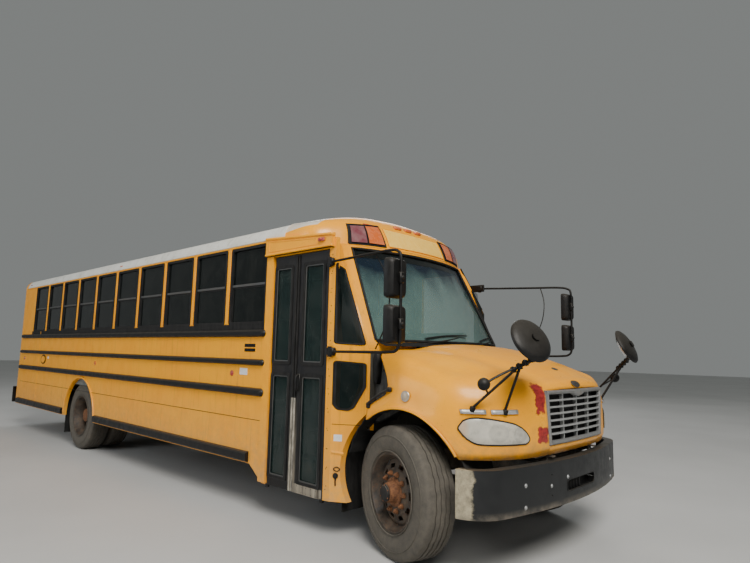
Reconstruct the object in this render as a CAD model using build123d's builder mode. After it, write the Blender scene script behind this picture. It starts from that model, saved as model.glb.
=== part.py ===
from build123d import *
import os
from math import sin, cos, radians, sqrt

os.makedirs("parts", exist_ok=True)

# ---------------------------------------------------------------- driving dimensions (mm)
# Row frame: +X is the driver's side, the bus faces -Y, +Z is up, z = 0 is the ground.
FA = -4514.0            # Y of the front axle
WB = 6580.0             # wheelbase
RA = FA + WB            # Y of the rear axle
HW = 1219.0             # half width of the body
T = 45.0                # wall thickness of side, rear and front panels
SKIRT = 470.0           # lower edge of the side skirt
EAVE = 2711.0           # top of the side wall
CROWN = 3040.0          # top of the roof
R_EAVE = 160.0          # roof section: side arc radius
TYRE_R = 510.0          # tyre radius, axle height
TYRE_W = 280.0
BEAD_R = 290.0
RIM_FLANGE_R = 300.0
KP_X = 950.0            # king pins
REST_STEER = -16.8      # front wheels stand turned to the right, degrees about +Z
OUT_OFF = 220.0         # tyre's outer face, outboard of the king pin
FLOOR_Z = 970.0         # top of the cabin floor
SILL = 1860.0           # passenger window sill
WIN_TOP = 2685.0
WIN_PITCH = 749.0
WIN_W = 664.0
N_WIN = 10
WIN_FIRST = 8796.5      # centre of the rearmost passenger window, from the front axle
DRIVER_WIN = (1205.0, 800.0, 1640.0, 2575.0)   # middle, length, z low, z high
BODY_REAR = 10040.0     # rear face of the body, from the front axle
REAR_JOINT = 9720.0     # side walls end here and the rear wall begins
CAP_JOINT = 1450.0      # front cap ends here and the roof begins
DOOR_Y0, DOOR_Y1 = 782.0, 1605.0   # entrance opening
DOOR_TOP = 2522.0
DOOR_BOT = 310.0
DOOR_MEET = 1225.0
HOOD_REAR = 300.0       # rear edge of the hood's sides
ARCH_Y, ARCH_Z, ARCH_R = -50.0, 600.0, 565.0    # front wheel arch
RARCH_Y, RARCH_Z, RARCH_R = 6530.0, 468.0, 620.0   # rear wheel arch
RAIL_X = 430.0          # outer face of the frame rails
RAIL_Z0, RAIL_Z1 = 610.0, 865.0


def Y(y):
    """Y in the row frame of a place y behind the front axle."""
    return FA + y


def arc_r2(half, rise, r1):
    """Crown radius of a two-arc roof of this half width and rise with side arcs r1."""
    return ((half - r1) ** 2 + rise ** 2 - r1 ** 2) / (2 * (rise - r1))


def roof_points(inset, rise=CROWN - EAVE):
    """Side arc and crown arc of the roof section: start, mid side arc, join, crown."""
    a = HW - inset
    b = rise - inset
    r1 = R_EAVE - inset
    r2 = arc_r2(a, b, r1)
    dx, dz = -(a - r1) / (r2 - r1), (r2 - b) / (r2 - r1)
    join = (dx * r2, EAVE + b - r2 + dz * r2)
    # middle of the side arc
    mx, mz = (-1 + dx), dz
    n = sqrt(mx * mx + mz * mz)
    mid = (-(a - r1) + r1 * mx / n, EAVE + r1 * mz / n)
    return (-a, EAVE), mid, join, (0.0, EAVE + b)


# ---------------------------------------------------------------- chassis
# cross members: y from the front axle, width along Y, height range
CROSS = [(-700, 70, 640, 760), (900, 70, 640, 800), (1500, 70, 640, 860), (2550, 70, 640, 860),
         (3600, 70, 640, 860), (4650, 70, 640, 860), (5650, 70, 640, 860), (7350, 70, 640, 860),
         (8300, 70, 640, 860), (9200, 70, 640, 860), (9900, 70, 640, 860)]
with BuildPart() as chassis_frame:
    for s in (-1, 1):
        with BuildSketch(Plane.XZ.offset(-Y(9960))):
            with Locations((s * (RAIL_X - 40), (RAIL_Z0 + RAIL_Z1) / 2)):
                Rectangle(80, RAIL_Z1 - RAIL_Z0)
            with Locations((s * (RAIL_X - 44), (RAIL_Z0 + RAIL_Z1) / 2)):
                Rectangle(72, RAIL_Z1 - RAIL_Z0 - 20, mode=Mode.SUBTRACT)
            with Locations((s * (RAIL_X - 4), (RAIL_Z0 + RAIL_Z1) / 2)):
                Rectangle(8, RAIL_Z1 - RAIL_Z0)
        extrude(amount=9960 - 330)
        # front horns, lower than the rails
        with BuildSketch(Plane.XZ.offset(-Y(330))):
            with Locations((s * (RAIL_X - 40), 690)):
                Rectangle(80, 160)
        extrude(amount=330 + 950)
        # lug with the pin that the hood tilts on
        with BuildSketch(Plane.YZ.offset(s * 390 - 12)):
            with BuildLine():
                Polyline((Y(-872), 766), (Y(-872), 836), (Y(-936), 836), (Y(-936), 824), (Y(-884), 824), (Y(-884), 766), close=True)
            make_face()
        extrude(amount=24)
        with BuildSketch(Plane.YZ.offset(s * 390 - 22)):
            with Locations((Y(-930), 830)):
                Circle(7)
        extrude(amount=44)
    # cross members, each a hair's breadth short of the rails
    for y, w, z0, z1 in CROSS:
        with BuildSketch(Plane.XY.offset(z0)):
            with Locations((0, Y(y))):
                Rectangle(2 * RAIL_X - 17 if y > 400 else 2 * RAIL_X - 161, w)
        extrude(amount=min(z1, 854) - z0)
    # towing eyes in the front horns
    with BuildSketch(Plane.YZ.offset(-RAIL_X - 5)):
        with Locations((Y(-800), 690)):
            Circle(30)
    extrude(amount=2 * RAIL_X + 10, mode=Mode.SUBTRACT)
chassis_frame.part.label = "chassis_frame"

with BuildPart() as front_axle:
    # dropped beam between the king pins
    with BuildSketch(Plane.XZ.offset(-Y(55))):
        with BuildLine():
            Polyline((-KP_X, 450), (-830, 450), (-720, 400), (720, 400), (830, 450), (KP_X, 450),
                     (KP_X, 560), (830, 560), (700, 500), (-700, 500), (-830, 560), (-KP_X, 560), close=True)
        make_face()
    extrude(amount=110)
    for s in (-1, 1):
        with BuildSketch(Plane.XY.offset(450)):
            with Locations((s * KP_X, Y(0))):
                Circle(55)
        extrude(amount=110)
        # leaf spring on the beam, with its front and rear eyes up in the hangers
        with BuildSketch(Plane.YZ.offset(s * 390 - 38)):
            with BuildLine():
                ThreePointArc((Y(-640), 590), (Y(0), 515), (Y(640), 590))
                Line((Y(640), 590), (Y(640), 565))
                ThreePointArc((Y(640), 565), (Y(0), 485), (Y(-640), 565))
                Line((Y(-640), 565), (Y(-640), 590))
            make_face()
        extrude(amount=76)
        with BuildSketch(Plane.XY.offset(480)):
            with Locations((s * 390, Y(0))):
                Rectangle(90, 150)
        extrude(amount=60)
    # bores for the king pins
    for s in (-1, 1):
        with BuildSketch(Plane.XY.offset(440)):
            with Locations((s * KP_X, Y(0))):
                Circle(22)
        extrude(amount=130, mode=Mode.SUBTRACT)
front_axle.part.label = "front_axle"

with BuildPart() as rear_axle:
    # housing: half outline, x outwards and radius, turned about the axle line
    with BuildSketch(Plane(origin=(0, RA, TYRE_R), x_dir=(1, 0, 0), z_dir=(0, -1, 0))):
        with BuildLine():
            Polyline((-1000, 0), (-1000, 45), (-840, 45), (-840, 60), (-540, 75), (-230, 80))
            ThreePointArc((-230, 80), (0, 210), (230, 80))
            Polyline((230, 80), (540, 75), (840, 60), (840, 45), (1000, 45), (1000, 0), (-1000, 0))
        make_face()
    revolve(axis=Axis((0, RA, TYRE_R), (1, 0, 0)))
    for s in (-1, 1):
        with BuildSketch(Plane.YZ.offset(s * 478 - 36)):
            with BuildLine():
                ThreePointArc((RA - 700, 640), (RA, 560), (RA + 700, 640))
                Line((RA + 700, 640), (RA + 700, 675))
                ThreePointArc((RA + 700, 675), (RA, 610), (RA - 700, 675))
                Line((RA - 700, 675), (RA - 700, 640))
            make_face()
        extrude(amount=72)
        with BuildSketch(Plane.XY.offset(500)):
            with Locations((s * 478, RA)):
                Rectangle(72, 150)
        extrude(amount=130)
    # propeller shaft in the tunnel between the rails
    with BuildSketch(Plane.XZ.offset(-(RA - 100))):
        with Locations((0, TYRE_R)):
            Circle(55)
    extrude(amount=RA - 100 - Y(900))
rear_axle.part.label = "rear_axle"

with BuildPart() as engine_block:
    with BuildSketch(Plane.XY.offset(560)):
        with Locations((0, Y(-165))):
            Rectangle(560, 910)
    extrude(amount=740)
    with BuildSketch(Plane.XY.offset(560)):
        with Locations((0, Y(560))):
            Rectangle(420, 540)
    extrude(amount=300)
    with BuildSketch(Plane.XY.offset(560)):
        with Locations((0, Y(0))):
            Rectangle(600, 170)
    extrude(amount=30, mode=Mode.SUBTRACT)
engine_block.part.label = "engine_block"

with BuildPart() as radiator:
    with BuildSketch(Plane.XY.offset(790)):
        with Locations((0, Y(-740))):
            Rectangle(760, 80)
    extrude(amount=500)
radiator.part.label = "radiator"

with BuildPart() as fuel_tank:
    with BuildSketch(Plane.XZ.offset(-Y(9150))):
        with Locations((-800, 690)):
            RectangleRounded(600, 380, 60)
    extrude(amount=1300)
    for y in (8150, 8850):
        with BuildSketch(Plane.XZ.offset(-Y(y + 30))):
            with Locations((-800, 690)):
                RectangleRounded(612, 392, 64)
        extrude(amount=60)
fuel_tank.part.label = "fuel_tank"

with BuildPart() as exhaust_pipe:
    # muffler and pipes on the driver's side: y start, y end, radius
    for y0, y1, r in ((1100, 3100, 42), (3100, 4300, 130), (4300, 5500, 42)):
        with BuildSketch(Plane.XZ.offset(-Y(y1))):
            with Locations((600, 700)):
                Circle(r)
        extrude(amount=y1 - y0)
    # tail pipe, inboard past the rear wheels and on to the bumper
    with BuildLine() as tail:
        FilletPolyline((600, Y(5500), 700), (600, Y(5650), 700), (490, Y(5850), 760), (490, Y(7300), 760),
                       (640, Y(7600), 660), (640, Y(9000), 660), (640, Y(9500), 400), (640, Y(10130), 400), radius=70)
    with BuildSketch(Plane(origin=tail.line @ 0, z_dir=tail.line % 0)):
        Circle(42)
    sweep(path=tail.line)
exhaust_pipe.part.label = "exhaust_pipe"

# ---------------------------------------------------------------- floor and steps
WELL_X = -430.0         # inboard edge of the step well
with BuildPart() as floor:
    with BuildSketch(Plane.XY.offset(FLOOR_Z - 40)):
        with Locations(((0), Y((445 + BODY_REAR - T) / 2))):
            Rectangle(2 * (HW - T), BODY_REAR - T - 445)
        with BuildLine():
            Polyline((-HW, Y(400)), (-HW, Y(812)), (-1005, Y(440)), (-1005, Y(400)), close=True)
        make_face(mode=Mode.SUBTRACT)
        with BuildLine():
            Polyline((HW, Y(400)), (HW, Y(812)), (1005, Y(440)), (1005, Y(400)), close=True)
        make_face(mode=Mode.SUBTRACT)
        # rear corners follow the rear wall
        for s in (-1, 1):
            with BuildLine():
                Polyline((s * 1225, Y(9700)), (s * 1170, Y(9700)), (s * 1168, Y(9845)), (s * 1150, Y(9920)), (s * 1110, Y(9965)), (s * 1065, Y(9992)),
                         (s * 1065, Y(10050)), (s * 1225, Y(10050)), close=True)
            make_face(mode=Mode.SUBTRACT)
        # step well
        with Locations(((-HW + WELL_X) / 2, Y(1200))):
            Rectangle(HW + WELL_X, 860, mode=Mode.SUBTRACT)
        # rear wheel housings
        for s in (-1, 1):
            with Locations((s * 862, Y(RARCH_Y + 30))):
                Rectangle(624, 1240, mode=Mode.SUBTRACT)
    extrude(amount=40)
    for s in (-1, 1):
        # housing box over the twin wheels: roof, inner wall, two end walls
        with BuildSketch(Plane.XY.offset(1130)):
            with Locations((s * 862, Y(RARCH_Y + 30))):
                Rectangle(624, 1240)
        extrude(amount=12)
        for cx, cy, w, d in ((s * 544, RARCH_Y + 30, 12, 1264), (s * 862, RARCH_Y + 30 - 626, 624, 12),
                             (s * 862, RARCH_Y + 30 + 626, 624, 12)):
            with BuildSketch(Plane.XY.offset(FLOOR_Z - 40)):
                with Locations((cx, Y(cy))):
                    Rectangle(w, d)
            extrude(amount=1142 - FLOOR_Z + 40)
    # steps: table of treads (x outer, x inner, z top), each with the riser behind it
    for x0, x1, z in ((-1165, -925, 330), (-925, -680, 545), (-680, WELL_X, 760)):
        with BuildSketch(Plane.XY.offset(z - 25)):
            with Locations(((x0 + x1) / 2, Y(1200))):
                Rectangle(x1 - x0, 836)
        extrude(amount=25)
        with BuildSketch(Plane.XY.offset(z - 25)):
            with Locations((x1 - 6, Y(1200))):
                Rectangle(12, 836)
        extrude(amount=(240 if z < 700 else FLOOR_Z - z + 25))
    # side plates of the step well
    for y in (776, 1624):
        with BuildSketch(Plane.XZ.offset(-Y(y + 6))):
            with BuildLine():
                Polyline((-1165, 305), (-925, 305), (-925, 520), (-680, 520), (-680, 735), (WELL_X, 735),
                         (WELL_X, FLOOR_Z), (-1165, FLOOR_Z), close=True)
            make_face()
        extrude(amount=12)
floor.part.label = "floor"

# ---------------------------------------------------------------- body shell
with BuildPart() as right_wall:
    with BuildSketch(Plane.YZ.offset(-HW)):
        with BuildLine():
            Polyline((Y(700), 330), (Y(782), 325), (Y(1605), 319), (Y(1668), 319), (Y(1881), SKIRT), (Y(REAR_JOINT), SKIRT),
                     (Y(REAR_JOINT), EAVE), (Y(CAP_JOINT), EAVE), (Y(CAP_JOINT), 2620), (Y(700), 2620), close=True)
        make_face()
        with Locations((Y((DOOR_Y0 + DOOR_Y1) / 2), (DOOR_TOP + 200) / 2)):
            Rectangle(DOOR_Y1 - DOOR_Y0, DOOR_TOP - 200, mode=Mode.SUBTRACT)
        for i in range(N_WIN):
            with Locations((Y(WIN_FIRST - i * WIN_PITCH), (SILL + WIN_TOP) / 2)):
                RectangleRounded(WIN_W, WIN_TOP - SILL, 25, mode=Mode.SUBTRACT)
        with Locations((Y(RARCH_Y), RARCH_Z)):
            Circle(RARCH_R, mode=Mode.SUBTRACT)
    extrude(amount=T)
    # header box over the entrance
    with BuildSketch(Plane.YZ.offset(-HW - 34)):
        with BuildLine():
            Polyline((Y(722), 2534), (Y(1715), 2534), (Y(1715), 2700), (Y(722), 2618), close=True)
        make_face()
    extrude(amount=34)
    # rear pillar cover of the entrance
    with BuildSketch(Plane.YZ.offset(-HW - 12)):
        with Locations((Y(1662), 1430)):
            Rectangle(108, 2200)
    extrude(amount=12)
right_wall.part.label = "right_wall"

with BuildPart() as left_wall:
    with BuildSketch(Plane.YZ.offset(HW - T)):
        with BuildLine():
            Polyline((Y(700), SKIRT), (Y(REAR_JOINT), SKIRT), (Y(REAR_JOINT), EAVE), (Y(CAP_JOINT), EAVE),
                     (Y(CAP_JOINT), 2620), (Y(700), 2620), close=True)
        make_face()
        for i in range(N_WIN):
            with Locations((Y(WIN_FIRST - i * WIN_PITCH), (SILL + WIN_TOP) / 2)):
                RectangleRounded(WIN_W, WIN_TOP - SILL, 25, mode=Mode.SUBTRACT)
        # driver's window
        with Locations((Y(DRIVER_WIN[0]), (DRIVER_WIN[2] + DRIVER_WIN[3]) / 2)):
            RectangleRounded(DRIVER_WIN[1], DRIVER_WIN[3] - DRIVER_WIN[2], 30, mode=Mode.SUBTRACT)
        with Locations((Y(RARCH_Y), RARCH_Z)):
            Circle(RARCH_R, mode=Mode.SUBTRACT)
    extrude(amount=T)
left_wall.part.label = "left_wall"

HATCHES = [("front_hatch", 3500.0), ("rear_hatch", 7300.0)]
HATCH = 620.0
with BuildPart() as roof:
    with BuildSketch(Plane.XZ.offset(-Y(REAR_JOINT))):
        o = roof_points(0)
        n = roof_points(T)
        mir = lambda p: (-p[0], p[1])
        with BuildLine():
            ThreePointArc(o[0], o[1], o[2])
            ThreePointArc(o[2], o[3], mir(o[2]))
            ThreePointArc(mir(o[2]), mir(o[1]), mir(o[0]))
            Line(mir(o[0]), mir(n[0]))
            ThreePointArc(mir(n[0]), mir(n[1]), mir(n[2]))
            ThreePointArc(mir(n[2]), n[3], n[2])
            ThreePointArc(n[2], n[1], n[0])
            Line(n[0], o[0])
        make_face()
    extrude(amount=REAR_JOINT - CAP_JOINT)
    for name, y in HATCHES:
        with BuildSketch(Plane.XY.offset(3000)):
            with Locations((0, Y(y))):
                RectangleRounded(HATCH, HATCH, 50)
        extrude(amount=62)
    for name, y in HATCHES:
        with BuildSketch(Plane.XY.offset(2900)):
            with Locations((0, Y(y))):
                RectangleRounded(HATCH - 50, HATCH - 50, 30)
        extrude(amount=200, mode=Mode.SUBTRACT)
roof.part.label = "roof"

hatch_parts = []
for name, y in HATCHES:
    with BuildPart() as hatch:
        with BuildSketch(Plane.XY.offset(3064)):
            with Locations((0, Y(y))):
                RectangleRounded(HATCH + 30, HATCH + 30, 60)
        extrude(amount=30)
        with BuildSketch(Plane.XY.offset(3094)):
            with Locations((0, Y(y))):
                RectangleRounded(HATCH - 60, HATCH - 60, 50)
        extrude(amount=14)
        # hinge barrel along the front edge
        with BuildSketch(Plane.YZ.offset(-150)):
            with Locations((Y(y - HATCH / 2 - 22), 3076)):
                Circle(9)
        extrude(amount=300)
    hatch.part.label = name
    hatch_parts.append((hatch, name))


# plan sections of the front: z, door-side corner Y, corner x and Y, nose Y, driver-side corner Y
# (a section is a closed outline: rear line, side, corner, one arc across the nose, corner, side)
def front_outline(z, ya, xb, yb, yc, yd, inset):
    i = inset
    with BuildSketch(Plane.XY.offset(z)) as outline:
        with BuildLine():
            Polyline((xb - i, Y(yb + i)), (HW - i, Y(yd + 0.6 * i)), (HW - i, Y(CAP_JOINT)), (-HW + i, Y(CAP_JOINT)),
                     (-HW + i, Y(ya + 0.6 * i)), (-xb + i, Y(yb + i)))
            ThreePointArc((-xb + i, Y(yb + i)), (0, Y(yc + i)), (xb - i, Y(yb + i)))
        make_face()
    return outline.sketch.face()


LOW = (1660.0, 700.0, 1060.0, 430.0, 140.0, 700.0)
HIGH = (2620.0, 760.0, 975.0, 900.0, 690.0, 760.0)
WS_LOW, WS_HIGH = 1700.0, 2585.0          # windshield opening, z
WS_XL, WS_XH = 985.0, 885.0               # half widths at those heights
# quarter windows seen from the front: x and z of the corners, door side mirrored
QUARTER = [[(1172, 1668), (1092, 1665), (1052, 2340), (1100, 2360), (1172, 2320)],
           [(1182, 1508), (1088, 1497), (1088, 1297), (1124, 1121), (1147, 1098), (1182, 1120)]]

with BuildPart() as cowl:
    # upper part: pillars and quarter panels round the windshield
    loft(sections=[front_outline(*LOW, 0), front_outline(*HIGH, 0)], ruled=True)
    # lower part: quarter panels down to the sills, shelf under the glass
    extrude(to_extrude=front_outline(*LOW, 0), amount=-60)
    with BuildSketch(Plane.XY.offset(330)):
        with BuildLine():
            Polyline((-1060, Y(400)), (1060, Y(400)), (1060, Y(430)), (HW, Y(700)), (HW, Y(CAP_JOINT)),
                     (-HW, Y(CAP_JOINT)), (-HW, Y(700)), (-1060, Y(430)), close=True)
        make_face()
    extrude(amount=1270)
    # hollow it: cabin above the floor and under it
    loft(sections=[front_outline(*LOW, T), front_outline(*HIGH, T)], ruled=True, mode=Mode.SUBTRACT)
    extrude(to_extrude=front_outline(*LOW, T), amount=-20, mode=Mode.SUBTRACT)
    with BuildSketch(Plane.XY.offset(200)):
        with BuildLine():
            Polyline((-1010, Y(445)), (1010, Y(445)), (HW - T, Y(730)), (HW - T, Y(CAP_JOINT)),
                     (-HW + T, Y(CAP_JOINT)), (-HW + T, Y(730)), close=True)
        make_face()
    extrude(amount=1441, mode=Mode.SUBTRACT)
    # side planes behind the quarter panels belong to the walls
    for s in (-1, 1):
        with BuildSketch(Plane.YZ.offset(s * (HW - T / 2) - T / 2)):
            with Locations((Y((700 + CAP_JOINT) / 2), 1360)):
                Rectangle(CAP_JOINT - 700, 2520)
        extrude(amount=T, mode=Mode.SUBTRACT)
    # windshield opening
    with BuildSketch(Plane.XZ.offset(-Y(1100))):
        with BuildLine():
            Polyline((-WS_XL, WS_LOW), (WS_XL, WS_LOW), (WS_XH, WS_HIGH), (-WS_XH, WS_HIGH), close=True)
        make_face()
    extrude(amount=1100, mode=Mode.SUBTRACT)
    # quarter windows, seen from the front: three-cornered upper one and lower one with a cut corner
    for s in (-1, 1):
        with BuildSketch(Plane.XZ.offset(-Y(900))):
            for corners in QUARTER:
                with BuildLine():
                    Polyline(*[(s * x, z) for x, z in corners], close=True)
                make_face()
        extrude(amount=800, mode=Mode.SUBTRACT)
    # front wheel arch cuts the foot of each quarter panel, and the fire wall stops above the frame
    for s in (-1, 1):
        with BuildSketch(Plane.YZ.offset(s * 1130 - 130)):
            with Locations((Y(ARCH_Y), ARCH_Z)):
                Circle(672)
        extrude(amount=260, mode=Mode.SUBTRACT)
    with BuildSketch(Plane.XY.offset(100)):
        with Locations((0, Y(900))):
            Rectangle(2000, 1200)
    extrude(amount=830, mode=Mode.SUBTRACT)
cowl.part.label = "cowl"

with BuildPart() as windshield:
    loft(sections=[front_outline(*LOW, 14), front_outline(*HIGH, 14)], ruled=True)
    loft(sections=[front_outline(*LOW, 22), front_outline(*HIGH, 22)], ruled=True, mode=Mode.SUBTRACT)
    with BuildSketch(Plane.XZ.offset(-Y(1100))):
        with BuildLine():
            Polyline((-WS_XL, WS_LOW), (WS_XL, WS_LOW), (WS_XH, WS_HIGH), (-WS_XH, WS_HIGH), close=True)
        make_face()
    extrude(amount=1100, mode=Mode.INTERSECT)
windshield.part.label = "windshield"

# front cap over the windshield: plan sections narrow upwards, cut by the roof section and a crown curve
CAP_LOW = (2620.0, 1100.0, 900.0, 870.0, 690.0, 1100.0)
CAP_HIGH = (3060.0, 1230.0, 900.0, 1030.0, 940.0, 1230.0)


def cap_solid(inset):
    """Outer form of the front cap, set in by inset."""
    r = roof_points(inset)
    m = lambda p: (-p[0], p[1])
    with BuildPart() as cs:
        loft(sections=[front_outline(*CAP_LOW, inset), front_outline(*CAP_HIGH, inset)], ruled=True)
        with BuildSketch(Plane.XZ.offset(-Y(CAP_JOINT))):
            with BuildLine():
                Polyline((r[0][0], EAVE), (r[0][0], 2600), (-r[0][0], 2600), (-r[0][0], EAVE))
                ThreePointArc(m(r[0]), m(r[1]), m(r[2]))
                ThreePointArc(m(r[2]), r[3], r[2])
                ThreePointArc(r[2], r[1], r[0])
            make_face()
        extrude(amount=1200, mode=Mode.INTERSECT)
        with BuildSketch(Plane.YZ.offset(-HW - 10)):
            with BuildLine():
                Polyline((Y(CAP_JOINT), 3040 - inset), (Y(CAP_JOINT), 2600), (Y(500), 2600), (Y(500), 2860 - inset),
                         (Y(880), 2895 - inset))
                ThreePointArc((Y(880), 2895 - inset), (Y(1120), 2995 - inset), (Y(CAP_JOINT), 3040 - inset))
            make_face()
        extrude(amount=2 * HW + 20, mode=Mode.INTERSECT)
    return cs.part


cap_outer = cap_solid(0)
cap_inner = cap_solid(T)
cap_skin = cap_solid(-8)
with BuildPart() as front_cap:
    add(cap_outer)
    add(cap_inner, mode=Mode.SUBTRACT)
    # ceiling shelf out to the quarter panels
    extrude(to_extrude=front_outline(*HIGH, 0), amount=22)
front_cap.part.label = "front_cap"



def rear_section(y, inset, low):
    """Roof section down to low, set in by inset, standing at y."""
    r = roof_points(inset)
    m = lambda p: (-p[0], p[1])
    with BuildSketch(Plane.XZ.offset(-Y(y))) as section:
        with BuildLine():
            Polyline(r[0], (r[0][0], low), (-r[0][0], low), m(r[0]))
            ThreePointArc(m(r[0]), m(r[1]), m(r[2]))
            ThreePointArc(m(r[2]), r[3], r[2])
            ThreePointArc(r[2], r[1], r[0])
        make_face()
    return section.sketch.face()


# rear end drawn in towards its flat back: y, inset outside; y, inset inside
REAR_OUT = [(REAR_JOINT, 0), (9850, 3), (9945, 28), (10005, 75), (BODY_REAR, 150)]
REAR_IN = [(REAR_JOINT - 5, T), (9850, T + 3), (9925, 66), (9970, 105), (BODY_REAR - T, 150)]
with BuildPart() as rear_wall:
    loft(sections=[rear_section(y, i, SKIRT) for y, i in REAR_OUT], ruled=True)
    loft(sections=[rear_section(y, i, SKIRT - 5) for y, i in REAR_IN], ruled=True, mode=Mode.SUBTRACT)
    # slots for the bumper's brackets
    with BuildSketch(Plane.XZ.offset(-Y(BODY_REAR + 10))):
        for s in (-1, 1):
            with Locations((s * 390, 680)):
                Rectangle(72, 132)
    extrude(amount=T + 60, mode=Mode.SUBTRACT)
    # emergency door opening and the windows beside it
    with BuildSketch(Plane.XZ.offset(-Y(BODY_REAR + 10))):
        with Locations((0, (965 + 2560) / 2)):
            Rectangle(900, 2560 - 965)
        for s in (-1, 1):
            with Locations((s * 790, 2210)):
                RectangleRounded(440, 640, 60)
    extrude(amount=T + 60, mode=Mode.SUBTRACT)
rear_wall.part.label = "rear_wall"

# ---------------------------------------------------------------- glass of the body
with BuildPart() as side_windows:
    for s in (-1, 1):
        for i in range(N_WIN):
            # pane with its sash, in the middle of the wall
            with BuildSketch(Plane.YZ.offset(s * (HW - 26) - 6)):
                with Locations((Y(WIN_FIRST - i * WIN_PITCH), (SILL + WIN_TOP) / 2)):
                    RectangleRounded(WIN_W, WIN_TOP - SILL, 25)
            extrude(amount=12)
    with BuildSketch(Plane.YZ.offset(HW - 32)):
        with Locations((Y(DRIVER_WIN[0]), (DRIVER_WIN[2] + DRIVER_WIN[3]) / 2)):
            RectangleRounded(DRIVER_WIN[1], DRIVER_WIN[3] - DRIVER_WIN[2], 30)
    extrude(amount=12)
    # panes beside the emergency door
    with BuildSketch(Plane.XZ.offset(-Y(BODY_REAR - 20))):
        for s in (-1, 1):
            with Locations((s * 790, 2210)):
                RectangleRounded(440, 640, 60)
    extrude(amount=12)
side_windows.part.label = "side_windows"

with BuildPart() as quarter_windows:
    loft(sections=[front_outline(*LOW, 14), front_outline(*HIGH, 14)], ruled=True)
    loft(sections=[front_outline(*LOW, 24), front_outline(*HIGH, 24)], ruled=True, mode=Mode.SUBTRACT)
    with BuildSketch(Plane.XZ.offset(-Y(900))):
        for s in (-1, 1):
            with BuildLine():
                Polyline(*[(s * x, z) for x, z in QUARTER[0]], close=True)
            make_face()
    extrude(amount=800, mode=Mode.INTERSECT)
    # lower panes lie in the slanted plane of the panel
    for s in (-1, 1):
        with BuildSketch(Plane.XY.offset(1110)):
            with BuildLine():
                Polyline((s * (HW - 16), Y(702)), (s * (1060 - 16), Y(432)), (s * (1060 - 28), Y(438)), (s * (HW - 28), Y(708)), close=True)
            make_face()
        extrude(amount=400)
quarter_windows_raw = quarter_windows.part
with BuildPart() as quarter_low:
    with BuildSketch(Plane.XZ.offset(-Y(900))):
        for s in (-1, 1):
            for corners in QUARTER:
                with BuildLine():
                    Polyline(*[(s * x, z) for x, z in corners], close=True)
                make_face()
    extrude(amount=800)
    add(quarter_windows_raw, mode=Mode.INTERSECT)
quarter_low.part.label = "quarter_windows"

# ---------------------------------------------------------------- trim rails and bumpers
# rub rails: side, y start, y end, z low, z high
RAILS = []
for s in (-1, 1):
    y0 = 1722 if s < 0 else 1780
    for z0, z1 in ((1724, 1800), (1437, 1501), (1133, 1215)):
        RAILS.append((s, y0, 9700, z0, z1))
    RAILS.append((s, 1900, 5850, 480, 585))
    RAILS.append((s, 7210, 9700, 480, 585))
with BuildPart() as rub_rails:
    for s, y0, y1, z0, z1 in RAILS:
        with BuildSketch(Plane.XZ.offset(-Y(y1))):
            with BuildLine():
                Polyline((s * HW, z0), (s * (HW + 30), z0 + 8), (s * (HW + 40), z0 + 22), (s * (HW + 40), z1 - 22),
                         (s * (HW + 30), z1 - 8), (s * HW, z1), close=True)
            make_face()
        extrude(amount=y1 - y0)
rub_rails.part.label = "rub_rails"


def bumper_plan(z, d, tail):
    """Front bumper in plan at z, set in by d, closed by a line at y = tail."""
    with BuildSketch(Plane.XY.offset(z)) as plan:
        with BuildLine():
            ThreePointArc((-1010 + d * 0.3, Y(-862 + d)), (0, Y(-985 + d)), (1010 - d * 0.3, Y(-862 + d)))
            ThreePointArc((1010 - d * 0.3, Y(-862 + d)), (1165 - d * 0.7, Y(-775 + d * 0.7)), (1240 - d, Y(-622)))
            Polyline((1240 - d, Y(-622)), (1240 - d, Y(tail)), (-1240 + d, Y(tail)), (-1240 + d, Y(-622)))
            ThreePointArc((-1240 + d, Y(-622)), (-1165 + d * 0.7, Y(-775 + d * 0.7)), (-1010 + d * 0.3, Y(-862 + d)))
        make_face()
    return plan.sketch.face()


with BuildPart() as front_bumper:
    extrude(to_extrude=bumper_plan(470, 0, -610), amount=330)
    extrude(to_extrude=bumper_plan(480, 10, -600), amount=310, mode=Mode.SUBTRACT)
    extrude(to_extrude=bumper_plan(460, 75, -600), amount=350, mode=Mode.SUBTRACT)
    # air slot in the middle
    with BuildSketch(Plane.XZ.offset(-Y(-800))):
        with Locations((0, 600)):
            RectangleRounded(520, 90, 30)
    extrude(amount=250, mode=Mode.SUBTRACT)
    # holes for a bar or a crossing gate at the door side
    with BuildSketch(Plane.XZ.offset(-Y(-800))):
        for z in (560, 710):
            with Locations((-480, z)):
                Circle(7)
    extrude(amount=250, mode=Mode.SUBTRACT)
front_bumper.part.label = "front_bumper"

with BuildPart() as rear_bumper:
    with BuildSketch(Plane.XZ.offset(-Y(BODY_REAR + 120))):
        with Locations((0, 620)):
            Rectangle(2400, 300)
    extrude(amount=110)
    with BuildSketch(Plane.XZ.offset(-Y(BODY_REAR + 110))):
        with Locations((0, 620)):
            Rectangle(2420, 280)
    extrude(amount=120, mode=Mode.SUBTRACT)
    # two holes for a plate
    with BuildSketch(Plane.XZ.offset(-Y(BODY_REAR + 130))):
        for x in (620 - 88.9, 620 + 88.9):
            with Locations((x, 620)):
                Circle(3.5)
    extrude(amount=40, mode=Mode.SUBTRACT)
    # brackets to the frame rails
    for s in (-1, 1):
        with BuildSketch(Plane.XY.offset(620)):
            with Locations((s * 390, Y(BODY_REAR + 16))):
                Rectangle(60, 188)
        extrude(amount=120)
rear_bumper.part.label = "rear_bumper"

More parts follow.
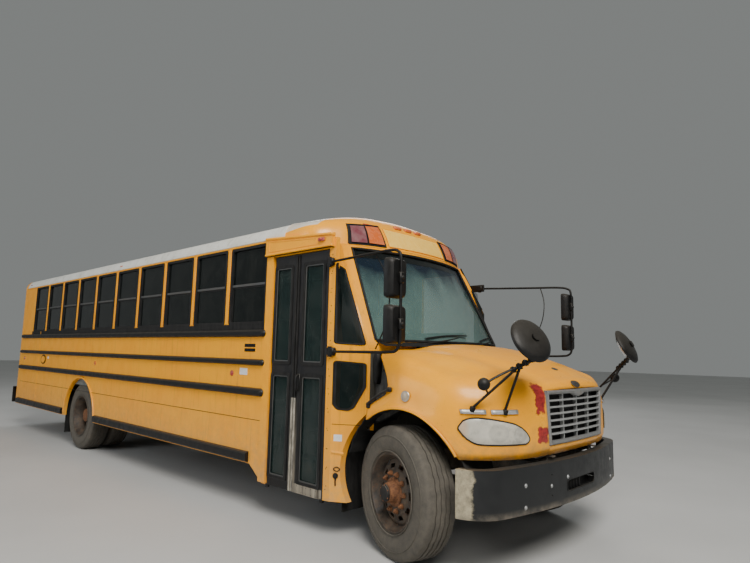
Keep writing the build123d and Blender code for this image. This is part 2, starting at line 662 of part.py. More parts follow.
# ---------------------------------------------------------------- cabin
ROWS = 11
ROW_FIRST, ROW_PITCH = 2450.0, 690.0
with BuildPart() as passenger_seats:
    for r in range(ROWS):
        y = ROW_FIRST + r * ROW_PITCH
        for s in (-1, 1):
            cx = s * 682
            # cushion, high back, and the frame under the aisle side
            for dy, w, d, z0, z1 in ((-10, 960, 380, 1290, 1410), (235, 960, 88, 1290, 2000)):
                with BuildSketch(Plane.XY.offset(z0)):
                    with Locations((cx, Y(y + dy))):
                        RectangleRounded(w, d, 40)
                extrude(amount=z1 - z0)
            # one flat leg on the aisle side; the other side hangs on the wall
            with BuildSketch(Plane.XY.offset(FLOOR_Z)):
                with Locations((s * 300, Y(y + 20))):
                    Rectangle(34, 300)
            extrude(amount=1289 - FLOOR_Z)
passenger_seats.part.label = "passenger_seats"

with BuildPart() as driver_seat:
    for dx, dy, w, d, z0, z1 in ((0, 0, 500, 470, 1330, 1450), (0, 250, 500, 110, 1330, 2080), (0, 0, 320, 320, FLOOR_Z, 1330)):
        with BuildSketch(Plane.XY.offset(z0)):
            with Locations((560 + dx, Y(1560 + dy))):
                RectangleRounded(w, d, 45)
        extrude(amount=z1 - z0)
driver_seat.part.label = "driver_seat"

STW = (560.0, 1040.0, 1600.0)          # steering wheel centre: x, y from the axle, z
STW_DIR = (0.0, sin(radians(38)), cos(radians(38)))
with BuildPart() as dashboard:
    with BuildSketch(Plane.YZ.offset(-900)):
        with BuildLine():
            Polyline((Y(470), 1180), (Y(640), 1180), (Y(760), 1330), (Y(800), 1500), (Y(720), 1590), (Y(470), 1590), close=True)
        make_face()
    extrude(amount=1800)
    # instrument housing in front of the driver, and the steering column
    with BuildSketch(Plane.XZ.offset(-Y(850))):
        with Locations((560, 1520)):
            RectangleRounded(520, 240, 60)
    extrude(amount=200)
    with BuildSketch(Plane(origin=(STW[0], Y(STW[1]) - 30 * STW_DIR[1], STW[2] - 30 * STW_DIR[2]), z_dir=STW_DIR)):
        Circle(38)
    extrude(amount=-330)
dashboard.part.label = "dashboard"

with BuildPart() as steering_wheel:
    wheel_plane = Plane(origin=(STW[0], Y(STW[1]), STW[2]), x_dir=(1, 0, 0), z_dir=STW_DIR)
    with BuildSketch(wheel_plane.offset(-12)):
        Circle(232)
        Circle(204, mode=Mode.SUBTRACT)
        Circle(60)
        for a in (0, 120, 240):
            with Locations(Location((0, 0, 0), (0, 0, a + 90))):
                with Locations((130, 0)):
                    Rectangle(170, 34)
    extrude(amount=26)
    with BuildSketch(wheel_plane.offset(-29)):
        Circle(30)
    extrude(amount=20)
steering_wheel.part.label = "steering_wheel"

# ---------------------------------------------------------------- hood, tilting forward
HOOD_T = 18.0


def hood_solid(d):
    """Envelope of the hood set in by d: side profile x front profile x plan."""
    with BuildPart() as hs:
        with BuildSketch(Plane.YZ.offset(-1300)):
            with BuildLine():
                Polyline((Y(-905 + d), 840 - (2 if d else 0)), (Y(HOOD_REAR + (2 if d else 0)), 840 - (2 if d else 0)),
                         (Y(HOOD_REAR + (2 if d else 0)), 1672 - d), (Y(100), 1668 - d))
                ThreePointArc((Y(100), 1668 - d), (Y(-400), 1580 - d), (Y(-800), 1415 - d))
                ThreePointArc((Y(-800), 1415 - d), (Y(-900 + d * 0.5), 1355 - d * 0.8), (Y(-945 + d), 1270))
                Line((Y(-945 + d), 1270), (Y(-965 + d), 920))
                Line((Y(-965 + d), 920), (Y(-905 + d), 840 - (2 if d else 0)))
            make_face()
        extrude(amount=2600)
        with BuildSketch(Plane.XZ.offset(-Y(400))):
            with BuildLine():
                ThreePointArc((-1000, 1562 - d), (0, 1672 - d), (1000, 1562 - d))
                ThreePointArc((1000, 1562 - d), (1130 - d * 0.7, 1440 - d * 0.5), (1205 - d, 1170))
                Polyline((1205 - d, 1170), (1205 - d, 830), (-1205 + d, 830), (-1205 + d, 1170))
                ThreePointArc((-1205 + d, 1170), (-1130 + d * 0.7, 1440 - d * 0.5), (-1000, 1562 - d))
            make_face()
        extrude(amount=1500, mode=Mode.INTERSECT)
        with BuildSketch(Plane.XY.offset(820)):
            with BuildLine():
                ThreePointArc((-860, Y(-875 + d)), (0, Y(-975 + d)), (860, Y(-875 + d)))
                ThreePointArc((860, Y(-875 + d)), (1090 - d * 0.7, Y(-735 + d * 0.7)), (1205 - d, Y(-560)))
                Polyline((1205 - d, Y(-560)), (1205 - d, Y(420)), (-1205 + d, Y(420)), (-1205 + d, Y(-560)))
                ThreePointArc((-1205 + d, Y(-560)), (-1090 + d * 0.7, Y(-735 + d * 0.7)), (-860, Y(-875 + d)))
            make_face()
        extrude(amount=900, mode=Mode.INTERSECT)
    return hs.part


hood_outer = hood_solid(0)
hood_inner = hood_solid(HOOD_T)
LAMP_BOX = (700.0, 1135.0, 950.0, 1130.0)      # headlamp: x from, x to, z from, z to
with BuildPart() as hood:
    add(hood_outer)
    add(hood_inner, mode=Mode.SUBTRACT)
    # wheel arches
    with BuildSketch(Plane.YZ.offset(-1300)):
        with Locations((Y(ARCH_Y), ARCH_Z)):
            Circle(ARCH_R)
    extrude(amount=2600, mode=Mode.SUBTRACT)
    # grille opening
    with BuildSketch(Plane.XZ.offset(-Y(-820))):
        with BuildLine():
            Polyline((-482, 925), (482, 925), (518, 1330), (-518, 1330), close=True)
        make_face()
    extrude(amount=200, mode=Mode.SUBTRACT)
    # the rear edge follows the foot of the windshield
    with BuildSketch(Plane.XY.offset(1300)):
        with BuildLine():
            ThreePointArc((-1000, Y(300)), (0, Y(100)), (1000, Y(300)))
            Polyline((1000, Y(300)), (1300, Y(305)), (1300, Y(500)), (-1300, Y(500)), (-1300, Y(305)), (-1000, Y(300)))
        make_face()
    extrude(amount=500, mode=Mode.SUBTRACT)
    # lamp openings
    for s in (-1, 1):
        with BuildSketch(Plane.XZ.offset(-Y(-560))):
            with Locations((s * (LAMP_BOX[0] + LAMP_BOX[1]) / 2, (LAMP_BOX[2] + LAMP_BOX[3]) / 2)):
                RectangleRounded(LAMP_BOX[1] - LAMP_BOX[0], LAMP_BOX[3] - LAMP_BOX[2], 60)
        extrude(amount=600, mode=Mode.SUBTRACT)
hood.part.label = "hood"

lamp_inner = hood_solid(HOOD_T + 60)
with BuildPart() as headlamps:
    for s in (-1, 1):
        with BuildSketch(Plane.XZ.offset(-Y(-560))):
            with Locations((s * (LAMP_BOX[0] + LAMP_BOX[1]) / 2, (LAMP_BOX[2] + LAMP_BOX[3]) / 2)):
                RectangleRounded(LAMP_BOX[1] - LAMP_BOX[0], LAMP_BOX[3] - LAMP_BOX[2], 60)
        extrude(amount=600)
    add(hood_outer, mode=Mode.INTERSECT)
    add(lamp_inner, mode=Mode.SUBTRACT)
headlamps.part.label = "headlamps"

BARS = 7
grille_back = hood_solid(50)
with BuildPart() as grille:
    # surround and cross bars, following the bowed front
    with BuildSketch(Plane.XZ.offset(-Y(-820))):
        with BuildLine():
            Polyline((-482, 925), (482, 925), (518, 1330), (-518, 1330), close=True)
        make_face()
        with BuildLine():
            Polyline((-446, 960), (446, 960), (478, 1290), (-478, 1290), close=True)
        make_face(mode=Mode.SUBTRACT)
    extrude(amount=300)
    for i in range(BARS):
        with BuildSketch(Plane.XY.offset(962 + i * 46)):
            with Locations((0, Y(-900))):
                Rectangle(960, 160)
        extrude(amount=22)
    # trim the bars to the opening and to the bow
    with BuildSketch(Plane.XZ.offset(-Y(-820))):
        with BuildLine():
            Polyline((-482, 925), (482, 925), (518, 1330), (-518, 1330), close=True)
        make_face()
    extrude(amount=300, mode=Mode.INTERSECT)
    add(hood_outer, mode=Mode.INTERSECT)
    add(grille_back, mode=Mode.SUBTRACT)
grille.part.label = "grille"

# crossview mirrors on the hood: a round head on a post over three feet
CV = (947.0, -1047.0, 1752.0)
CV_HUB = (1010.0, -760.0, 1480.0)
CV_FEET = [(880.0, -560.0), (1010.0, -420.0)]
with BuildPart() as crossview_mirrors:
    for s in (-1, 1):
        # head: shallow bowl facing the ground behind it
        with BuildSketch(Plane(origin=(s * CV[0], Y(CV[1]), CV[2]), z_dir=(0, -0.93, 0.36))):
            Circle(150)
        extrude(amount=45, taper=35)
    for s in (-1, 1):
        with BuildSketch(Plane(origin=(s * CV[0], Y(CV[1]), CV[2]), z_dir=(s * 0.12, 0.55, -0.8))):
            Circle(11)
        extrude(amount=520)
        with BuildSketch(Plane(origin=(s * CV[0], Y(CV[1]), CV[2]), z_dir=(s * -0.10, 0.80, -0.42))):
            Circle(9)
        extrude(amount=560)
    # what reaches below the hood's skin is cut off
    add(hood_outer, mode=Mode.SUBTRACT)
crossview_mirrors.part.label = "crossview_mirrors"

# ---------------------------------------------------------------- mirrors at the windshield posts
with BuildPart() as side_mirrors:
    for s in (-1, 1):
        post = (s * 1470, Y(-280))
        with BuildSketch(Plane.XY.offset(1600)):
            with Locations(post):
                Circle(14)
        extrude(amount=760)
        # two heads behind the tube: z low, z high
        for z0, z1 in ((1655, 1945), (1995, 2295)):
            with BuildSketch(Plane.XY.offset(z0)):
                with Locations((s * 1475, Y(-235))):
                    RectangleRounded(195, 70, 25)
            extrude(amount=z1 - z0)
        # arms back to the posts: foot x, y, z and tube z
        for fx, fy, fz, tz in ((1225, 715, 2394, 2350), (1225, 690, 1593, 1612)):
            v = (s * (fx - 1470), (fy + 280), fz - tz)
            ln = sqrt(v[0] ** 2 + v[1] ** 2 + v[2] ** 2)
            with BuildSketch(Plane(origin=(s * 1470, Y(-280), tz), z_dir=(v[0] / ln, v[1] / ln, v[2] / ln))):
                Circle(12)
            extrude(amount=ln - 16)
            with BuildSketch(Plane.YZ.offset(s * 1234.5 - 15.5)):
                with Locations((Y(fy + 8), fz)):
                    RectangleRounded(60, 90, 12)
            extrude(amount=31)
side_mirrors.part.label = "side_mirrors"

# ---------------------------------------------------------------- lamps
# warning lamps on the front cap: x from, x to, z from, z to (lens panels wrap the curved cap)
CAP_LAMPS = [(705, 885, 2662, 2842), (525, 690, 2662, 2872)]
with BuildPart() as warning_lamps:
    with BuildSketch(Plane.XZ.offset(-Y(1050))):
        for s in (-1, 1):
            for x0, x1, z0, z1 in CAP_LAMPS:
                with Locations((s * (x0 + x1) / 2, (z0 + z1) / 2)):
                    Rectangle(x1 - x0, z1 - z0)
    extrude(amount=600)
    add(cap_skin, mode=Mode.INTERSECT)
    add(cap_outer, mode=Mode.SUBTRACT)
    # rear warning lamps over the windows, and small marker lamps along the top
    with BuildSketch(Plane.XZ.offset(-Y(BODY_REAR + 22))):
        for s in (-1, 1):
            for x in (650, 850):
                with Locations((s * x, 2670)):
                    Circle(80)
    extrude(amount=22)
warning_lamps.part.label = "warning_lamps"

with BuildPart() as tail_lamps:
    with BuildSketch(Plane.XZ.offset(-Y(BODY_REAR + 25))):
        for s in (-1, 1):
            for x, z, r in ((900, 1480, 85), (900, 1220, 85), (900, 1020, 50), (720, 1020, 50)):
                with Locations((s * x, z)):
                    Circle(r)
    extrude(amount=25)
tail_lamps.part.label = "tail_lamps"

with BuildPart() as mud_flaps:
    for s in (-1, 1):
        # behind the twin rear wheels, and behind each front wheel
        for x, y, w, z0, z1 in ((860, RARCH_Y + 720, 580, 180, 925), (960, 655, 290, 230, 925)):
            with BuildSketch(Plane.XY.offset(z0)):
                with Locations((s * x, Y(y))):
                    Rectangle(w, 10)
            extrude(amount=z1 - z0)
mud_flaps.part.label = "mud_flaps"

# ---------------------------------------------------------------- doors
LEAF_X0, LEAF_X1 = -1212.0, -1176.0      # outer and inner face of a leaf
PIN_R = 18.0
PIN_X = (LEAF_X0 + LEAF_X1) / 2
PIN_F = DOOR_Y0 + 5 + PIN_R
PIN_B = DOOR_Y1 - 5 - PIN_R
LEAVES = [("entrance_door_front", "entrance_glass_front", PIN_F, DOOR_MEET - 3, 1),
          ("entrance_door_rear", "entrance_glass_rear", PIN_B, DOOR_MEET + 3, -1)]
GLASS_Z = [(420.0, 1360.0), (1487.0, 2400.0)]
leaf_parts = []
for frame_name, glass_name, pin, edge, sgn in LEAVES:
    lo, hi = (pin, edge) if sgn > 0 else (edge, pin)
    g0, g1 = (lo + 55, hi - 105) if sgn > 0 else (lo + 98, hi - 18)
    if sgn > 0:
        g0, g1 = 858.0, 1121.0
    else:
        g0, g1 = 1324.0, 1560.0
    with BuildPart() as leaf:
        with BuildSketch(Plane.YZ.offset(LEAF_X0)):
            with Locations((Y((lo + hi) / 2), (DOOR_BOT + 12 + DOOR_TOP - 8) / 2)):
                Rectangle(hi - lo, DOOR_TOP - 8 - DOOR_BOT - 12)
            for z0, z1 in GLASS_Z:
                with Locations((Y((g0 + g1) / 2), (z0 + z1) / 2)):
                    RectangleRounded(g1 - g0, z1 - z0, 20, mode=Mode.SUBTRACT)
        extrude(amount=LEAF_X1 - LEAF_X0)
        with BuildSketch(Plane.XY.offset(DOOR_BOT + 12)):
            with Locations((PIN_X, Y(pin))):
                Circle(PIN_R)
        extrude(amount=DOOR_TOP - 8 - DOOR_BOT - 12)
    leaf.part.label = frame_name
    with BuildPart() as pane:
        with BuildSketch(Plane.YZ.offset(PIN_X - 4)):
            for z0, z1 in GLASS_Z:
                with Locations((Y((g0 + g1) / 2), (z0 + z1) / 2)):
                    RectangleRounded(g1 - g0, z1 - z0, 20)
        extrude(amount=8)
    pane.part.label = glass_name
    leaf_parts.append((leaf, frame_name, pane, glass_name))

RD_X, RD_Z0, RD_Z1 = 443.0, 972.0, 2553.0      # emergency door leaf
RD_GLASS = [(1120.0, 1560.0), (1800.0, 2420.0)]
with BuildPart() as rear_door:
    with BuildSketch(Plane.XZ.offset(-Y(BODY_REAR - 2))):
        with Locations((0, (RD_Z0 + RD_Z1) / 2)):
            Rectangle(2 * RD_X, RD_Z1 - RD_Z0)
        for z0, z1 in RD_GLASS:
            with Locations((0, (z0 + z1) / 2)):
                RectangleRounded(640, z1 - z0, 50, mode=Mode.SUBTRACT)
    extrude(amount=T - 6)
    # hinge barrels down the door-side edge, standing proud of the wall
    for z in (1150, 1760, 2370):
        with BuildSketch(Plane.XY.offset(z)):
            with Locations((-RD_X + 2, Y(BODY_REAR + 16))):
                Circle(13)
            with Locations((-RD_X + 32, Y(BODY_REAR + 4))):
                Rectangle(60, 14)
        extrude(amount=110)
    # outside handle
    with BuildSketch(Plane.XZ.offset(-Y(BODY_REAR + 40))):
        with Locations((330, 1680)):
            Rectangle(160, 36)
    extrude(amount=18)
    with BuildSketch(Plane.XZ.offset(-Y(BODY_REAR + 24))):
        with Locations((390, 1680)):
            Circle(16)
    extrude(amount=28)
rear_door.part.label = "rear_door"

with BuildPart() as rear_door_glass:
    with BuildSketch(Plane.XZ.offset(-Y(BODY_REAR - 18))):
        for z0, z1 in RD_GLASS:
            with Locations((0, (z0 + z1) / 2)):
                RectangleRounded(640, z1 - z0, 50)
    extrude(amount=10)
rear_door_glass.part.label = "rear_door_glass"

# ---------------------------------------------------------------- stop arm on the driver's side
SA_Y, SA_Z, SA_X = 2000.0, 1318.0, HW + 62
with BuildPart() as stop_arm:
    with BuildSketch(Plane.YZ.offset(SA_X)):
        with Locations((Y(SA_Y + 275), SA_Z)):
            RegularPolygon(radius=235, side_count=8, rotation=22.5)
    extrude(amount=8)
    with BuildSketch(Plane.YZ.offset(SA_X)):
        with Locations((Y(SA_Y + 60), SA_Z)):
            Rectangle(140, 150)
    extrude(amount=8)
    with BuildSketch(Plane.XY.offset(SA_Z - 72)):
        with Locations((SA_X - 6, Y(SA_Y))):
            Circle(14)
    extrude(amount=144)
stop_arm.part.label = "stop_arm"

with BuildPart() as stop_arm_bracket:
    with BuildSketch(Plane.YZ.offset(HW)):
        with Locations((Y(SA_Y), SA_Z)):
            Rectangle(150, 194)
    extrude(amount=30)
    for z in (SA_Z - 97, SA_Z + 77):
        with BuildSketch(Plane.XY.offset(z)):
            with Locations((HW + 42, Y(SA_Y))):
                Rectangle(84, 50)
        extrude(amount=20)
stop_arm_bracket.part.label = "stop_arm_bracket"

# ---------------------------------------------------------------- steering gear and wheels
SR = radians(REST_STEER)


def steer_xy(kx, dx, dy):
    """Row-frame x, y of a point that is (dx, dy) from the king pin kx when the wheels are straight."""
    return (kx + dx * cos(SR) - dy * sin(SR), Y(0) + dx * sin(SR) + dy * cos(SR))


ARM = 200.0             # steering arms reach straight back from the king pins
knuckle_parts = []
for side, name in ((1, "left_knuckle"), (-1, "right_knuckle")):
    kx = side * KP_X
    out = (side * cos(SR), side * sin(SR), 0.0)
    ox, oy = steer_xy(kx, 0, 0)
    with BuildPart() as knuckle:
        # pin in the beam's bore, lugs above and below, web outboard
        with BuildSketch(Plane.XY.offset(395)):
            with Locations((ox, oy)):
                Circle(21.7)
        extrude(amount=220)
        for z in (395, 567):
            with BuildSketch(Plane(origin=(ox, oy, z), x_dir=out, z_dir=(0, 0, 1))):
                Circle(45)
                with Locations((50, 0)):
                    Rectangle(100, 90)
            extrude(amount=48)
        with BuildSketch(Plane(origin=(ox, oy, 395), x_dir=out, z_dir=(0, 0, 1))):
            with Locations((84, 0)):
                Rectangle(32, 120)
        extrude(amount=220)
        # spindle
        with BuildSketch(Plane(origin=(ox, oy, TYRE_R), x_dir=(0, 0, 1), z_dir=out).offset(80)):
            Circle(38)
        extrude(amount=110)
        # steering arm under the beam's level
        with BuildSketch(Plane(origin=(ox, oy, 395), x_dir=out, z_dir=(0, 0, 1))):
            with Locations((0, side * ARM / 2)):
                Rectangle(50, ARM + 20)
        extrude(amount=24)
    knuckle.part.label = name
    knuckle_parts.append((knuckle, name))

with BuildPart() as tie_rod:
    ex, ey = steer_xy(KP_X, 0, ARM)
    wx, wy = steer_xy(-KP_X, 0, ARM)
    with BuildSketch(Plane.YZ.offset(wx + 0)):
        with Locations((ey, 441)):
            Circle(14)
    extrude(amount=ex - wx)
    for x, y in ((ex, ey), (wx, wy)):
        with BuildSketch(Plane.XY.offset(421)):
            with Locations((x, y)):
                Circle(26)
        extrude(amount=38)
tie_rod.part.label = "tie_rod"


def tyre_profile(plane, c):
    """Tyre section in a plane whose x runs along the axle; c is the middle plane."""
    h = TYRE_W / 2
    with BuildSketch(plane) as section:
        with BuildLine():
            Polyline((c - 100, BEAD_R), (c - 118, BEAD_R + 15))
            ThreePointArc((c - 118, BEAD_R + 15), (c - h, BEAD_R + 110), (c - h + 14, TYRE_R - 32))
            ThreePointArc((c - h + 14, TYRE_R - 32), (c - h + 22, TYRE_R - 12), (c - h + 42, TYRE_R - 3))
            ThreePointArc((c - h + 42, TYRE_R - 3), (c, TYRE_R), (c + h - 42, TYRE_R - 3))
            ThreePointArc((c + h - 42, TYRE_R - 3), (c + h - 22, TYRE_R - 12), (c + h - 14, TYRE_R - 32))
            ThreePointArc((c + h - 14, TYRE_R - 32), (c + h, BEAD_R + 110), (c + 118, BEAD_R + 15))
            Polyline((c + 118, BEAD_R + 15), (c + 100, BEAD_R), (c + 84, BEAD_R), (c + 100, BEAD_R + 40))
            ThreePointArc((c + 100, BEAD_R + 40), (c + 118, BEAD_R + 110), (c + 96, TYRE_R - 40))
            ThreePointArc((c + 96, TYRE_R - 40), (c, TYRE_R - 30), (c - 96, TYRE_R - 40))
            ThreePointArc((c - 96, TYRE_R - 40), (c - 118, BEAD_R + 110), (c - 100, BEAD_R + 40))
            Polyline((c - 100, BEAD_R + 40), (c - 84, BEAD_R), (c - 100, BEAD_R))
        make_face()
    return section.sketch.face()


wheel_parts = []
for side, name in ((1, "front_left"), (-1, "front_right")):
    kx = side * KP_X
    out = (side * cos(SR), side * sin(SR), 0.0)
    ox, oy = steer_xy(kx, 0, 0)
    wplane = Plane(origin=(ox, oy, TYRE_R), x_dir=out, z_dir=(out[1], -out[0], 0.0))
    waxis = Axis((ox, oy, TYRE_R), out)
    cen = OUT_OFF - TYRE_W / 2
    with BuildPart() as tyre:
        revolve(profiles=tyre_profile(wplane, cen), axis=waxis)
    tyre.part.label = name + "_tyre"
    with BuildPart() as rim:
        with BuildSketch(wplane):
            with BuildLine():
                Polyline((cen - 112, RIM_FLANGE_R), (cen - 106, BEAD_R - 1), (cen - 60, BEAD_R - 3), (cen - 30, BEAD_R - 30),
                         (cen + 40, BEAD_R - 30), (cen + 60, BEAD_R - 3), (cen + 106, BEAD_R - 1), (cen + 112, RIM_FLANGE_R),
                         (cen + 121, RIM_FLANGE_R), (cen + 117, BEAD_R - 14), (cen + 66, BEAD_R - 16), (cen + 46, BEAD_R - 44),
                         (190, 190), (184, 150), (186, 118), (230, 110), (230, 0), (205, 0), (205, 39), (140, 39), (140, 120), (150, 150), (162, 190),
                         (cen + 30, BEAD_R - 48), (cen - 38, BEAD_R - 46), (cen - 66, BEAD_R - 16), (cen - 117, BEAD_R - 14),
                         (cen - 121, RIM_FLANGE_R), close=True)
            make_face()
        revolve(axis=waxis)
        # hand holes in the disc
        with BuildSketch(Plane(origin=(ox, oy, TYRE_R), x_dir=(0, 0, 1), z_dir=out).offset(100)):
            with PolarLocations(212, 10, start_angle=18):
                Circle(24)
        extrude(amount=110, mode=Mode.SUBTRACT)
    rim.part.label = name + "_rim"
    wheel_parts.append((tyre, name + "_tyre", rim, name + "_rim"))

TWIN = (1020.0, 700.0)   # middle planes of the outer and inner rear tyres
for side, name in ((1, "rear_left"), (-1, "rear_right")):
    wplane = Plane(origin=(0, RA, TYRE_R), x_dir=(side, 0, 0), z_dir=(0, -side, 0))
    waxis = Axis((0, RA, TYRE_R), (side, 0, 0))
    with BuildPart() as tyre:
        for c in TWIN:
            revolve(profiles=tyre_profile(wplane, c), axis=waxis)
    tyre.part.label = name + "_tyres"
    with BuildPart() as rim:
        for c, d in ((TWIN[0], -1), (TWIN[1], 1)):
            # discs meet between the tyres
            with BuildSketch(wplane):
                with BuildLine():
                    Polyline((c + d * 112, RIM_FLANGE_R), (c + d * 106, BEAD_R - 1), (c + d * 60, BEAD_R - 3), (c + d * 30, BEAD_R - 30),
                             (c - d * 40, BEAD_R - 30), (c - d * 60, BEAD_R - 3), (c - d * 106, BEAD_R - 1), (c - d * 112, RIM_FLANGE_R),
                             (c - d * 121, RIM_FLANGE_R), (c - d * 117, BEAD_R - 14), (c - d * 66, BEAD_R - 16), (c - d * 46, BEAD_R - 44),
                             (c + d * 38, BEAD_R - 44), (860 - d * 20, 200), (860 - d * 12, 170), (860 - d * 12, 90), (860, 90), (860, 190), (860 - d * 2, 205),
                             (c + d * 56, BEAD_R - 40), (c + d * 66, BEAD_R - 16), (c + d * 117, BEAD_R - 14), (c + d * 121, RIM_FLANGE_R), close=True)
                make_face()
            revolve(axis=waxis)
        # hub through the discs to its cap
        with BuildSketch(wplane):
            with BuildLine():
                Polyline((846, 47), (846, 140), (874, 140), (874, 118), (1010, 105), (1060, 95), (1060, 0), (1004, 0), (1004, 47), close=True)
            make_face()
        revolve(axis=waxis)
        with BuildSketch(Plane(origin=(0, RA, TYRE_R), x_dir=(0, 0, 1), z_dir=(side, 0, 0)).offset(835)):
            with PolarLocations(185, 10, start_angle=18):
                Circle(20)
        extrude(amount=50, mode=Mode.SUBTRACT)
    rim.part.label = name + "_rims"
    wheel_parts.append((tyre, name + "_tyres", rim, name + "_rims"))

# ---------------------------------------------------------------- write the pieces
NODES = [(chassis_frame, "chassis_frame"), (front_axle, "front_axle"), (rear_axle, "rear_axle"),
         (engine_block, "engine_block"), (radiator, "radiator"), (fuel_tank, "fuel_tank"),
         (exhaust_pipe, "exhaust_pipe"), (floor, "floor"), (right_wall, "right_wall"), (left_wall, "left_wall"),
         (roof, "roof"), (cowl, "cowl"), (windshield, "windshield"), (front_cap, "front_cap"),
         (rear_wall, "rear_wall"), (side_windows, "side_windows"), (quarter_low, "quarter_windows"),
         (rub_rails, "rub_rails"), (front_bumper, "front_bumper"), (rear_bumper, "rear_bumper"),
         (passenger_seats, "passenger_seats"), (driver_seat, "driver_seat"), (dashboard, "dashboard"),
         (steering_wheel, "steering_wheel"), (hood, "hood"), (headlamps, "headlamps"), (grille, "grille"),
         (crossview_mirrors, "crossview_mirrors"), (side_mirrors, "side_mirrors"), (warning_lamps, "warning_lamps"),
         (tail_lamps, "tail_lamps"), (mud_flaps, "mud_flaps"), (rear_door, "rear_door"),
         (rear_door_glass, "rear_door_glass"), (stop_arm, "stop_arm"), (stop_arm_bracket, "stop_arm_bracket"),
         (tie_rod, "tie_rod")]
NODES += hatch_parts + knuckle_parts
for leaf, leaf_name, pane, pane_name in leaf_parts:
    NODES += [(leaf, leaf_name), (pane, pane_name)]
for tyre, tyre_name, rim, rim_name in wheel_parts:
    NODES += [(tyre, tyre_name), (rim, rim_name)]
for piece, name in NODES:
    export_step(piece.part, "parts/" + name + ".step")
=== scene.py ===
import bpy, bmesh, math, random
from math import sin, cos, pi, radians, sqrt, atan2, hypot
from mathutils import Vector, Matrix, noise as mnoise


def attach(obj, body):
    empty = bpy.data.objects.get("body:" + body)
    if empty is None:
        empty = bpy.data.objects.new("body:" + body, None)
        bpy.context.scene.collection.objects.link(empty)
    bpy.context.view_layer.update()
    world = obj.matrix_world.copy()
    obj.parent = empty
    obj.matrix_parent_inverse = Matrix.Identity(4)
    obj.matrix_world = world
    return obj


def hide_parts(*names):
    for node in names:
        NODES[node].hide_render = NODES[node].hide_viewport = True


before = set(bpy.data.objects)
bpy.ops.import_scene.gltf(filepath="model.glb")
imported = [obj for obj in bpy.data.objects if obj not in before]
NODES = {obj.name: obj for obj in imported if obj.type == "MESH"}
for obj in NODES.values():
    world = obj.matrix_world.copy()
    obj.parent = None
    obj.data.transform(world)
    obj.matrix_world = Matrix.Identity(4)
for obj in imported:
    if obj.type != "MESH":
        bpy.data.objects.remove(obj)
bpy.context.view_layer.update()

random.seed(7)

FA = -4.514            # Y of the front axle, metres, row frame
WB = 6.580
RA = FA + WB
HW = 1.219


def Y(y):
    return FA + y


# ------------------------------------------------------------------ camera
CAM_YAW, CAM_PITCH, CAM_ROLL = 0.81747, 0.12717, 0.021630
cam_data = bpy.data.cameras.new("camera")
cam_data.lens = 26.73
cam_data.sensor_width = 36.0
cam_data.sensor_fit = "HORIZONTAL"
cam_data.clip_end = 200.0
cam = bpy.data.objects.new("camera", cam_data)
bpy.context.scene.collection.objects.link(cam)
fwd = Vector((sin(CAM_YAW) * cos(CAM_PITCH), cos(CAM_YAW) * cos(CAM_PITCH), sin(CAM_PITCH)))
r0 = Vector((cos(CAM_YAW), -sin(CAM_YAW), 0))
u0 = r0.cross(fwd)
rr = r0 * cos(CAM_ROLL) + u0 * sin(CAM_ROLL)
uu = -r0 * sin(CAM_ROLL) + u0 * cos(CAM_ROLL)
cm = Matrix((rr, uu, -fwd)).transposed().to_4x4()
cm.translation = Vector((-4.5711, Y(-2.9280), 1.5912))
cam.matrix_world = cm
bpy.context.scene.camera = cam

# ------------------------------------------------------------------ light and floor
world = bpy.data.worlds.new("studio")
bpy.context.scene.world = world
world.use_nodes = True
wn = world.node_tree.nodes
wl = world.node_tree.links
wn.clear()
w_out = wn.new("ShaderNodeOutputWorld")
w_bg = wn.new("ShaderNodeBackground")
w_grad = wn.new("ShaderNodeTexGradient")
w_ramp = wn.new("ShaderNodeValToRGB")
w_map = wn.new("ShaderNodeMapping")
w_tc = wn.new("ShaderNodeTexCoord")
w_map.inputs["Rotation"].default_value = (0, -pi / 2, 0)
w_ramp.color_ramp.elements[0].position = 0.30
w_ramp.color_ramp.elements[0].color = (0.42, 0.44, 0.43, 1)
w_ramp.color_ramp.elements[1].position = 0.75
w_ramp.color_ramp.elements[1].color = (0.86, 0.92, 1.0, 1)
w_bg.inputs["Strength"].default_value = 0.50
wl.new(w_tc.outputs["Generated"], w_map.inputs["Vector"])
wl.new(w_map.outputs["Vector"], w_grad.inputs["Vector"])
wl.new(w_grad.outputs["Fac"], w_ramp.inputs["Fac"])
wl.new(w_ramp.outputs["Color"], w_bg.inputs["Color"])
wl.new(w_bg.outputs["Background"], w_out.inputs["Surface"])


def area_light(name, loc, target, size, power, color=(1, 1, 1)):
    d = bpy.data.lights.new(name, "AREA")
    d.shape = "DISK"
    d.size = size
    d.energy = power
    d.color = color
    o = bpy.data.objects.new(name, d)
    bpy.context.scene.collection.objects.link(o)
    o.location = loc
    o.rotation_euler = (Vector(target) - Vector(loc)).to_track_quat("-Z", "Y").to_euler()
    return o


area_light("key", (-7.0, -12.0, 11.0), (0, -1.0, 1.2), 7.0, 2500, (1.0, 0.97, 0.92))
area_light("fill", (-14.0, 3.0, 6.0), (0, 1.0, 1.4), 9.0, 650, (0.92, 0.96, 1.0))
area_light("back", (12.0, 8.0, 9.0), (0, 0, 1.4), 8.0, 650, (1.0, 1.0, 1.0))


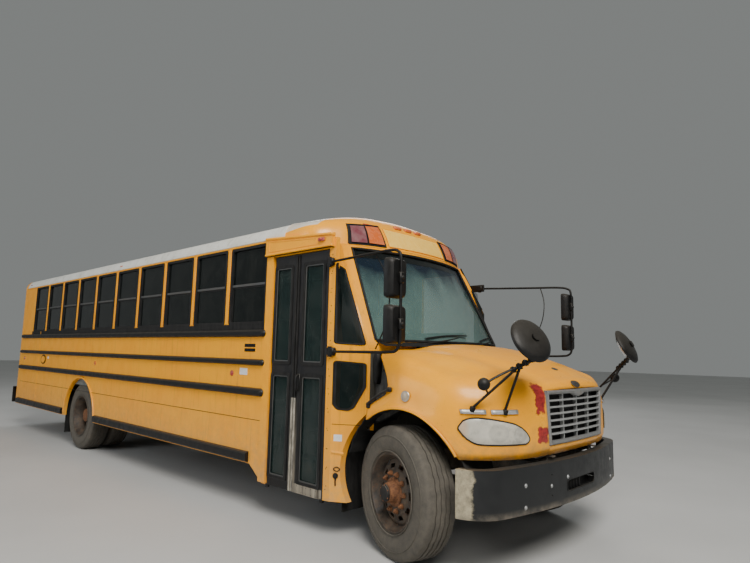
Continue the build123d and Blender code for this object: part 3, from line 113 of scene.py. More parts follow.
# ------------------------------------------------------------------ materials
class Mat:
    """Small builder for a node-based material."""

    def __init__(self, name):
        self.m = bpy.data.materials.new(name)
        self.m.use_nodes = True
        self.nt = self.m.node_tree
        self.nt.nodes.clear()
        self.out = self.nt.nodes.new("ShaderNodeOutputMaterial")
        self.b = self.nt.nodes.new("ShaderNodeBsdfPrincipled")
        self.nt.links.new(self.b.outputs[0], self.out.inputs[0])
        self.tc = self.nt.nodes.new("ShaderNodeTexCoord")

    def link(self, a, b):
        self.nt.links.new(a, b)

    def put(self, sock, v):
        if hasattr(v, "is_linked") or hasattr(v, "links"):
            self.link(v, sock)
        else:
            if sock.type == "RGBA" and len(v) == 3:
                v = (*v, 1)
            sock.default_value = v

    def vec(self, scale=(1, 1, 1), loc=(0, 0, 0), rot=(0, 0, 0)):
        n = self.nt.nodes.new("ShaderNodeMapping")
        n.inputs["Scale"].default_value = scale
        n.inputs["Location"].default_value = loc
        n.inputs["Rotation"].default_value = rot
        self.link(self.tc.outputs["Object"], n.inputs["Vector"])
        return n.outputs[0]

    def noise(self, scale=5.0, detail=4.0, rough=0.55, vec=None, dist=0.0):
        n = self.nt.nodes.new("ShaderNodeTexNoise")
        n.inputs["Scale"].default_value = scale
        n.inputs["Detail"].default_value = detail
        n.inputs["Roughness"].default_value = rough
        n.inputs["Distortion"].default_value = dist
        self.link(vec if vec is not None else self.tc.outputs["Object"], n.inputs["Vector"])
        return n.outputs[0]

    def voronoi(self, scale=5.0, vec=None, feature="F1", rand=1.0):
        n = self.nt.nodes.new("ShaderNodeTexVoronoi")
        n.feature = feature
        n.inputs["Scale"].default_value = scale
        n.inputs["Randomness"].default_value = rand
        self.link(vec if vec is not None else self.tc.outputs["Object"], n.inputs["Vector"])
        return n.outputs[0]

    def wave(self, scale, vec=None, axis="X", dist=0.0, detail=2.0, profile="SIN"):
        n = self.nt.nodes.new("ShaderNodeTexWave")
        n.bands_direction = axis
        n.wave_profile = profile
        n.inputs["Scale"].default_value = scale
        n.inputs["Distortion"].default_value = dist
        n.inputs["Detail"].default_value = detail
        self.link(vec if vec is not None else self.tc.outputs["Object"], n.inputs["Vector"])
        return n.outputs[1]

    def axis(self, which):
        n = self.nt.nodes.new("ShaderNodeSeparateXYZ")
        self.link(self.tc.outputs["Object"], n.inputs[0])
        return n.outputs["XYZ".index(which)]

    def normal(self, which):
        g = self.nt.nodes.new("ShaderNodeNewGeometry")
        n = self.nt.nodes.new("ShaderNodeSeparateXYZ")
        self.link(g.outputs["Normal"], n.inputs[0])
        return n.outputs["XYZ".index(which)]

    def edge(self):
        g = self.nt.nodes.new("ShaderNodeNewGeometry")
        return g.outputs["Pointiness"]

    def ramp(self, fac, stops, interp="LINEAR"):
        n = self.nt.nodes.new("ShaderNodeValToRGB")
        n.color_ramp.interpolation = interp
        e = n.color_ramp.elements
        while len(e) < len(stops):
            e.new(0.5)
        for i, (p, c) in enumerate(stops):
            e[i].position = p
            if not isinstance(c, (tuple, list)):
                c = (c, c, c)
            e[i].color = (*c[:3], 1)
        self.link(fac, n.inputs[0])
        return n.outputs[0]

    def math(self, op, a, b=0.0, clamp=False):
        n = self.nt.nodes.new("ShaderNodeMath")
        n.operation = op
        n.use_clamp = clamp
        self.put(n.inputs[0], a)
        self.put(n.inputs[1], b)
        return n.outputs[0]

    def mix(self, fac, a, b, mode="MIX"):
        n = self.nt.nodes.new("ShaderNodeMix")
        n.data_type = "RGBA"
        n.blend_type = mode
        n.clamp_factor = True
        self.put(n.inputs[0], fac)
        self.put(n.inputs[6], a)
        self.put(n.inputs[7], b)
        return n.outputs[2]

    def band(self, coord, lo, hi, soft=0.01):
        """1 between lo and hi of this coordinate, softened over soft metres."""
        a = self.math("DIVIDE", self.math("SUBTRACT", coord, lo), soft, True)
        b = self.math("DIVIDE", self.math("SUBTRACT", hi, coord), soft, True)
        return self.math("MULTIPLY", a, b, True)

    def bump(self, height, strength=0.3, distance=0.01, normal=None):
        n = self.nt.nodes.new("ShaderNodeBump")
        n.inputs["Strength"].default_value = strength
        n.inputs["Distance"].default_value = distance
        self.link(height, n.inputs["Height"])
        if normal is not None:
            self.link(normal, n.inputs["Normal"])
        return n.outputs[0]

    def set(self, **kw):
        names = {"color": "Base Color", "rough": "Roughness", "metal": "Metallic", "normal": "Normal", "alpha": "Alpha",
                 "spec": "Specular IOR Level", "coat": "Coat Weight", "coat_rough": "Coat Roughness", "trans": "Transmission Weight",
                 "ior": "IOR", "sheen": "Sheen Weight", "emit": "Emission Color", "emit_strength": "Emission Strength"}
        for k, v in kw.items():
            self.put(self.b.inputs[names[k]], v)
        return self.m


def dirt_low(M, z0, z1):
    """Factor that is 1 at height z0 and fades to 0 at z1."""
    return M.math("SUBTRACT", 1.0, M.math("DIVIDE", M.math("SUBTRACT", M.axis("Z"), z0), z1 - z0, True), True)


YEL = (0.95, 0.375, 0.0)
YEL_DARK = (0.80, 0.270, 0.0)
YEL_PALE = (0.97, 0.425, 0.0)
RUST = (0.16, 0.055, 0.018)
DUST = (0.33, 0.27, 0.19)


def paint_yellow(name, streaks=True, zlow=0.35):
    M = Mat(name)
    big = M.noise(0.9, 3, 0.5)
    mid = M.noise(6.0, 5, 0.6)
    col = M.mix(M.ramp(big, [(0.35, 0.0), (0.65, 0.55)]), YEL, YEL_PALE)
    col = M.mix(M.ramp(mid, [(0.45, 0.0), (0.75, 0.35)]), col, YEL_DARK)
    # fine speckle and grime
    fine = M.noise(45.0, 4, 0.7)
    col = M.mix(M.ramp(fine, [(0.60, 0.0), (0.78, 0.25)]), col, (0.30, 0.17, 0.05))
    rough = M.ramp(mid, [(0.3, 0.30), (0.7, 0.46)])
    if streaks:
        # run-down streaks: noise drawn out along Z
        st = M.noise(9.0, 5, 0.65, M.vec((2.2, 2.2, 0.11)))
        col = M.mix(M.ramp(st, [(0.56, 0.0), (0.74, 0.42)]), col, (0.36, 0.16, 0.035))
        # splash and dust towards the ground
        low = dirt_low(M, zlow, zlow + 0.75)
        sp = M.math("MULTIPLY", low, M.ramp(M.noise(14.0, 6, 0.7), [(0.30, 0.15), (0.70, 1.0)]), True)
        col = M.mix(M.math("MULTIPLY", sp, 0.62), col, DUST)
        rough = M.mix(sp, rough, (0.8, 0.8, 0.8))
    # small rust chips
    ch = M.voronoi(26.0, M.vec((1, 1, 0.7)))
    chips = M.math("MULTIPLY", M.ramp(ch, [(0.05, 1.0), (0.085, 0.0)]), M.ramp(M.noise(1.6, 2, 0.5), [(0.56, 0.0), (0.62, 1.0)]), True)
    col = M.mix(chips, col, RUST)
    nb = M.bump(M.noise(2.2, 2, 0.4), 0.06, 0.02)
    nb = M.bump(M.noise(220.0, 2, 0.5), 0.04, 0.002, nb)
    M.set(color=col, rough=rough, normal=nb, coat=0.10, coat_rough=0.15, spec=0.30)
    return M.m


def paint_roof(name):
    M = Mat(name)
    mid = M.noise(3.0, 6, 0.65)
    st = M.noise(7.0, 5, 0.6, M.vec((0.35, 1.6, 1.0)))
    col = M.mix(M.ramp(mid, [(0.35, 0.0), (0.75, 0.75)]), (0.72, 0.71, 0.66), (0.50, 0.49, 0.43))
    col = M.mix(M.ramp(st, [(0.55, 0.0), (0.75, 0.55)]), col, (0.30, 0.28, 0.22))
    col = M.mix(M.ramp(M.noise(60.0, 3, 0.6), [(0.62, 0.0), (0.72, 0.5)]), col, (0.22, 0.20, 0.15))
    M.set(color=col, rough=M.ramp(mid, [(0.3, 0.5), (0.7, 0.75)]), normal=M.bump(M.noise(1.8, 2, 0.4), 0.08, 0.03))
    return M.m


def black_trim(name, base=0.004, dusty=0.22, rough=0.45, scale=1.0):
    M = Mat(name)
    n = M.noise(12.0 * scale, 6, 0.65)
    up = M.math("MULTIPLY", M.math("MAXIMUM", M.normal("Z"), 0.0), dusty, True)
    col = M.mix(M.ramp(n, [(0.4, 0.0), (0.8, dusty)]), (base, base, base * 1.05), (0.032, 0.029, 0.025))
    col = M.mix(up, col, (0.16, 0.14, 0.11))
    M.set(color=col, rough=M.ramp(n, [(0.3, rough - 0.08), (0.7, rough + 0.2)]), normal=M.bump(M.noise(90.0 * scale, 3, 0.6), 0.12, 0.003), spec=0.28)
    return M.m


def chassis_paint(name, tone=(0.025, 0.024, 0.022)):
    M = Mat(name)
    n = M.noise(7.0, 6, 0.7)
    col = M.mix(M.ramp(n, [(0.38, 0.0), (0.72, 1.0)]), tone, (0.17, 0.135, 0.10))
    r = M.noise(24.0, 5, 0.75)
    col = M.mix(M.ramp(r, [(0.60, 0.0), (0.72, 0.85)]), col, (0.13, 0.052, 0.022))
    M.set(color=col, rough=M.ramp(n, [(0.3, 0.6), (0.8, 0.92)]), normal=M.bump(r, 0.35, 0.006))
    return M.m


def glass(name, tint=(0.16, 0.22, 0.185), alpha=0.50, dust=0.12, near=None, base_rough=0.05, spec=0.45, painted_shade=None):
    M = Mat(name)
    n = M.noise(5.0, 6, 0.7)
    s = M.noise(8.0, 5, 0.6, M.vec((2.0, 2.0, 0.25)))
    d = M.math("MULTIPLY", M.ramp(n, [(0.40, 0.0), (0.80, 1.0)]), M.ramp(s, [(0.3, 0.3), (0.7, 1.0)]), True)
    low = M.math("MULTIPLY", d, dust, True)
    col = M.mix(low, tint, (0.42, 0.40, 0.34))
    al = M.math("ADD", M.math("MULTIPLY", low, 1.2), alpha, True)
    if painted_shade is not None:
        # painted shade: the top of the glass is darkened and made more opaque, fading down in slanting patches,
        # standing in for the shaded cabin seen through it
        wav = M.math("MULTIPLY", M.math("SUBTRACT", M.noise(1.7, 3, 0.55, M.vec((1.6, 0.6, 0.7))), 0.5), 0.9)
        up = M.math("DIVIDE", M.math("SUBTRACT", M.math("ADD", M.axis("Z"), wav), 2.02), 0.42, True)
        col = M.mix(up, col, painted_shade)
        al = M.math("ADD", al, M.math("MULTIPLY", up, 0.34), True)
    if near is not None:
        # the driver's own window is clearer than the rest
        drv = M.math("MULTIPLY", M.band(M.math("SUBTRACT", M.axis("Y"), FA), 0.70, 1.72, 0.02), M.math("GREATER_THAN", M.axis("X"), 0.0), True)
        al = M.math("SUBTRACT", al, M.math("MULTIPLY", drv, near), True)
    M.set(color=col, rough=M.math("ADD", M.math("MULTIPLY", d, 0.22), base_rough), alpha=al, spec=spec, ior=1.5)
    return M.m


MAT = {}
MAT["yellow"] = paint_yellow("yellow_paint")
MAT["yellow_clean"] = paint_yellow("yellow_paint_upper", streaks=False)
MAT["roof"] = paint_roof("roof_paint")
MAT["black"] = black_trim("black_trim")
MAT["black_dusty"] = black_trim("black_dusty", 0.014, 0.5, 0.6)
MAT["chassis"] = chassis_paint("chassis_paint")
MAT["cast"] = chassis_paint("cast_dusty", (0.05, 0.045, 0.04))
MAT["glass_dark"] = glass("window_glass", (0.004, 0.006, 0.006), 0.90, 0.04, near=0.62, spec=0.35)
# the windshield glass carries painted shade over its upper part
MAT["glass_clear"] = glass("windshield_glass", (0.165, 0.285, 0.265), 0.27, 0.10, painted_shade=(0.010, 0.020, 0.034))
MAT["glass_door"] = glass("door_glass", (0.010, 0.022, 0.021), 0.72, 0.10, spec=0.35)
MAT["pane_dark"] = glass("quarter_glass", (0.004, 0.009, 0.009), 0.92, 0.05, base_rough=0.45, spec=0.07)


# ------------------------------------------------------------------ mesh helpers
def add_obj(name, me, mats, body, smooth=35.0, replaces=None, bevel=None, subsurf=0, slot=None):
    o = bpy.data.objects.new(name, me)
    bpy.context.scene.collection.objects.link(o)
    if not isinstance(mats, (list, tuple)):
        mats = [mats]
    for k in mats:
        me.materials.append(MAT[k])
    if bevel:
        b = o.modifiers.new("bevel", "BEVEL")
        b.width = bevel
        b.segments = 2
        b.limit_method = "ANGLE"
        b.angle_limit = radians(30)
    if subsurf:
        s = o.modifiers.new("sub", "SUBSURF")
        s.levels = subsurf
        s.render_levels = subsurf
    if smooth is not None:
        me.polygons.foreach_set("use_smooth", [True] * len(me.polygons))
        me.update()
        bm = bmesh.new()
        bm.from_mesh(me)
        for e in bm.edges:
            if len(e.link_faces) == 2 and e.calc_face_angle(0.0) > radians(smooth):
                e.smooth = False
        bm.to_mesh(me)
        bm.free()
    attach(o, body)
    if replaces:
        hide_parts(*([replaces] if isinstance(replaces, str) else replaces))
    return o


class Bag:
    """Collects primitive shapes into one mesh, each with its material index."""

    def __init__(self):
        self.v, self.f, self.mi = [], [], []

    def add(self, verts, faces, mi=0):
        o = len(self.v)
        self.v += [tuple(p) for p in verts]
        self.f += [tuple(i + o for i in f) for f in faces]
        self.mi += [mi] * len(faces)

    def mesh(self, name):
        me = bpy.data.meshes.new(name)
        me.from_pydata(self.v, [], self.f)
        me.polygons.foreach_set("material_index", self.mi)
        me.validate()
        me.update()
        return me

    def obj(self, name, mats, body, **kw):
        me = self.mesh(name)
        bm = bmesh.new()
        bm.from_mesh(me)
        bmesh.ops.remove_doubles(bm, verts=bm.verts, dist=1e-6)
        bmesh.ops.recalc_face_normals(bm, faces=bm.faces)
        bm.to_mesh(me)
        bm.free()
        return add_obj(name, me, mats, body, **kw)

    # -- shapes
    def box(self, lo, hi, mi=0, ch=0.0, rot=None, pivot=None):
        """Box, with chamfered edges if ch."""
        c = [(a + b) / 2 for a, b in zip(lo, hi)]
        h = [(b - a) / 2 for a, b in zip(lo, hi)]
        if ch <= 0:
            V = [(x, y, z) for x in (-h[0], h[0]) for y in (-h[1], h[1]) for z in (-h[2], h[2])]
            F = [(0, 1, 3, 2), (4, 6, 7, 5), (0, 4, 5, 1), (2, 3, 7, 6), (0, 2, 6, 4), (1, 5, 7, 3)]
        else:
            ch = min(ch, *[k * 0.98 for k in h])
            V, idx = [], {}
            for sx in (-1, 1):
                for sy in (-1, 1):
                    for sz in (-1, 1):
                        for k in range(3):
                            p = [sx * h[0], sy * h[1], sz * h[2]]
                            for j in range(3):
                                if j != k:
                                    p[j] -= (sx, sy, sz)[j] * ch
                            idx[(sx, sy, sz, k)] = len(V)
                            V.append(tuple(p))
            F = []
            for k in range(3):
                a, b = [j for j in range(3) if j != k]
                for s in (-1, 1):
                    q = []
                    for ta, tb in ((-1, -1), (1, -1), (1, 1), (-1, 1)):
                        t = [0, 0, 0]
                        t[k], t[a], t[b] = s, ta, tb
                        q.append(idx[(*t, k)])
                    F.append(tuple(q))
            for k in range(3):
                a, b = [j for j in range(3) if j != k]
                for ta in (-1, 1):
                    for tb in (-1, 1):
                        q = []
                        for s, kk in ((-1, a), (1, a), (1, b), (-1, b)):
                            t = [0, 0, 0]
                            t[k], t[a], t[b] = s, ta, tb
                            q.append(idx[(*t, kk)])
                        F.append(tuple(q))
            for sx in (-1, 1):
                for sy in (-1, 1):
                    for sz in (-1, 1):
                        F.append(tuple(idx[(sx, sy, sz, k)] for k in range(3)))
        if rot is not None:
            p0 = Vector(pivot) if pivot else Vector(c)
            V = [tuple(rot @ (Vector(v) + Vector(c) - p0) + p0) for v in V]
        else:
            V = [(v[0] + c[0], v[1] + c[1], v[2] + c[2]) for v in V]
        self.add(V, F, mi)

    def tube(self, pts, r, seg=10, mi=0, cap=True, r2=None):
        """Round tube along points, radius r, tapering to r2."""
        P = [Vector(p) for p in pts]
        n = len(P)
        T = []
        for i in range(n):
            a = P[max(i - 1, 0)]
            b = P[min(i + 1, n - 1)]
            T.append((b - a).normalized())
        up = Vector((0, 0, 1)) if abs(T[0].z) < 0.9 else Vector((1, 0, 0))
        U = (up - T[0] * up.dot(T[0])).normalized()
        V, F = [], []
        for i in range(n):
            U = (U - T[i] * U.dot(T[i])).normalized()
            W = T[i].cross(U)
            rad = r if r2 is None else r + (r2 - r) * i / (n - 1)
            for k in range(seg):
                a = 2 * pi * k / seg
                V.append(tuple(P[i] + U * (cos(a) * rad) + W * (sin(a) * rad)))
        for i in range(n - 1):
            for k in range(seg):
                k2 = (k + 1) % seg
                F.append((i * seg + k, i * seg + k2, (i + 1) * seg + k2, (i + 1) * seg + k))
        if cap:
            F.append(tuple(range(seg - 1, -1, -1)))
            F.append(tuple((n - 1) * seg + k for k in range(seg)))
        self.add(V, F, mi)

    def revolve(self, prof, origin, axis, seg=48, mi=0, closed=False):
        """prof: (distance along axis, radius) points. mi may be a list per profile edge."""
        A = Vector(axis).normalized()
        up = Vector((0, 0, 1)) if abs(A.z) < 0.9 else Vector((1, 0, 0))
        U = (up - A * up.dot(A)).normalized()
        W = A.cross(U)
        O = Vector(origin)
        V, F, M = [], [], []
        n = len(prof)
        for d, r in prof:
            for k in range(seg):
                a = 2 * pi * k / seg
                V.append(tuple(O + A * d + U * (cos(a) * r) + W * (sin(a) * r)))
        last = n if closed else n - 1
        for i in range(last):
            j = (i + 1) % n
            for k in range(seg):
                k2 = (k + 1) % seg
                F.append((i * seg + k, i * seg + k2, j * seg + k2, j * seg + k))
                M.append(mi[i] if isinstance(mi, (list, tuple)) else mi)
        o = len(self.v)
        self.v += V
        self.f += [tuple(i + o for i in f) for f in F]
        self.mi += M

    def disc(self, origin, axis, r, h, seg=24, mi=0, ch=0.0):
        """Short solid cylinder with a chamfered outer end."""
        prof = [(0, 0.0001), (0, r), (h - ch, r), (h, r - ch), (h, 0.0001)] if ch else [(0, 0.0001), (0, r), (h, r), (h, 0.0001)]
        self.revolve(prof, origin, axis, seg, mi)

    def dome(self, origin, axis, r, h, seg=24, rings=6, mi=0):
        prof = [(0, 0.0001), (0, r)] + [(h * sin(pi / 2 * i / rings), max(r * cos(pi / 2 * i / rings), 0.0001)) for i in range(1, rings + 1)]
        self.revolve(prof, origin, axis, seg, mi)

    def prism(self, outline, direction, mi=0, side_mi=None):
        """Outline of 3-D points pushed along direction (both ends capped)."""
        n = len(outline)
        D = Vector(direction)
        V = [tuple(p) for p in outline] + [tuple(Vector(p) + D) for p in outline]
        F = [tuple(range(n)), tuple(range(2 * n - 1, n - 1, -1))]
        self.add(V, F, mi)
        F2 = [(i, (i + 1) % n, n + (i + 1) % n, n + i) for i in range(n)]
        self.add(V, F2, mi if side_mi is None else side_mi)

    def grid(self, rows, mi=0, closed_u=False, flip=False):
        """Surface through rows of points (all rows the same length)."""
        nu, nv = len(rows), len(rows[0])
        V = [tuple(p) for r in rows for p in r]
        F = []
        for i in range(nu - 1):
            for j in range(nv - (0 if closed_u else 1)):
                j2 = (j + 1) % nv
                q = (i * nv + j, i * nv + j2, (i + 1) * nv + j2, (i + 1) * nv + j)
                F.append(q[::-1] if flip else q)
        self.add(V, F, mi)

    def hexnut(self, origin, axis, r, h, mi=0):
        self.revolve([(0, 0.0001), (0, r), (h * 0.75, r), (h, r * 0.8), (h, 0.0001)], origin, axis, 6, mi)


def arc_pts(cx, cy, r, a0, a1, n):
    return [(cx + r * cos(radians(a0 + (a1 - a0) * i / n)), cy + r * sin(radians(a0 + (a1 - a0) * i / n))) for i in range(n + 1)]


def round_poly(pts, r, n=5):
    """Rounded 2-D outline: each corner replaced by an arc of about radius r (r may be a list)."""
    out = []
    m = len(pts)
    for i in range(m):
        p0, p1, p2 = Vector(pts[i - 1]), Vector(pts[i]), Vector(pts[(i + 1) % m])
        rad = r[i] if isinstance(r, (list, tuple)) else r
        a = (p0 - p1)
        b = (p2 - p1)
        la, lb = a.length, b.length
        a.normalize()
        b.normalize()
        ang = a.angle(b)
        t = min(rad / math.tan(ang / 2), la * 0.49, lb * 0.49)
        s, e = p1 + a * t, p1 + b * t
        for k in range(n + 1):
            u = k / n
            q = s * (1 - u) ** 2 + p1 * (2 * u * (1 - u)) + e * u ** 2
            out.append((q.x, q.y))
    return out


def rect(cx, cy, w, h):
    return [(cx - w / 2, cy - h / 2), (cx + w / 2, cy - h / 2), (cx + w / 2, cy + h / 2), (cx - w / 2, cy + h / 2)]


def cr(p0, p1, p2, p3, t):
    """Catmull-Rom value."""
    return 0.5 * ((2 * p1) + (-p0 + p2) * t + (2 * p0 - 5 * p1 + 4 * p2 - p3) * t * t + (-p0 + 3 * p1 - 3 * p2 + p3) * t ** 3)


def smooth_line(pts, per=6):
    """Points on a smooth line through pts."""
    P = [Vector(p) for p in pts]
    out = []
    for i in range(len(P) - 1):
        a, b, c, d = P[max(i - 1, 0)], P[i], P[i + 1], P[min(i + 2, len(P) - 1)]
        for k in range(per):
            out.append(cr(a, b, c, d, k / per))
    out.append(P[-1])
    return out


def lerp_table(x, table):
    """Smooth value at x from (x, value) pairs in rising x."""
    if x <= table[0][0]:
        return table[0][1]
    if x >= table[-1][0]:
        return table[-1][1]
    for i in range(len(table) - 1):
        if table[i][0] <= x <= table[i + 1][0]:
            t = (x - table[i][0]) / (table[i + 1][0] - table[i][0])
            p1, p2 = table[i][1], table[i + 1][1]
            p0 = table[i - 1][1] if i > 0 else p1 - (p2 - p1)
            p3 = table[i + 2][1] if i + 2 < len(table) else p2 + (p2 - p1)
            v = cr(p0, p1, p2, p3, t)
            lo, hi = min(p0, p1, p2, p3), max(p0, p1, p2, p3)
            return min(max(v, lo), hi)
    return table[-1][1]


def ring_frame(bag, outer, inner, to3, depth, mi=0):
    """Flat frame between two 2-D outlines with the same number of points; to3(u, v, d) maps to 3-D."""
    n = len(outer)
    V = [to3(u, v, 0) for u, v in outer] + [to3(u, v, 0) for u, v in inner] + \
        [to3(u, v, depth) for u, v in outer] + [to3(u, v, depth) for u, v in inner]
    F = []
    for i in range(n):
        j = (i + 1) % n
        F += [(i, j, n + j, n + i), (2 * n + i, 3 * n + i, 3 * n + j, 2 * n + j),
              (i, 2 * n + i, 2 * n + j, j), (n + i, n + j, 3 * n + j, 3 * n + i)]
    bag.add(V, F, mi)


def repaint(node, key):
    """Gives a CAD node that stays in view its finish."""
    me = NODES[node].data
    me.materials.clear()
    me.materials.append(MAT[key])
    for p in me.polygons:
        p.material_index = 0


# ------------------------------------------------------------------ hood shape
# belt outline of one half in plan: x (positive half), y behind the axle
BELT = [(0.0, -0.972), (0.13, -0.971), (0.26, -0.967), (0.38, -0.960), (0.49, -0.949), (0.60, -0.928), (0.71, -0.897),
        (0.81, -0.857), (0.90, -0.811), (0.98, -0.757), (1.05, -0.694), (1.105, -0.626), (1.15, -0.550), (1.18, -0.470),
        (1.197, -0.385), (1.204, -0.30), (1.205, -0.20), (1.205, -0.10), (1.205, 0.0), (1.205, 0.10), (1.204, 0.20), (1.202, 0.30)]
# per outline point: lip inset, belt height, horizontal and vertical run of the shoulder are worked out from these tables
CROWN_Z = [(-0.96, 1.345), (-0.90, 1.405), (-0.80, 1.465), (-0.70, 1.512), (-0.55, 1.568), (-0.40, 1.613), (-0.20, 1.656), (0.0, 1.680), (0.15, 1.688), (0.35, 1.688)]
DROP = [(-0.96, 0.150), (-0.80, 0.175), (-0.60, 0.180), (-0.30, 0.150), (0.0, 0.118), (0.35, 0.100)]
SHOULDER = [(0.0, 0.10), (0.49, 0.12), (0.80, 0.20), (1.00, 0.25), (1.15, 0.24), (1.205, 0.21)]     # by x: horizontal run
BELT_Z = [(0.0, 1.285), (0.49, 1.27), (0.65, 1.19), (0.85, 1.13), (1.05, 1.12), (1.205, 1.17)]       # by x
LIP_IN = [(0.0, 0.050), (0.49, 0.045), (0.75, 0.025), (1.0, 0.012), (1.205, 0.004)]
ARCH = (-0.05, 0.600, 0.565)


def hood_top(x, y):
    """Height of the hood's upper surface at x, y (y behind the axle)."""
    a = abs(x)
    z = lerp_table(y, CROWN_Z) - lerp_table(y, DROP) * min(a / 1.0, 1.3) ** 2.4
    xv = 0.50 + 0.26 * max(0.0, min(1.0, (y + 0.95) / 1.2))
    z -= 0.014 * math.exp(-((a - xv) / 0.075) ** 2)
    z += 0.016 * math.exp(-((a - xv - 0.19) / 0.13) ** 2)
    return z


def hood_station(i_f):
    """Outline point and inward direction at a running index along BELT."""
    n = len(BELT)
    i = int(min(max(math.floor(i_f), 0), n - 2))
    t = i_f - i
    p = [BELT[max(i - 1, 0)] if i > 0 else (-BELT[1][0], BELT[1][1]), BELT[i], BELT[i + 1], BELT[min(i + 2, n - 1)]]
    x = cr(p[0][0], p[1][0], p[2][0], p[3][0], t)
    y = cr(p[0][1], p[1][1], p[2][1], p[3][1], t)
    e = 0.02
    j = int(min(max(math.floor(i_f + e), 0), n - 2))
    tj = i_f + e - j
    q = [BELT[max(j - 1, 0)] if j > 0 else (-BELT[1][0], BELT[1][1]), BELT[j], BELT[j + 1], BELT[min(j + 2, n - 1)]]
    dx = cr(q[0][0], q[1][0], q[2][0], q[3][0], tj) - x
    dy = cr(q[0][1], q[1][1], q[2][1], q[3][1], tj) - y
    L = hypot(dx, dy) or 1.0
    nx, ny = -dy / L, dx / L
    if i_f >= n - 1.001:
        nx, ny = -1.0, 0.0
    if i_f <= 0.001:
        nx, ny = 0.0, 1.0
    return x, y, nx, ny


V_SIDE = [0.0, 0.18, 0.36, 0.52, 0.68, 0.84, 1.0]      # lip to belt
N_SHOULDER = 9
N_TOP = 14


def hood_column(i_f):
    """Points of one station from the lip up and over to the spine, positive half."""
    x, y, nx, ny = hood_station(i_f)
    zb = lerp_table(x, BELT_Z)
    run = lerp_table(x, SHOULDER)
    lip = lerp_table(x, LIP_IN)
    zl = 0.842
    d = y - ARCH[0]
    if x > 1.14 and abs(d) < ARCH[2]:
        zc = ARCH[1] + sqrt(ARCH[2] ** 2 - d * d)
        zl = max(zl, zc)
        zb = max(zb, zl + 0.035)
    out = []
    for t in V_SIDE:
        z = zl + (zb - zl) * t
        # the face below the grille falls back to the lip
        ins = lip * max(0.0, 1.0 - (z - 0.842) / 0.085) ** 1.6
        # slight lean back towards the belt
        ins += 0.010 * t * t
        px, py = x + nx * ins, y + ny * ins
        if x < 0.56:
            px *= 1.0 + 0.072 * (z - 1.13) / 0.40 * min(1.0, x / 0.49 + 0.0001)
        out.append((px, py, z))
    bx, by, bz = out[-1]
    ex, ey = bx + nx * run, by + ny * run
    ez = hood_top(ex, ey)
    for k in range(1, N_SHOULDER + 1):
        a = (pi / 2) * k / N_SHOULDER
        h = 1 - cos(a)
        v = sin(a)
        qx, qy = bx + nx * run * h, by + ny * run * h
        z = bz + (ez - bz) * v ** 0.92
        w = (k / N_SHOULDER) ** 3
        out.append((qx, qy, z * (1 - w) + min(hood_top(qx, qy), z + 0.02) * w))
    # the rear edge steps forward above the fender lobe, clear of the pillar's foot
    def notch(p):
        qx, qy, qz = p
        if qy <= -0.10:
            return p
        w_ = max(0.0, min(1.0, (abs(qx) - 0.90) / 0.12))
        lim = lerp_table(qz, [(1.10, 0.300), (1.156, 0.287), (1.215, 0.170), (1.275, 0.085), (1.33, 0.085), (1.42, 0.125), (1.50, 0.190), (1.59, 0.280), (1.64, 0.300)])
        k_ = (lim + 0.10) / 0.40
        return (qx, qy * (1 - w_) + (-0.10 + (qy + 0.10) * k_) * w_, qz)
    out = [notch(p) for p in out]
    # over the top to the spine
    f = i_f / (len(BELT) - 1)
    ys = -0.80 + (0.095 + 0.80) * f ** 1.15
    ex, ey, ez = out[-1]
    for k in range(1, N_TOP + 1):
        t = k / N_TOP
        qx = ex * (1 - t)
        qy = ys + (ey - ys) * (1 - t) ** 2
        out.append((qx, qy, hood_top(qx, qy)))
    return out


def hood_grid():
    """Stations along the belt, closer together round the arch and the nose."""
    idx = []
    n = len(BELT) - 1
    k = 0.0
    while k < n - 1e-6:
        idx.append(k)
        k += 0.25 if k >= 11 else 0.3333333
        if abs(k - round(k)) < 0.02:
            k = float(round(k))
    idx.append(float(n))
    return idx, [hood_column(i) for i in idx]


# ------------------------------------------------------------------ hood
def red_patches(M, col):
    """Two worn red places beside the grille, door side."""
    x, z = M.axis("X"), M.axis("Z")
    n = M.noise(18.0, 4, 0.6)
    wob = M.math("MULTIPLY", M.math("SUBTRACT", n, 0.5), 0.09)
    xx = M.math("ADD", x, wob)
    zz = M.math("ADD", z, wob)
    a = M.math("MULTIPLY", M.band(xx, -0.632, -0.520, 0.01), M.band(zz, 1.16, 1.385, 0.012), True)
    b = M.math("MULTIPLY", M.band(xx, -0.625, -0.495, 0.01), M.band(zz, 0.945, 1.065, 0.012), True)
    f = M.math("ADD", a, b, True)
    red = M.mix(M.ramp(M.noise(40.0, 3, 0.6), [(0.4, 0.0), (0.7, 1.0)]), (0.36, 0.030, 0.026), (0.15, 0.012, 0.010))
    return M.mix(f, col, red)


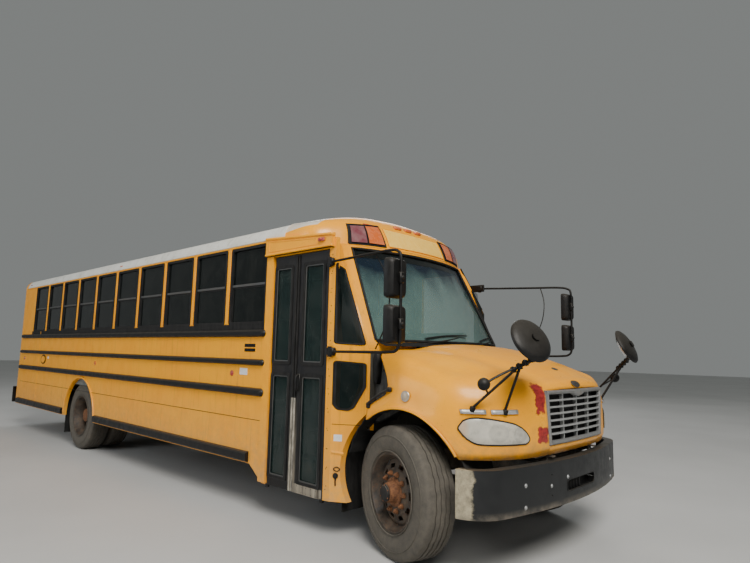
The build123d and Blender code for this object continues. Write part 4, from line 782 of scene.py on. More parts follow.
def hood_paint():
    M = Mat("hood_paint")
    big = M.noise(0.9, 3, 0.5)
    mid = M.noise(6.0, 5, 0.6)
    col = M.mix(M.ramp(big, [(0.35, 0.0), (0.65, 0.5)]), YEL, YEL_PALE)
    col = M.mix(M.ramp(mid, [(0.45, 0.0), (0.75, 0.3)]), col, YEL_DARK)
    st = M.noise(8.0, 5, 0.65, M.vec((1.6, 0.35, 1.0)))
    up = M.math("MULTIPLY", M.math("MAXIMUM", M.normal("Z"), 0.0), M.ramp(st, [(0.42, 0.0), (0.75, 0.5)]), True)
    col = M.mix(M.math("MULTIPLY", up, 0.45), col, (0.86, 0.46, 0.10))
    fine = M.noise(60.0, 4, 0.7)
    col = M.mix(M.ramp(fine, [(0.62, 0.0), (0.76, 0.35)]), col, (0.20, 0.11, 0.03))
    # road grime low on the fenders
    low = M.math("MULTIPLY", dirt_low(M, 0.80, 1.15), M.ramp(M.noise(11.0, 6, 0.7), [(0.35, 0.0), (0.7, 0.75)]), True)
    col = M.mix(low, col, (0.27, 0.19, 0.10))
    ch = M.voronoi(34.0)
    chips = M.math("MULTIPLY", M.ramp(ch, [(0.05, 1.0), (0.08, 0.0)]), M.ramp(M.noise(2.1, 2, 0.5), [(0.54, 0.0), (0.62, 1.0)]), True)
    col = M.mix(chips, col, (0.10, 0.06, 0.03))
    col = red_patches(M, col)
    M.set(color=col, rough=M.ramp(mid, [(0.3, 0.26), (0.7, 0.44)]), normal=M.bump(M.noise(1.9, 2, 0.4), 0.05, 0.02), coat=0.14, coat_rough=0.12, spec=0.32)
    return M.m


MAT["hood"] = hood_paint()
MAT["liner"] = black_trim("wheel_liner", 0.012, 0.5, 0.8, 0.6)


def metal(name, col, rough=0.35, dirt=0.4, metal=0.9):
    M = Mat(name)
    n = M.noise(22.0, 5, 0.65)
    c = M.mix(M.ramp(n, [(0.42, 0.0), (0.75, dirt)]), col, (0.20, 0.16, 0.12))
    M.set(color=c, rough=M.ramp(n, [(0.3, rough), (0.8, rough + 0.3)]), metal=metal, normal=M.bump(M.noise(150.0, 2, 0.5), 0.06, 0.001))
    return M.m


MAT["grey_bright"] = metal("grille_grey", (0.60, 0.61, 0.61), 0.28, 0.25, 0.75)
MAT["zinc"] = metal("zinc_plate", (0.62, 0.62, 0.60), 0.35, 0.3, 0.85)
MAT["dark_steel"] = metal("dark_steel", (0.06, 0.058, 0.055), 0.5, 0.7, 0.6)


def lens_mat(name, col, rough=0.18, haze=0.3, trans=0.0):
    M = Mat(name)
    n = M.noise(9.0, 5, 0.6)
    rib = M.wave(34.0, axis="X")
    c = M.mix(M.ramp(n, [(0.4, 0.0), (0.75, haze)]), col, (0.62, 0.58, 0.50))
    M.set(color=c, rough=M.ramp(n, [(0.35, rough), (0.75, rough + 0.25)]), normal=M.bump(rib, 0.18, 0.004), coat=0.6, coat_rough=0.1, spec=0.5)
    return M.m


MAT["red_lens"] = lens_mat("red_lens", (0.36, 0.016, 0.012))
MAT["purple_lens"] = lens_mat("faded_red_lens", (0.17, 0.030, 0.045), 0.25, 0.2)
MAT["amber_lens"] = lens_mat("amber_lens", (0.62, 0.125, 0.015), 0.2, 0.15)
MAT["white_plate"] = metal("blank_white", (0.72, 0.72, 0.70), 0.5, 0.2, 0.0)


def headlamp_mat():
    M = Mat("headlamp_lens")
    n = M.noise(7.0, 6, 0.7)
    ax = M.math("ABSOLUTE", M.axis("X"))
    haze = M.mix(M.ramp(n, [(0.35, 0.0), (0.75, 1.0)]), (0.42, 0.40, 0.34), (0.66, 0.62, 0.52))
    amber = M.band(ax, 1.108, 1.20, 0.018)
    col = M.mix(M.math("MULTIPLY", amber, 0.42), haze, (0.60, 0.30, 0.08))
    x = M.axis("X")
    # round reflectors dimly seen behind the haze
    for cx, cz, r in ((0.80, 1.02, 0.060), (0.955, 1.035, 0.070)):
        dx = M.math("SUBTRACT", ax, cx)
        dz = M.math("SUBTRACT", M.axis("Z"), cz)
        d = M.math("SQRT", M.math("ADD", M.math("MULTIPLY", dx, dx), M.math("MULTIPLY", dz, dz)))
        col = M.mix(M.ramp(M.math("DIVIDE", d, r), [(0.0, 0.5), (0.35, 0.10), (0.85, 0.35), (1.0, 0.0)]), col, (0.22, 0.22, 0.20))
    M.set(color=col, rough=M.ramp(n, [(0.3, 0.22), (0.8, 0.45)]), coat=0.8, coat_rough=0.12, spec=0.6, normal=M.bump(M.noise(30.0, 2, 0.5), 0.05, 0.002))
    return M.m


MAT["headlamp"] = headlamp_mat()

hb = Bag()
idx, half = hood_grid()
allc = [[(-x, Y(y), z) for x, y, z in c] for c in half[::-1]] + [[(x, Y(y), z) for x, y, z in c] for c in half[1:]]
nvr = len(allc[0])
idx_all = [-i for i in idx[::-1]] + idx[1:]
V = [p for c in allc for p in c]
F = []
for i in range(len(allc) - 1):
    for j in range(nvr - 1):
        mid_x = (allc[i][j][0] + allc[i + 1][j][0]) / 2
        q = (i * nvr + j, (i + 1) * nvr + j, (i + 1) * nvr + j + 1, i * nvr + j + 1)
        if max(abs(idx_all[i]), abs(idx_all[i + 1])) <= 4.01 and 1 <= j < len(V_SIDE) + 1:
            continue        # grille opening
        F.append(q)
hb.add(V, F)
hood_me = hb.mesh("hood_shell")
bm = bmesh.new()
bm.from_mesh(hood_me)
bmesh.ops.remove_doubles(bm, verts=bm.verts, dist=1e-5)
bmesh.ops.recalc_face_normals(bm, faces=bm.faces)
bm.to_mesh(hood_me)
bm.free()
hood_shell = add_obj("hood_shell", hood_me, ["hood", "liner"], "hood", smooth=50, replaces="hood", slot="body_yellow")
so = hood_shell.modifiers.new("thick", "SOLIDIFY")
so.thickness = 0.010
so.offset = -1.0
so.material_offset = 1
so.material_offset_rim = 0

# rolled lip round each arch, and inner liner
ar = Bag()
for s in (-1, 1):
    pts = []
    for k in range(49):
        a = radians(-4 + 152 * k / 48)
        # along the arch from the front low point to the hood's rear edge
        y = ARCH[0] - 0.561 * 0 - ARCH[2] * cos(a)
        z = ARCH[1] + ARCH[2] * sin(a)
        if y > 0.30 or z < 0.84:
            continue
        i_x = 1.205
        for bx, by in BELT[::-1]:
            pass
        # x of the side at this y
        xs = lerp_table(y, sorted([(by, bx) for bx, by in BELT[12:]]))
        pts.append((s * (xs + 0.001), Y(y), z))
    ar.tube(pts, 0.0105, 8, 0)
    # liner: half barrel inside the arch
    rows = []
    for k in range(41):
        a = radians(0 + 180 * k / 40)
        y = ARCH[0] - (ARCH[2] + 0.012) * cos(a)
        z = max(ARCH[1] + (ARCH[2] + 0.012) * sin(a), 0.70)
        if y > 0.285:
            break
        rows.append([(s * 1.185 if y > -0.40 else s * min(1.185, lerp_table(max(y, -0.62), sorted([(by, bx) for bx, by in BELT[10:]])) - 0.02), Y(y), z), (s * 0.98, Y(y), z + 0.004), (s * 0.74, Y(y), z + 0.006)])
    ar.grid(rows, 1)
ar_o = ar.obj("fender_lips", ["hood", "liner"], "hood", smooth=60, slot="body_yellow")
sl = ar_o.modifiers.new("thick", "SOLIDIFY")
sl.thickness = 0.003


def nose_y(x):
    return lerp_table(abs(x), BELT[:12])


# ------------------------------------------------------------------ grille
gr = Bag()


def nose_pt(x, z, d=0.0):
    """Point on the nose, pushed forward by d."""
    return (x, Y(nose_y(x) + 0.006 - d), z)


def gx(u, z, half):
    """x at share u (-1..1) of the width at this height; the sides lean outwards upwards."""
    return u * (half + 0.037 * (z - 0.925) / 0.41)


# black cavity behind
rows = []
for k in range(25):
    u = -1 + 2 * k / 24
    rows.append([(gx(u, z, 0.485), Y(nose_y(gx(u, z, 0.485)) + 0.070), z) for z in (0.92, 1.05, 1.2, 1.33)])
gr.grid(rows, 1)
for u in (-1, 1):
    rows = [[(gx(u, z, 0.485), Y(nose_y(0.49) + d), z) for z in (0.92, 1.05, 1.2, 1.33)] for d in (0.0, 0.075)]
    gr.grid(rows, 1)
for z in (0.922, 1.33):
    rows = [[(gx(-1 + 2 * k / 24, z, 0.485), Y(nose_y(gx(-1 + 2 * k / 24, z, 0.485)) + d), z) for k in range(25)] for d in (0.0, 0.075)]
    gr.grid(rows, 1)
MAT["grille_frame"] = metal("grille_frame", (0.235, 0.240, 0.240), 0.42, 0.5, 0.5)
# surround: rounded-section frame round the opening
prof = [(-0.010, 0.000), (-0.006, 0.012), (0.003, 0.017), (0.013, 0.013), (0.021, 0.003), (0.021, -0.020), (-0.010, -0.020)]
loop = []
zb_, zt_ = 0.932, 1.322
for k in range(17):
    loop.append((-1 + 2 * k / 16, zb_, 0, -1))
for k in range(1, 10):
    loop.append((1, zb_ + (zt_ - zb_) * k / 10, 1, 0))
for k in range(17):
    loop.append((1 - 2 * k / 16, zt_, 0, 1))
for k in range(1, 10):
    loop.append((-1, zt_ - (zt_ - zb_) * k / 10, -1, 0))
rows = []
for n_, (u, z, ox, oz) in enumerate(loop):
    corner = abs(u) == 1 and z in (zb_, zt_)
    if corner:
        ox, oz = (u, -1 if z == zb_ else 1)
    row = []
    for a, d in prof:
        # a < 0 is outwards
        x = gx(u, z, 0.478) - ox * a * -1 * -1
        zz = z - oz * a
        notch = 0.0
        if oz == 1 and abs(u) < 0.20:
            notch = 0.030 * (1 - (abs(u) / 0.20) ** 2)
        row.append((x, Y(nose_y(x) + 0.006 - d), zz - notch * (1 if a > 0.01 else 0)))
    rows.append(row)
rows.append(rows[0])
gr.grid(rows, 2, closed_u=True)
# cross bars with a rounded nose, and three uprights behind them
NB = 6
for b in range(NB):
    z = 1.002 + b * (1.254 - 1.002) / (NB - 1)
    sec = [(0.005, -0.028), (0.008, -0.006), (0.007, 0.003), (0.003, 0.008), (-0.003, 0.008), (-0.007, 0.002), (-0.008, -0.008), (-0.005, -0.028)]
    rows = []
    for k in range(29):
        u = -1 + 2 * k / 28
        x = gx(u, z, 0.462)
        rows.append([(x, Y(nose_y(x) + 0.006 - d), z + a) for a, d in sec])
    gr.grid(rows, 0, closed_u=True)
for u in (-0.5, 0.0, 0.5):
    rows = []
    for k in range(9):
        z = 0.945 + (1.31 - 0.945) * k / 8
        x = gx(u, z, 0.462)
        yb = nose_y(x) + 0.006
        rows.append([(x - 0.008, Y(yb + 0.014), z), (x + 0.008, Y(yb + 0.014), z), (x + 0.008, Y(yb + 0.04), z), (x - 0.008, Y(yb + 0.04), z)])
    gr.grid(rows, 0, closed_u=True)
gr.obj("grille_bars", ["grey_bright", "liner", "grille_frame"], "hood", smooth=40, replaces="grille", slot="grille_grey")

# bare oval boss over the grille and a short slot above it
ov = Bag()
for r_, d_ in ((1.0, 0.0),):
    rows = []
    for k in range(8):
        t = k / 7
        rad = 1.0 - t
        h = 0.012 * sqrt(max(0.0, 1 - rad * rad)) + 0.002
        rows.append([(-0.004 + 0.072 * rad * cos(2 * pi * j / 28), Y(-0.9455 - h + 0.95 * (0.026 * rad * sin(2 * pi * j / 28))), 1.371 + 0.026 * rad * sin(2 * pi * j / 28) + h * 0.6) for j in range(28)])
    ov.grid(rows, 0, closed_u=True)
rows = [[(0.018 + 0.046 * rad * cos(2 * pi * j / 24), Y(-0.760 + 0.022 * rad * sin(2 * pi * j / 24)), 1.4865 + 0.0115 * rad * sin(2 * pi * j / 24) + 0.003 * (1 - rad)) for j in range(24)] for rad in (1.0, 0.75, 0.4, 0.02)]
ov.grid(rows, 1, closed_u=True)
ov.obj("hood_oval", ["dark_steel", "liner"], "hood", smooth=50, slot="grille_grey")

# ------------------------------------------------------------------ headlamps
LT = [(0.706, 0.990), (0.714, 1.008), (0.735, 1.035), (0.772, 1.066), (0.833, 1.097), (0.935, 1.121), (1.029, 1.137), (1.075, 1.140), (1.103, 1.134), (1.123, 1.120), (1.135, 1.100), (1.142, 1.070)]
LB = [(0.706, 0.980), (0.714, 0.966), (0.732, 0.955), (0.760, 0.951), (0.907, 0.950), (1.035, 0.953), (1.070, 0.960), (1.098, 0.980), (1.118, 1.006), (1.134, 1.036), (1.142, 1.062)]


def belt_index(x):
    """Running index along BELT at this half-width on the nose side."""
    lo, hi = 0.0, 13.0
    for _ in range(40):
        m = (lo + hi) / 2
        if hood_station(m)[0] < x:
            lo = m
        else:
            hi = m
    return (lo + hi) / 2


for s, nm in ((-1, "right"), (1, "left")):
    hl = Bag()
    rows, rim = [], []
    NX, NZ = 26, 9
    for k in range(NX + 1):
        x = 0.707 + (1.141 - 0.707) * k / NX
        st = hood_station(belt_index(x))
        zb2, zt2 = lerp_table(x, LB), lerp_table(x, LT)
        if zt2 < zb2:
            zt2 = zb2 + 0.001
        row = []
        for j in range(NZ + 1):
            v = j / NZ
            z = zb2 + (zt2 - zb2) * v
            edge = min(v, 1 - v) * 2
            ek = min(k, NX - k) / (NX / 2)
            out = 0.004 + 0.014 * (1 - (1 - min(edge * 1.6, 1)) ** 2) * min(1.0, (1 - (1 - min(ek * 2.5, 1)) ** 2))
            row.append((s * (st[0] - st[2] * out), Y(st[1] - st[3] * out + 0.003), z))
        rows.append(row)
    hl.grid(rows, 0)
    # gasket round the lens
    ring = [r[0] for r in rows] + [rows[-1][j] for j in range(1, NZ)] + [r[-1] for r in rows[::-1]] + [rows[0][j] for j in range(NZ - 1, 0, -1)]
    ring.append(ring[0])
    hl.tube(ring, 0.0055, 6, 1, cap=False)
    hl.obj("headlamp_" + nm, ["headlamp", "black"], "hood", smooth=55, replaces=None, slot="lamp_lens")
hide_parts("headlamps")

# fender marker lamps and latches
MAT["marker_clear"] = lens_mat("marker_lens", (0.36, 0.27, 0.17), 0.25, 0.45)
MAT["marker_ring"] = metal("marker_ring", (0.46, 0.45, 0.42), 0.32, 0.4, 0.8)
sm = Bag()
for s in (-1, 1):
    st = hood_station(17.1)
    sm.revolve([(0, 0.0001), (0, 0.033), (0.010, 0.032), (0.016, 0.024), (0.018, 0.010), (0.0185, 0.0001)], (s * 1.196, Y(-0.114), 1.262), (s, 0, 0), 24, 1)
    sm.revolve([(0, 0.036), (0.006, 0.043), (0.011, 0.039), (0.011, 0.031)], (s * 1.196, Y(-0.114), 1.262), (s, 0, 0), 24, 2)
    # rubber draw latch from the hood side to the quarter panel
    sm.tube(smooth_line([(s * 1.208, Y(0.060), 1.300), (s * 1.216, Y(0.13), 1.268), (s * 1.216, Y(0.21), 1.222), (s * 1.209, Y(0.285), 1.170)], 5), 0.012, 8, 0)
    sm.box((s * 1.200 - 0.012, Y(0.035), 1.285), (s * 1.200 + 0.016, Y(0.078), 1.322), 0, 0.006)
    sm.box((s * 1.200 - 0.012, Y(0.262), 1.140), (s * 1.200 + 0.016, Y(0.298), 1.186), 0, 0.005)
sm.obj("hood_fittings", ["black_dusty", "marker_clear", "marker_ring"], "hood", smooth=45, slot="trim_black")


# ------------------------------------------------------------------ wheels
def tyre_mat():
    M = Mat("tyre_rubber")
    n = M.noise(16.0, 6, 0.7)
    f = M.noise(70.0, 4, 0.7)
    col = M.mix(M.ramp(n, [(0.30, 0.0), (0.78, 1.0)]), (0.072, 0.065, 0.055), (0.135, 0.120, 0.097))
    col = M.mix(M.ramp(f, [(0.55, 0.0), (0.85, 0.35)]), col, (0.19, 0.165, 0.130))
    M.set(color=col, rough=M.ramp(n, [(0.3, 0.72), (0.7, 0.95)]), normal=M.bump(f, 0.25, 0.002), spec=0.3)
    return M.m


def rim_mat():
    M = Mat("wheel_steel")
    n = M.noise(11.0, 6, 0.7)
    f = M.noise(48.0, 5, 0.7)
    col = M.mix(M.ramp(n, [(0.36, 0.0), (0.70, 1.0)]), (0.030, 0.026, 0.023), (0.13, 0.095, 0.065))
    col = M.mix(M.ramp(f, [(0.56, 0.0), (0.70, 0.8)]), col, (0.15, 0.060, 0.024))
    M.set(color=col, rough=M.ramp(n, [(0.3, 0.5), (0.7, 0.85)]), metal=0.25, normal=M.bump(f, 0.25, 0.003))
    return M.m


def rust_mat():
    M = Mat("rusty_steel")
    n = M.noise(38.0, 6, 0.75)
    col = M.mix(M.ramp(n, [(0.35, 0.0), (0.68, 1.0)]), (0.085, 0.035, 0.017), (0.27, 0.115, 0.045))
    M.set(color=col, rough=0.88, metal=0.1, normal=M.bump(n, 0.5, 0.003))
    return M.m


MAT["tyre"] = tyre_mat()
MAT["rim"] = rim_mat()
MAT["rust"] = rust_mat()

TR, TW, BEAD = 0.510, 0.280, 0.290


def tyre_bag(B, c, ax, w=TW, block=False):
    """Tyre about centre c, axle direction ax; the tread is shallow ribs with sipes cut in the shoulders."""
    h = w / 2
    side = [(-h + 0.030, BEAD), (-h + 0.012, BEAD + 0.008), (-h + 0.004, BEAD + 0.030), (-h - 0.002, BEAD + 0.060), (-h - 0.006, BEAD + 0.095),
            (-h - 0.005, BEAD + 0.125), (-h - 0.001, BEAD + 0.152), (-h + 0.004, BEAD + 0.170), (-h + 0.0045, BEAD + 0.172), (-h + 0.008, BEAD + 0.186),
            (-h + 0.013, BEAD + 0.198), (-h + 0.020, BEAD + 0.208)]
    tread = [(-h + 0.027, TR - 0.0065), (-h + 0.034, TR - 0.0045)]
    n_g = 4
    x0, x1 = -h + 0.034, h - 0.034
    for g in range(n_g):
        gc = x0 + (x1 - x0) * (g + 1) / (n_g + 1)
        cr_ = 0.0045 * (2 * gc / (x1 - x0)) ** 2
        tread += [(gc - 0.0075, TR - cr_ - 0.0008), (gc - 0.0055, TR - cr_ - 0.011), (gc + 0.0055, TR - cr_ - 0.011), (gc + 0.0075, TR - cr_ - 0.0008)]
        if g < n_g - 1:
            nx_ = gc + (x1 - x0) / (n_g + 1) / 2
            tread.append((nx_, TR - 0.0045 * (2 * nx_ / (x1 - x0)) ** 2))
    tread += [(h - 0.034, TR - 0.0045), (h - 0.027, TR - 0.0065)]
    prof = side + tread + [(-d, r) for d, r in side[::-1]]
    inner = [(h - 0.034, BEAD + 0.002), (h - 0.030, BEAD + 0.030), (0, BEAD + 0.012), (-h + 0.030, BEAD + 0.030), (-h + 0.034, BEAD + 0.002)]
    SEG = 180
    A = Vector(ax).normalized()
    up = Vector((0, 0, 1))
    U = (up - A * up.dot(A)).normalized()
    W = A.cross(U)
    O = Vector(c)
    full = prof + inner
    V, F = [], []
    n = len(full)
    for i, (d, r) in enumerate(full):
        for k in range(SEG):
            a = 2 * pi * k / SEG
            rr_ = r
            dd = d
            if i < len(prof):
                # sipes across the shoulders, slight zig-zag of the ribs
                ad = abs(d)
                if h - 0.036 <= ad <= h - 0.020 and k % 6 == 0:
                    rr_ -= 0.006
                if ad < h - 0.036 and ad > 0:
                    dd = d + 0.0022 * (1 if (k // 3) % 2 else -1)
            V.append(tuple(O + A * dd + U * (cos(a) * rr_) + W * (sin(a) * rr_)))
    for i in range(n):
        j = (i + 1) % n
        for k in range(SEG):
            k2 = (k + 1) % SEG
            F.append((i * SEG + k, i * SEG + k2, j * SEG + k2, j * SEG + k))
    B.add(V, F, 0)
    # raised bands on both side walls
    for s in (-1, 1):
        for r_ in (BEAD + 0.022, BEAD + 0.142):
            B.revolve([(s * (h + 0.001), r_ - 0.004), (s * (h + 0.0075), r_ - 0.002), (s * (h + 0.0075), r_ + 0.002), (s * (h + 0.001), r_ + 0.004)], c, ax, 96, 0)


def rim_bag(B, c, ax, off, dish):
    """Rim about centre c (axle direction ax outward): barrel with flanges, disc at off from the centre, dish depth."""
    h = TW / 2
    prof = [(h - 0.020, 0.300), (h - 0.008, 0.302), (h - 0.003, 0.298), (h - 0.004, 0.288), (h - 0.016, 0.281), (h - 0.030, 0.278), (h - 0.060, 0.262),
            (h - 0.085, 0.250), (0.0, 0.247), (-h + 0.085, 0.250), (-h + 0.060, 0.262), (-h + 0.030, 0.278), (-h + 0.016, 0.281), (-h + 0.004, 0.288),
            (-h + 0.003, 0.298), (-h + 0.008, 0.302), (-h + 0.020, 0.300), (-h + 0.028, 0.2885), (0.0, 0.2835), (h - 0.028, 0.2885)]
    B.revolve(prof, c, ax, 96, 0, closed=True)
    A = Vector(ax).normalized()
    up = Vector((0, 0, 1))
    U = (up - A * up.dot(A)).normalized()
    W = A.cross(U)
    O = Vector(c)
    # disc: concentric rings with hand holes left out
    rad = [0.249, 0.240, 0.228, 0.214, 0.198, 0.182, 0.170, 0.156, 0.142, 0.120, 0.098, 0.084]
    dep = [0.0, 0.006, 0.010, 0.013, 0.016, 0.022, 0.030, 0.036, 0.038, 0.038, 0.038, 0.040]
    SEG = 120
    V, F = [], []
    for layer in (0, 1):
        for r, d in zip(rad, dep):
            for k in range(SEG):
                a = 2 * pi * k / SEG
                V.append(tuple(O + A * (off + dish * (d / 0.040) - layer * 0.011 * (1 if dish >= 0 else 1)) + U * (cos(a) * r) + W * (sin(a) * r)))
    n = len(rad)
    holes = 8 if True else 0

    def is_hole(i, k):
        # ring i..i+1 between radii .228 and .182
        ph = (k + 0.5) / SEG * 10
        fr = ph - math.floor(ph)
        if i in (2, 5):
            return 0.34 < fr < 0.66 and False
        return i in (2, 3, 4) and 0.27 < fr < 0.73
    for i in range(n - 1):
        for k in range(SEG):
            k2 = (k + 1) % SEG
            if is_hole(i, k):
                continue
            a0 = i * SEG + k
            a1 = i * SEG + k2
            b0 = (i + 1) * SEG + k
            b1 = (i + 1) * SEG + k2
            o2 = n * SEG
            F.append((a0, b0, b1, a1))
            F.append((a0 + o2, a1 + o2, b1 + o2, b0 + o2))
            for (di, dk, e) in ((-1, 0, (a0, a1)), (1, 0, (b1, b0)), (0, -1, (b0, a0)), (0, 1, (a1, b1))):
                ni, nk = i + di, (k + dk) % SEG
                if 0 <= ni < n - 1 and is_hole(ni, nk):
                    F.append((e[0], e[1], e[1] + o2, e[0] + o2))
    B.add(V, F, 0)
    return O, A, U, W


def lug_ring(B, O, A, U, W, d0, n=10, r=0.143, size=0.0185, mi=1):
    for k in range(n):
        a = 2 * pi * (k + 0.5) / n
        p = O + A * d0 + U * (cos(a) * r) + W * (sin(a) * r)
        B.disc(tuple(p), tuple(A), size * 1.25, 0.004, 12, mi)
        B.hexnut(tuple(p + A * 0.003), tuple(A), size, 0.021, mi)
        B.disc(tuple(p + A * 0.022), tuple(A), 0.0085, 0.012, 8, mi, 0.002)


STEER = radians(16.8)
for s, nm in ((-1, "right"), (1, "left")):
    # front wheels stand turned towards the door side
    axd = Vector((cos(STEER), -sin(STEER), 0))
    a_out = axd * s
    piv = Vector((s * 0.950, FA, 0.510))
    c = piv + a_out * 0.080
    B = Bag()
    tyre_bag(B, c, a_out)
    B.obj("front_%s_tyre_skin" % nm, ["tyre"], "front_%s_wheel" % nm, smooth=32, replaces="front_%s_tyre" % nm, slot="tyre")
    B = Bag()
    O, A, U, W = rim_bag(B, c, a_out, 0.060, 0.040)
    # hub: flange, tapering barrel, cap
    B.revolve([(0.095, 0.0001), (0.095, 0.112), (0.106, 0.110), (0.109, 0.102), (0.109, 0.086), (0.120, 0.080), (0.160, 0.074), (0.172, 0.070), (0.176, 0.062)], c, a_out, 48, 1)
    B.revolve([(0.176, 0.060), (0.180, 0.066), (0.188, 0.066), (0.190, 0.058), (0.196, 0.054), (0.199, 0.040), (0.199, 0.0001)], c, a_out, 36, 2)
    for k in range(6):
        a = 2 * pi * k / 6
        p = O + A * 0.189 + U * (cos(a) * 0.058) + W * (sin(a) * 0.058)
        B.hexnut(tuple(p), tuple(A), 0.0065, 0.006, 1)
    lug_ring(B, O, A, U, W, 0.100)
    # back side drum
    B.revolve([(0.045, 0.0001), (0.045, 0.150), (0.020, 0.205), (-0.020, 0.208), (-0.030, 0.200), (-0.030, 0.110)], c, a_out, 64, 1)
    B.tube([tuple(O + A * 0.118 + U * 0.245 + W * 0.03), tuple(O + A * 0.130 + U * 0.225 + W * 0.03), tuple(O + A * 0.137 + U * 0.205 + W * 0.032)], 0.0045, 8, 3)
    B.obj("front_%s_rim_skin" % nm, ["rim", "rust", "black_dusty", "black"], "front_%s_wheel" % nm, smooth=38, replaces="front_%s_rim" % nm, slot="wheel_steel")
    # rear twins
    B = Bag()
    for xm in (1.020, 0.700):
        tyre_bag(B, (s * xm, RA, 0.510), (s, 0, 0))
    B.obj("rear_%s_tyre_skin" % nm, ["tyre"], "rear_%s_wheel" % nm, smooth=32, replaces="rear_%s_tyres" % nm, slot="tyre")
    B = Bag()
    O, A, U, W = rim_bag(B, (s * 1.020, RA, 0.510), (s, 0, 0), -0.075, -0.045)
    rim_bag(B, (s * 0.700, RA, 0.510), (s, 0, 0), 0.075, 0.045)
    lug_ring(B, O, A, U, W, -0.116)
    B.revolve([(-0.125, 0.0001), (-0.125, 0.108), (-0.060, 0.104), (0.010, 0.094), (0.040, 0.090), (0.044, 0.098), (0.060, 0.098), (0.066, 0.090), (0.070, 0.060), (0.072, 0.0001)], (s * 1.020, RA, 0.510), (s, 0, 0), 48, 1)
    for k in range(8):
        a = 2 * pi * k / 8
        p = O + A * 0.062 + U * (cos(a) * 0.082) + W * (sin(a) * 0.082)
        B.hexnut(tuple(p), tuple(A), 0.009, 0.010, 1)
    B.obj("rear_%s_rim_skin" % nm, ["rim", "rust"], "rear_%s_wheel" % nm, smooth=38, replaces="rear_%s_rims" % nm, slot="wheel_steel")


# ------------------------------------------------------------------ body finishes
def vinyl(name, col, col2, sc=1.0):
    M = Mat(name)
    n = M.noise(3.0, 5, 0.6)
    c = M.mix(M.ramp(n, [(0.35, 0.0), (0.75, 1.0)]), col, col2)
    grain = M.voronoi(420.0 * sc)
    M.set(color=c, rough=M.ramp(n, [(0.3, 0.42), (0.7, 0.6)]), normal=M.bump(grain, 0.18, 0.0012), spec=0.4)
    return M.m


def worn_door():
    """Black door paint, rubbed bare and beige along the meeting edges and the foot of the front leaf."""
    M = Mat("door_black")
    n = M.noise(12.0, 6, 0.65)
    y = M.math("SUBTRACT", M.axis("Y"), FA)
    z = M.axis("Z")
    col = M.mix(M.ramp(n, [(0.4, 0.0), (0.8, 0.4)]), (0.008, 0.008, 0.009), (0.05, 0.047, 0.042))
    wob = M.math("MULTIPLY", M.math("SUBTRACT", M.noise(7.0, 4, 0.6), 0.5), 0.25)
    mid = M.band(y, 1.165, 1.285, 0.03)
    low = M.math("SUBTRACT", 1.0, M.math("DIVIDE", M.math("SUBTRACT", M.math("ADD", z, wob), 0.45), 0.75, True), True)
    f1 = M.math("MULTIPLY", mid, low, True)
    foot = M.math("MULTIPLY", M.band(y, 0.80, 1.20, 0.015), M.band(M.math("ADD", z, M.math("MULTIPLY", wob, 0.12)), 0.30, 0.405, 0.006), True)
    st = M.ramp(M.noise(22.0, 4, 0.6, M.vec((1, 1, 0.12))), [(0.38, 0.35), (0.62, 1.0)])
    f = M.math("MULTIPLY", M.math("ADD", f1, foot, True), st, True)
    col = M.mix(M.math("MULTIPLY", f, 0.8), col, (0.40, 0.35, 0.27))
    M.set(color=col, rough=M.ramp(n, [(0.3, 0.42), (0.8, 0.65)]), normal=M.bump(M.noise(90.0, 3, 0.6), 0.12, 0.003), spec=0.28)
    return M.m


def rubber_mat(name, a, b):
    M = Mat(name)
    n = M.noise(26.0, 5, 0.7, M.vec((1, 1, 0.25)))
    M.set(color=M.mix(M.ramp(n, [(0.35, 0.0), (0.7, 1.0)]), a, b), rough=0.7, normal=M.bump(n, 0.2, 0.002), spec=0.25)
    return M.m


def roof_cap():
    """Front cap: yellow, weathered pale towards the roof."""
    M = Mat("cap_paint")
    mid = M.noise(5.0, 6, 0.65)
    col = M.mix(M.ramp(M.noise(0.9, 3, 0.5), [(0.35, 0.0), (0.65, 0.5)]), YEL, YEL_PALE)
    x, y, z = M.axis("X"), M.math("SUBTRACT", M.axis("Y"), FA), M.axis("Z")
    # the white of the roof edge comes forward over the shoulder to a slanting line
    ax = M.math("ABSOLUTE", x)
    lim = M.math("SUBTRACT", M.math("ADD", z, M.math("MULTIPLY", y, 0.131)), 2.945)
    top = M.math("DIVIDE", M.math("SUBTRACT", y, M.math("SUBTRACT", 1.30, M.math("MULTIPLY", ax, 0.20))), 0.01, True)
    wh = M.math("MULTIPLY", M.math("DIVIDE", lim, 0.008, True), top, True)
    col = M.mix(M.math("MULTIPLY", wh, M.ramp(mid, [(0.30, 0.75), (0.6, 1.0)]), True), col, (0.60, 0.585, 0.52))
    col = M.mix(M.ramp(M.noise(30.0, 5, 0.7), [(0.58, 0.0), (0.76, 0.35)]), col, (0.34, 0.17, 0.03))
    M.set(color=col, rough=M.ramp(mid, [(0.3, 0.28), (0.7, 0.45)]), coat=0.3, coat_rough=0.2, normal=M.bump(M.noise(2.2, 2, 0.4), 0.05, 0.02))
    return M.m


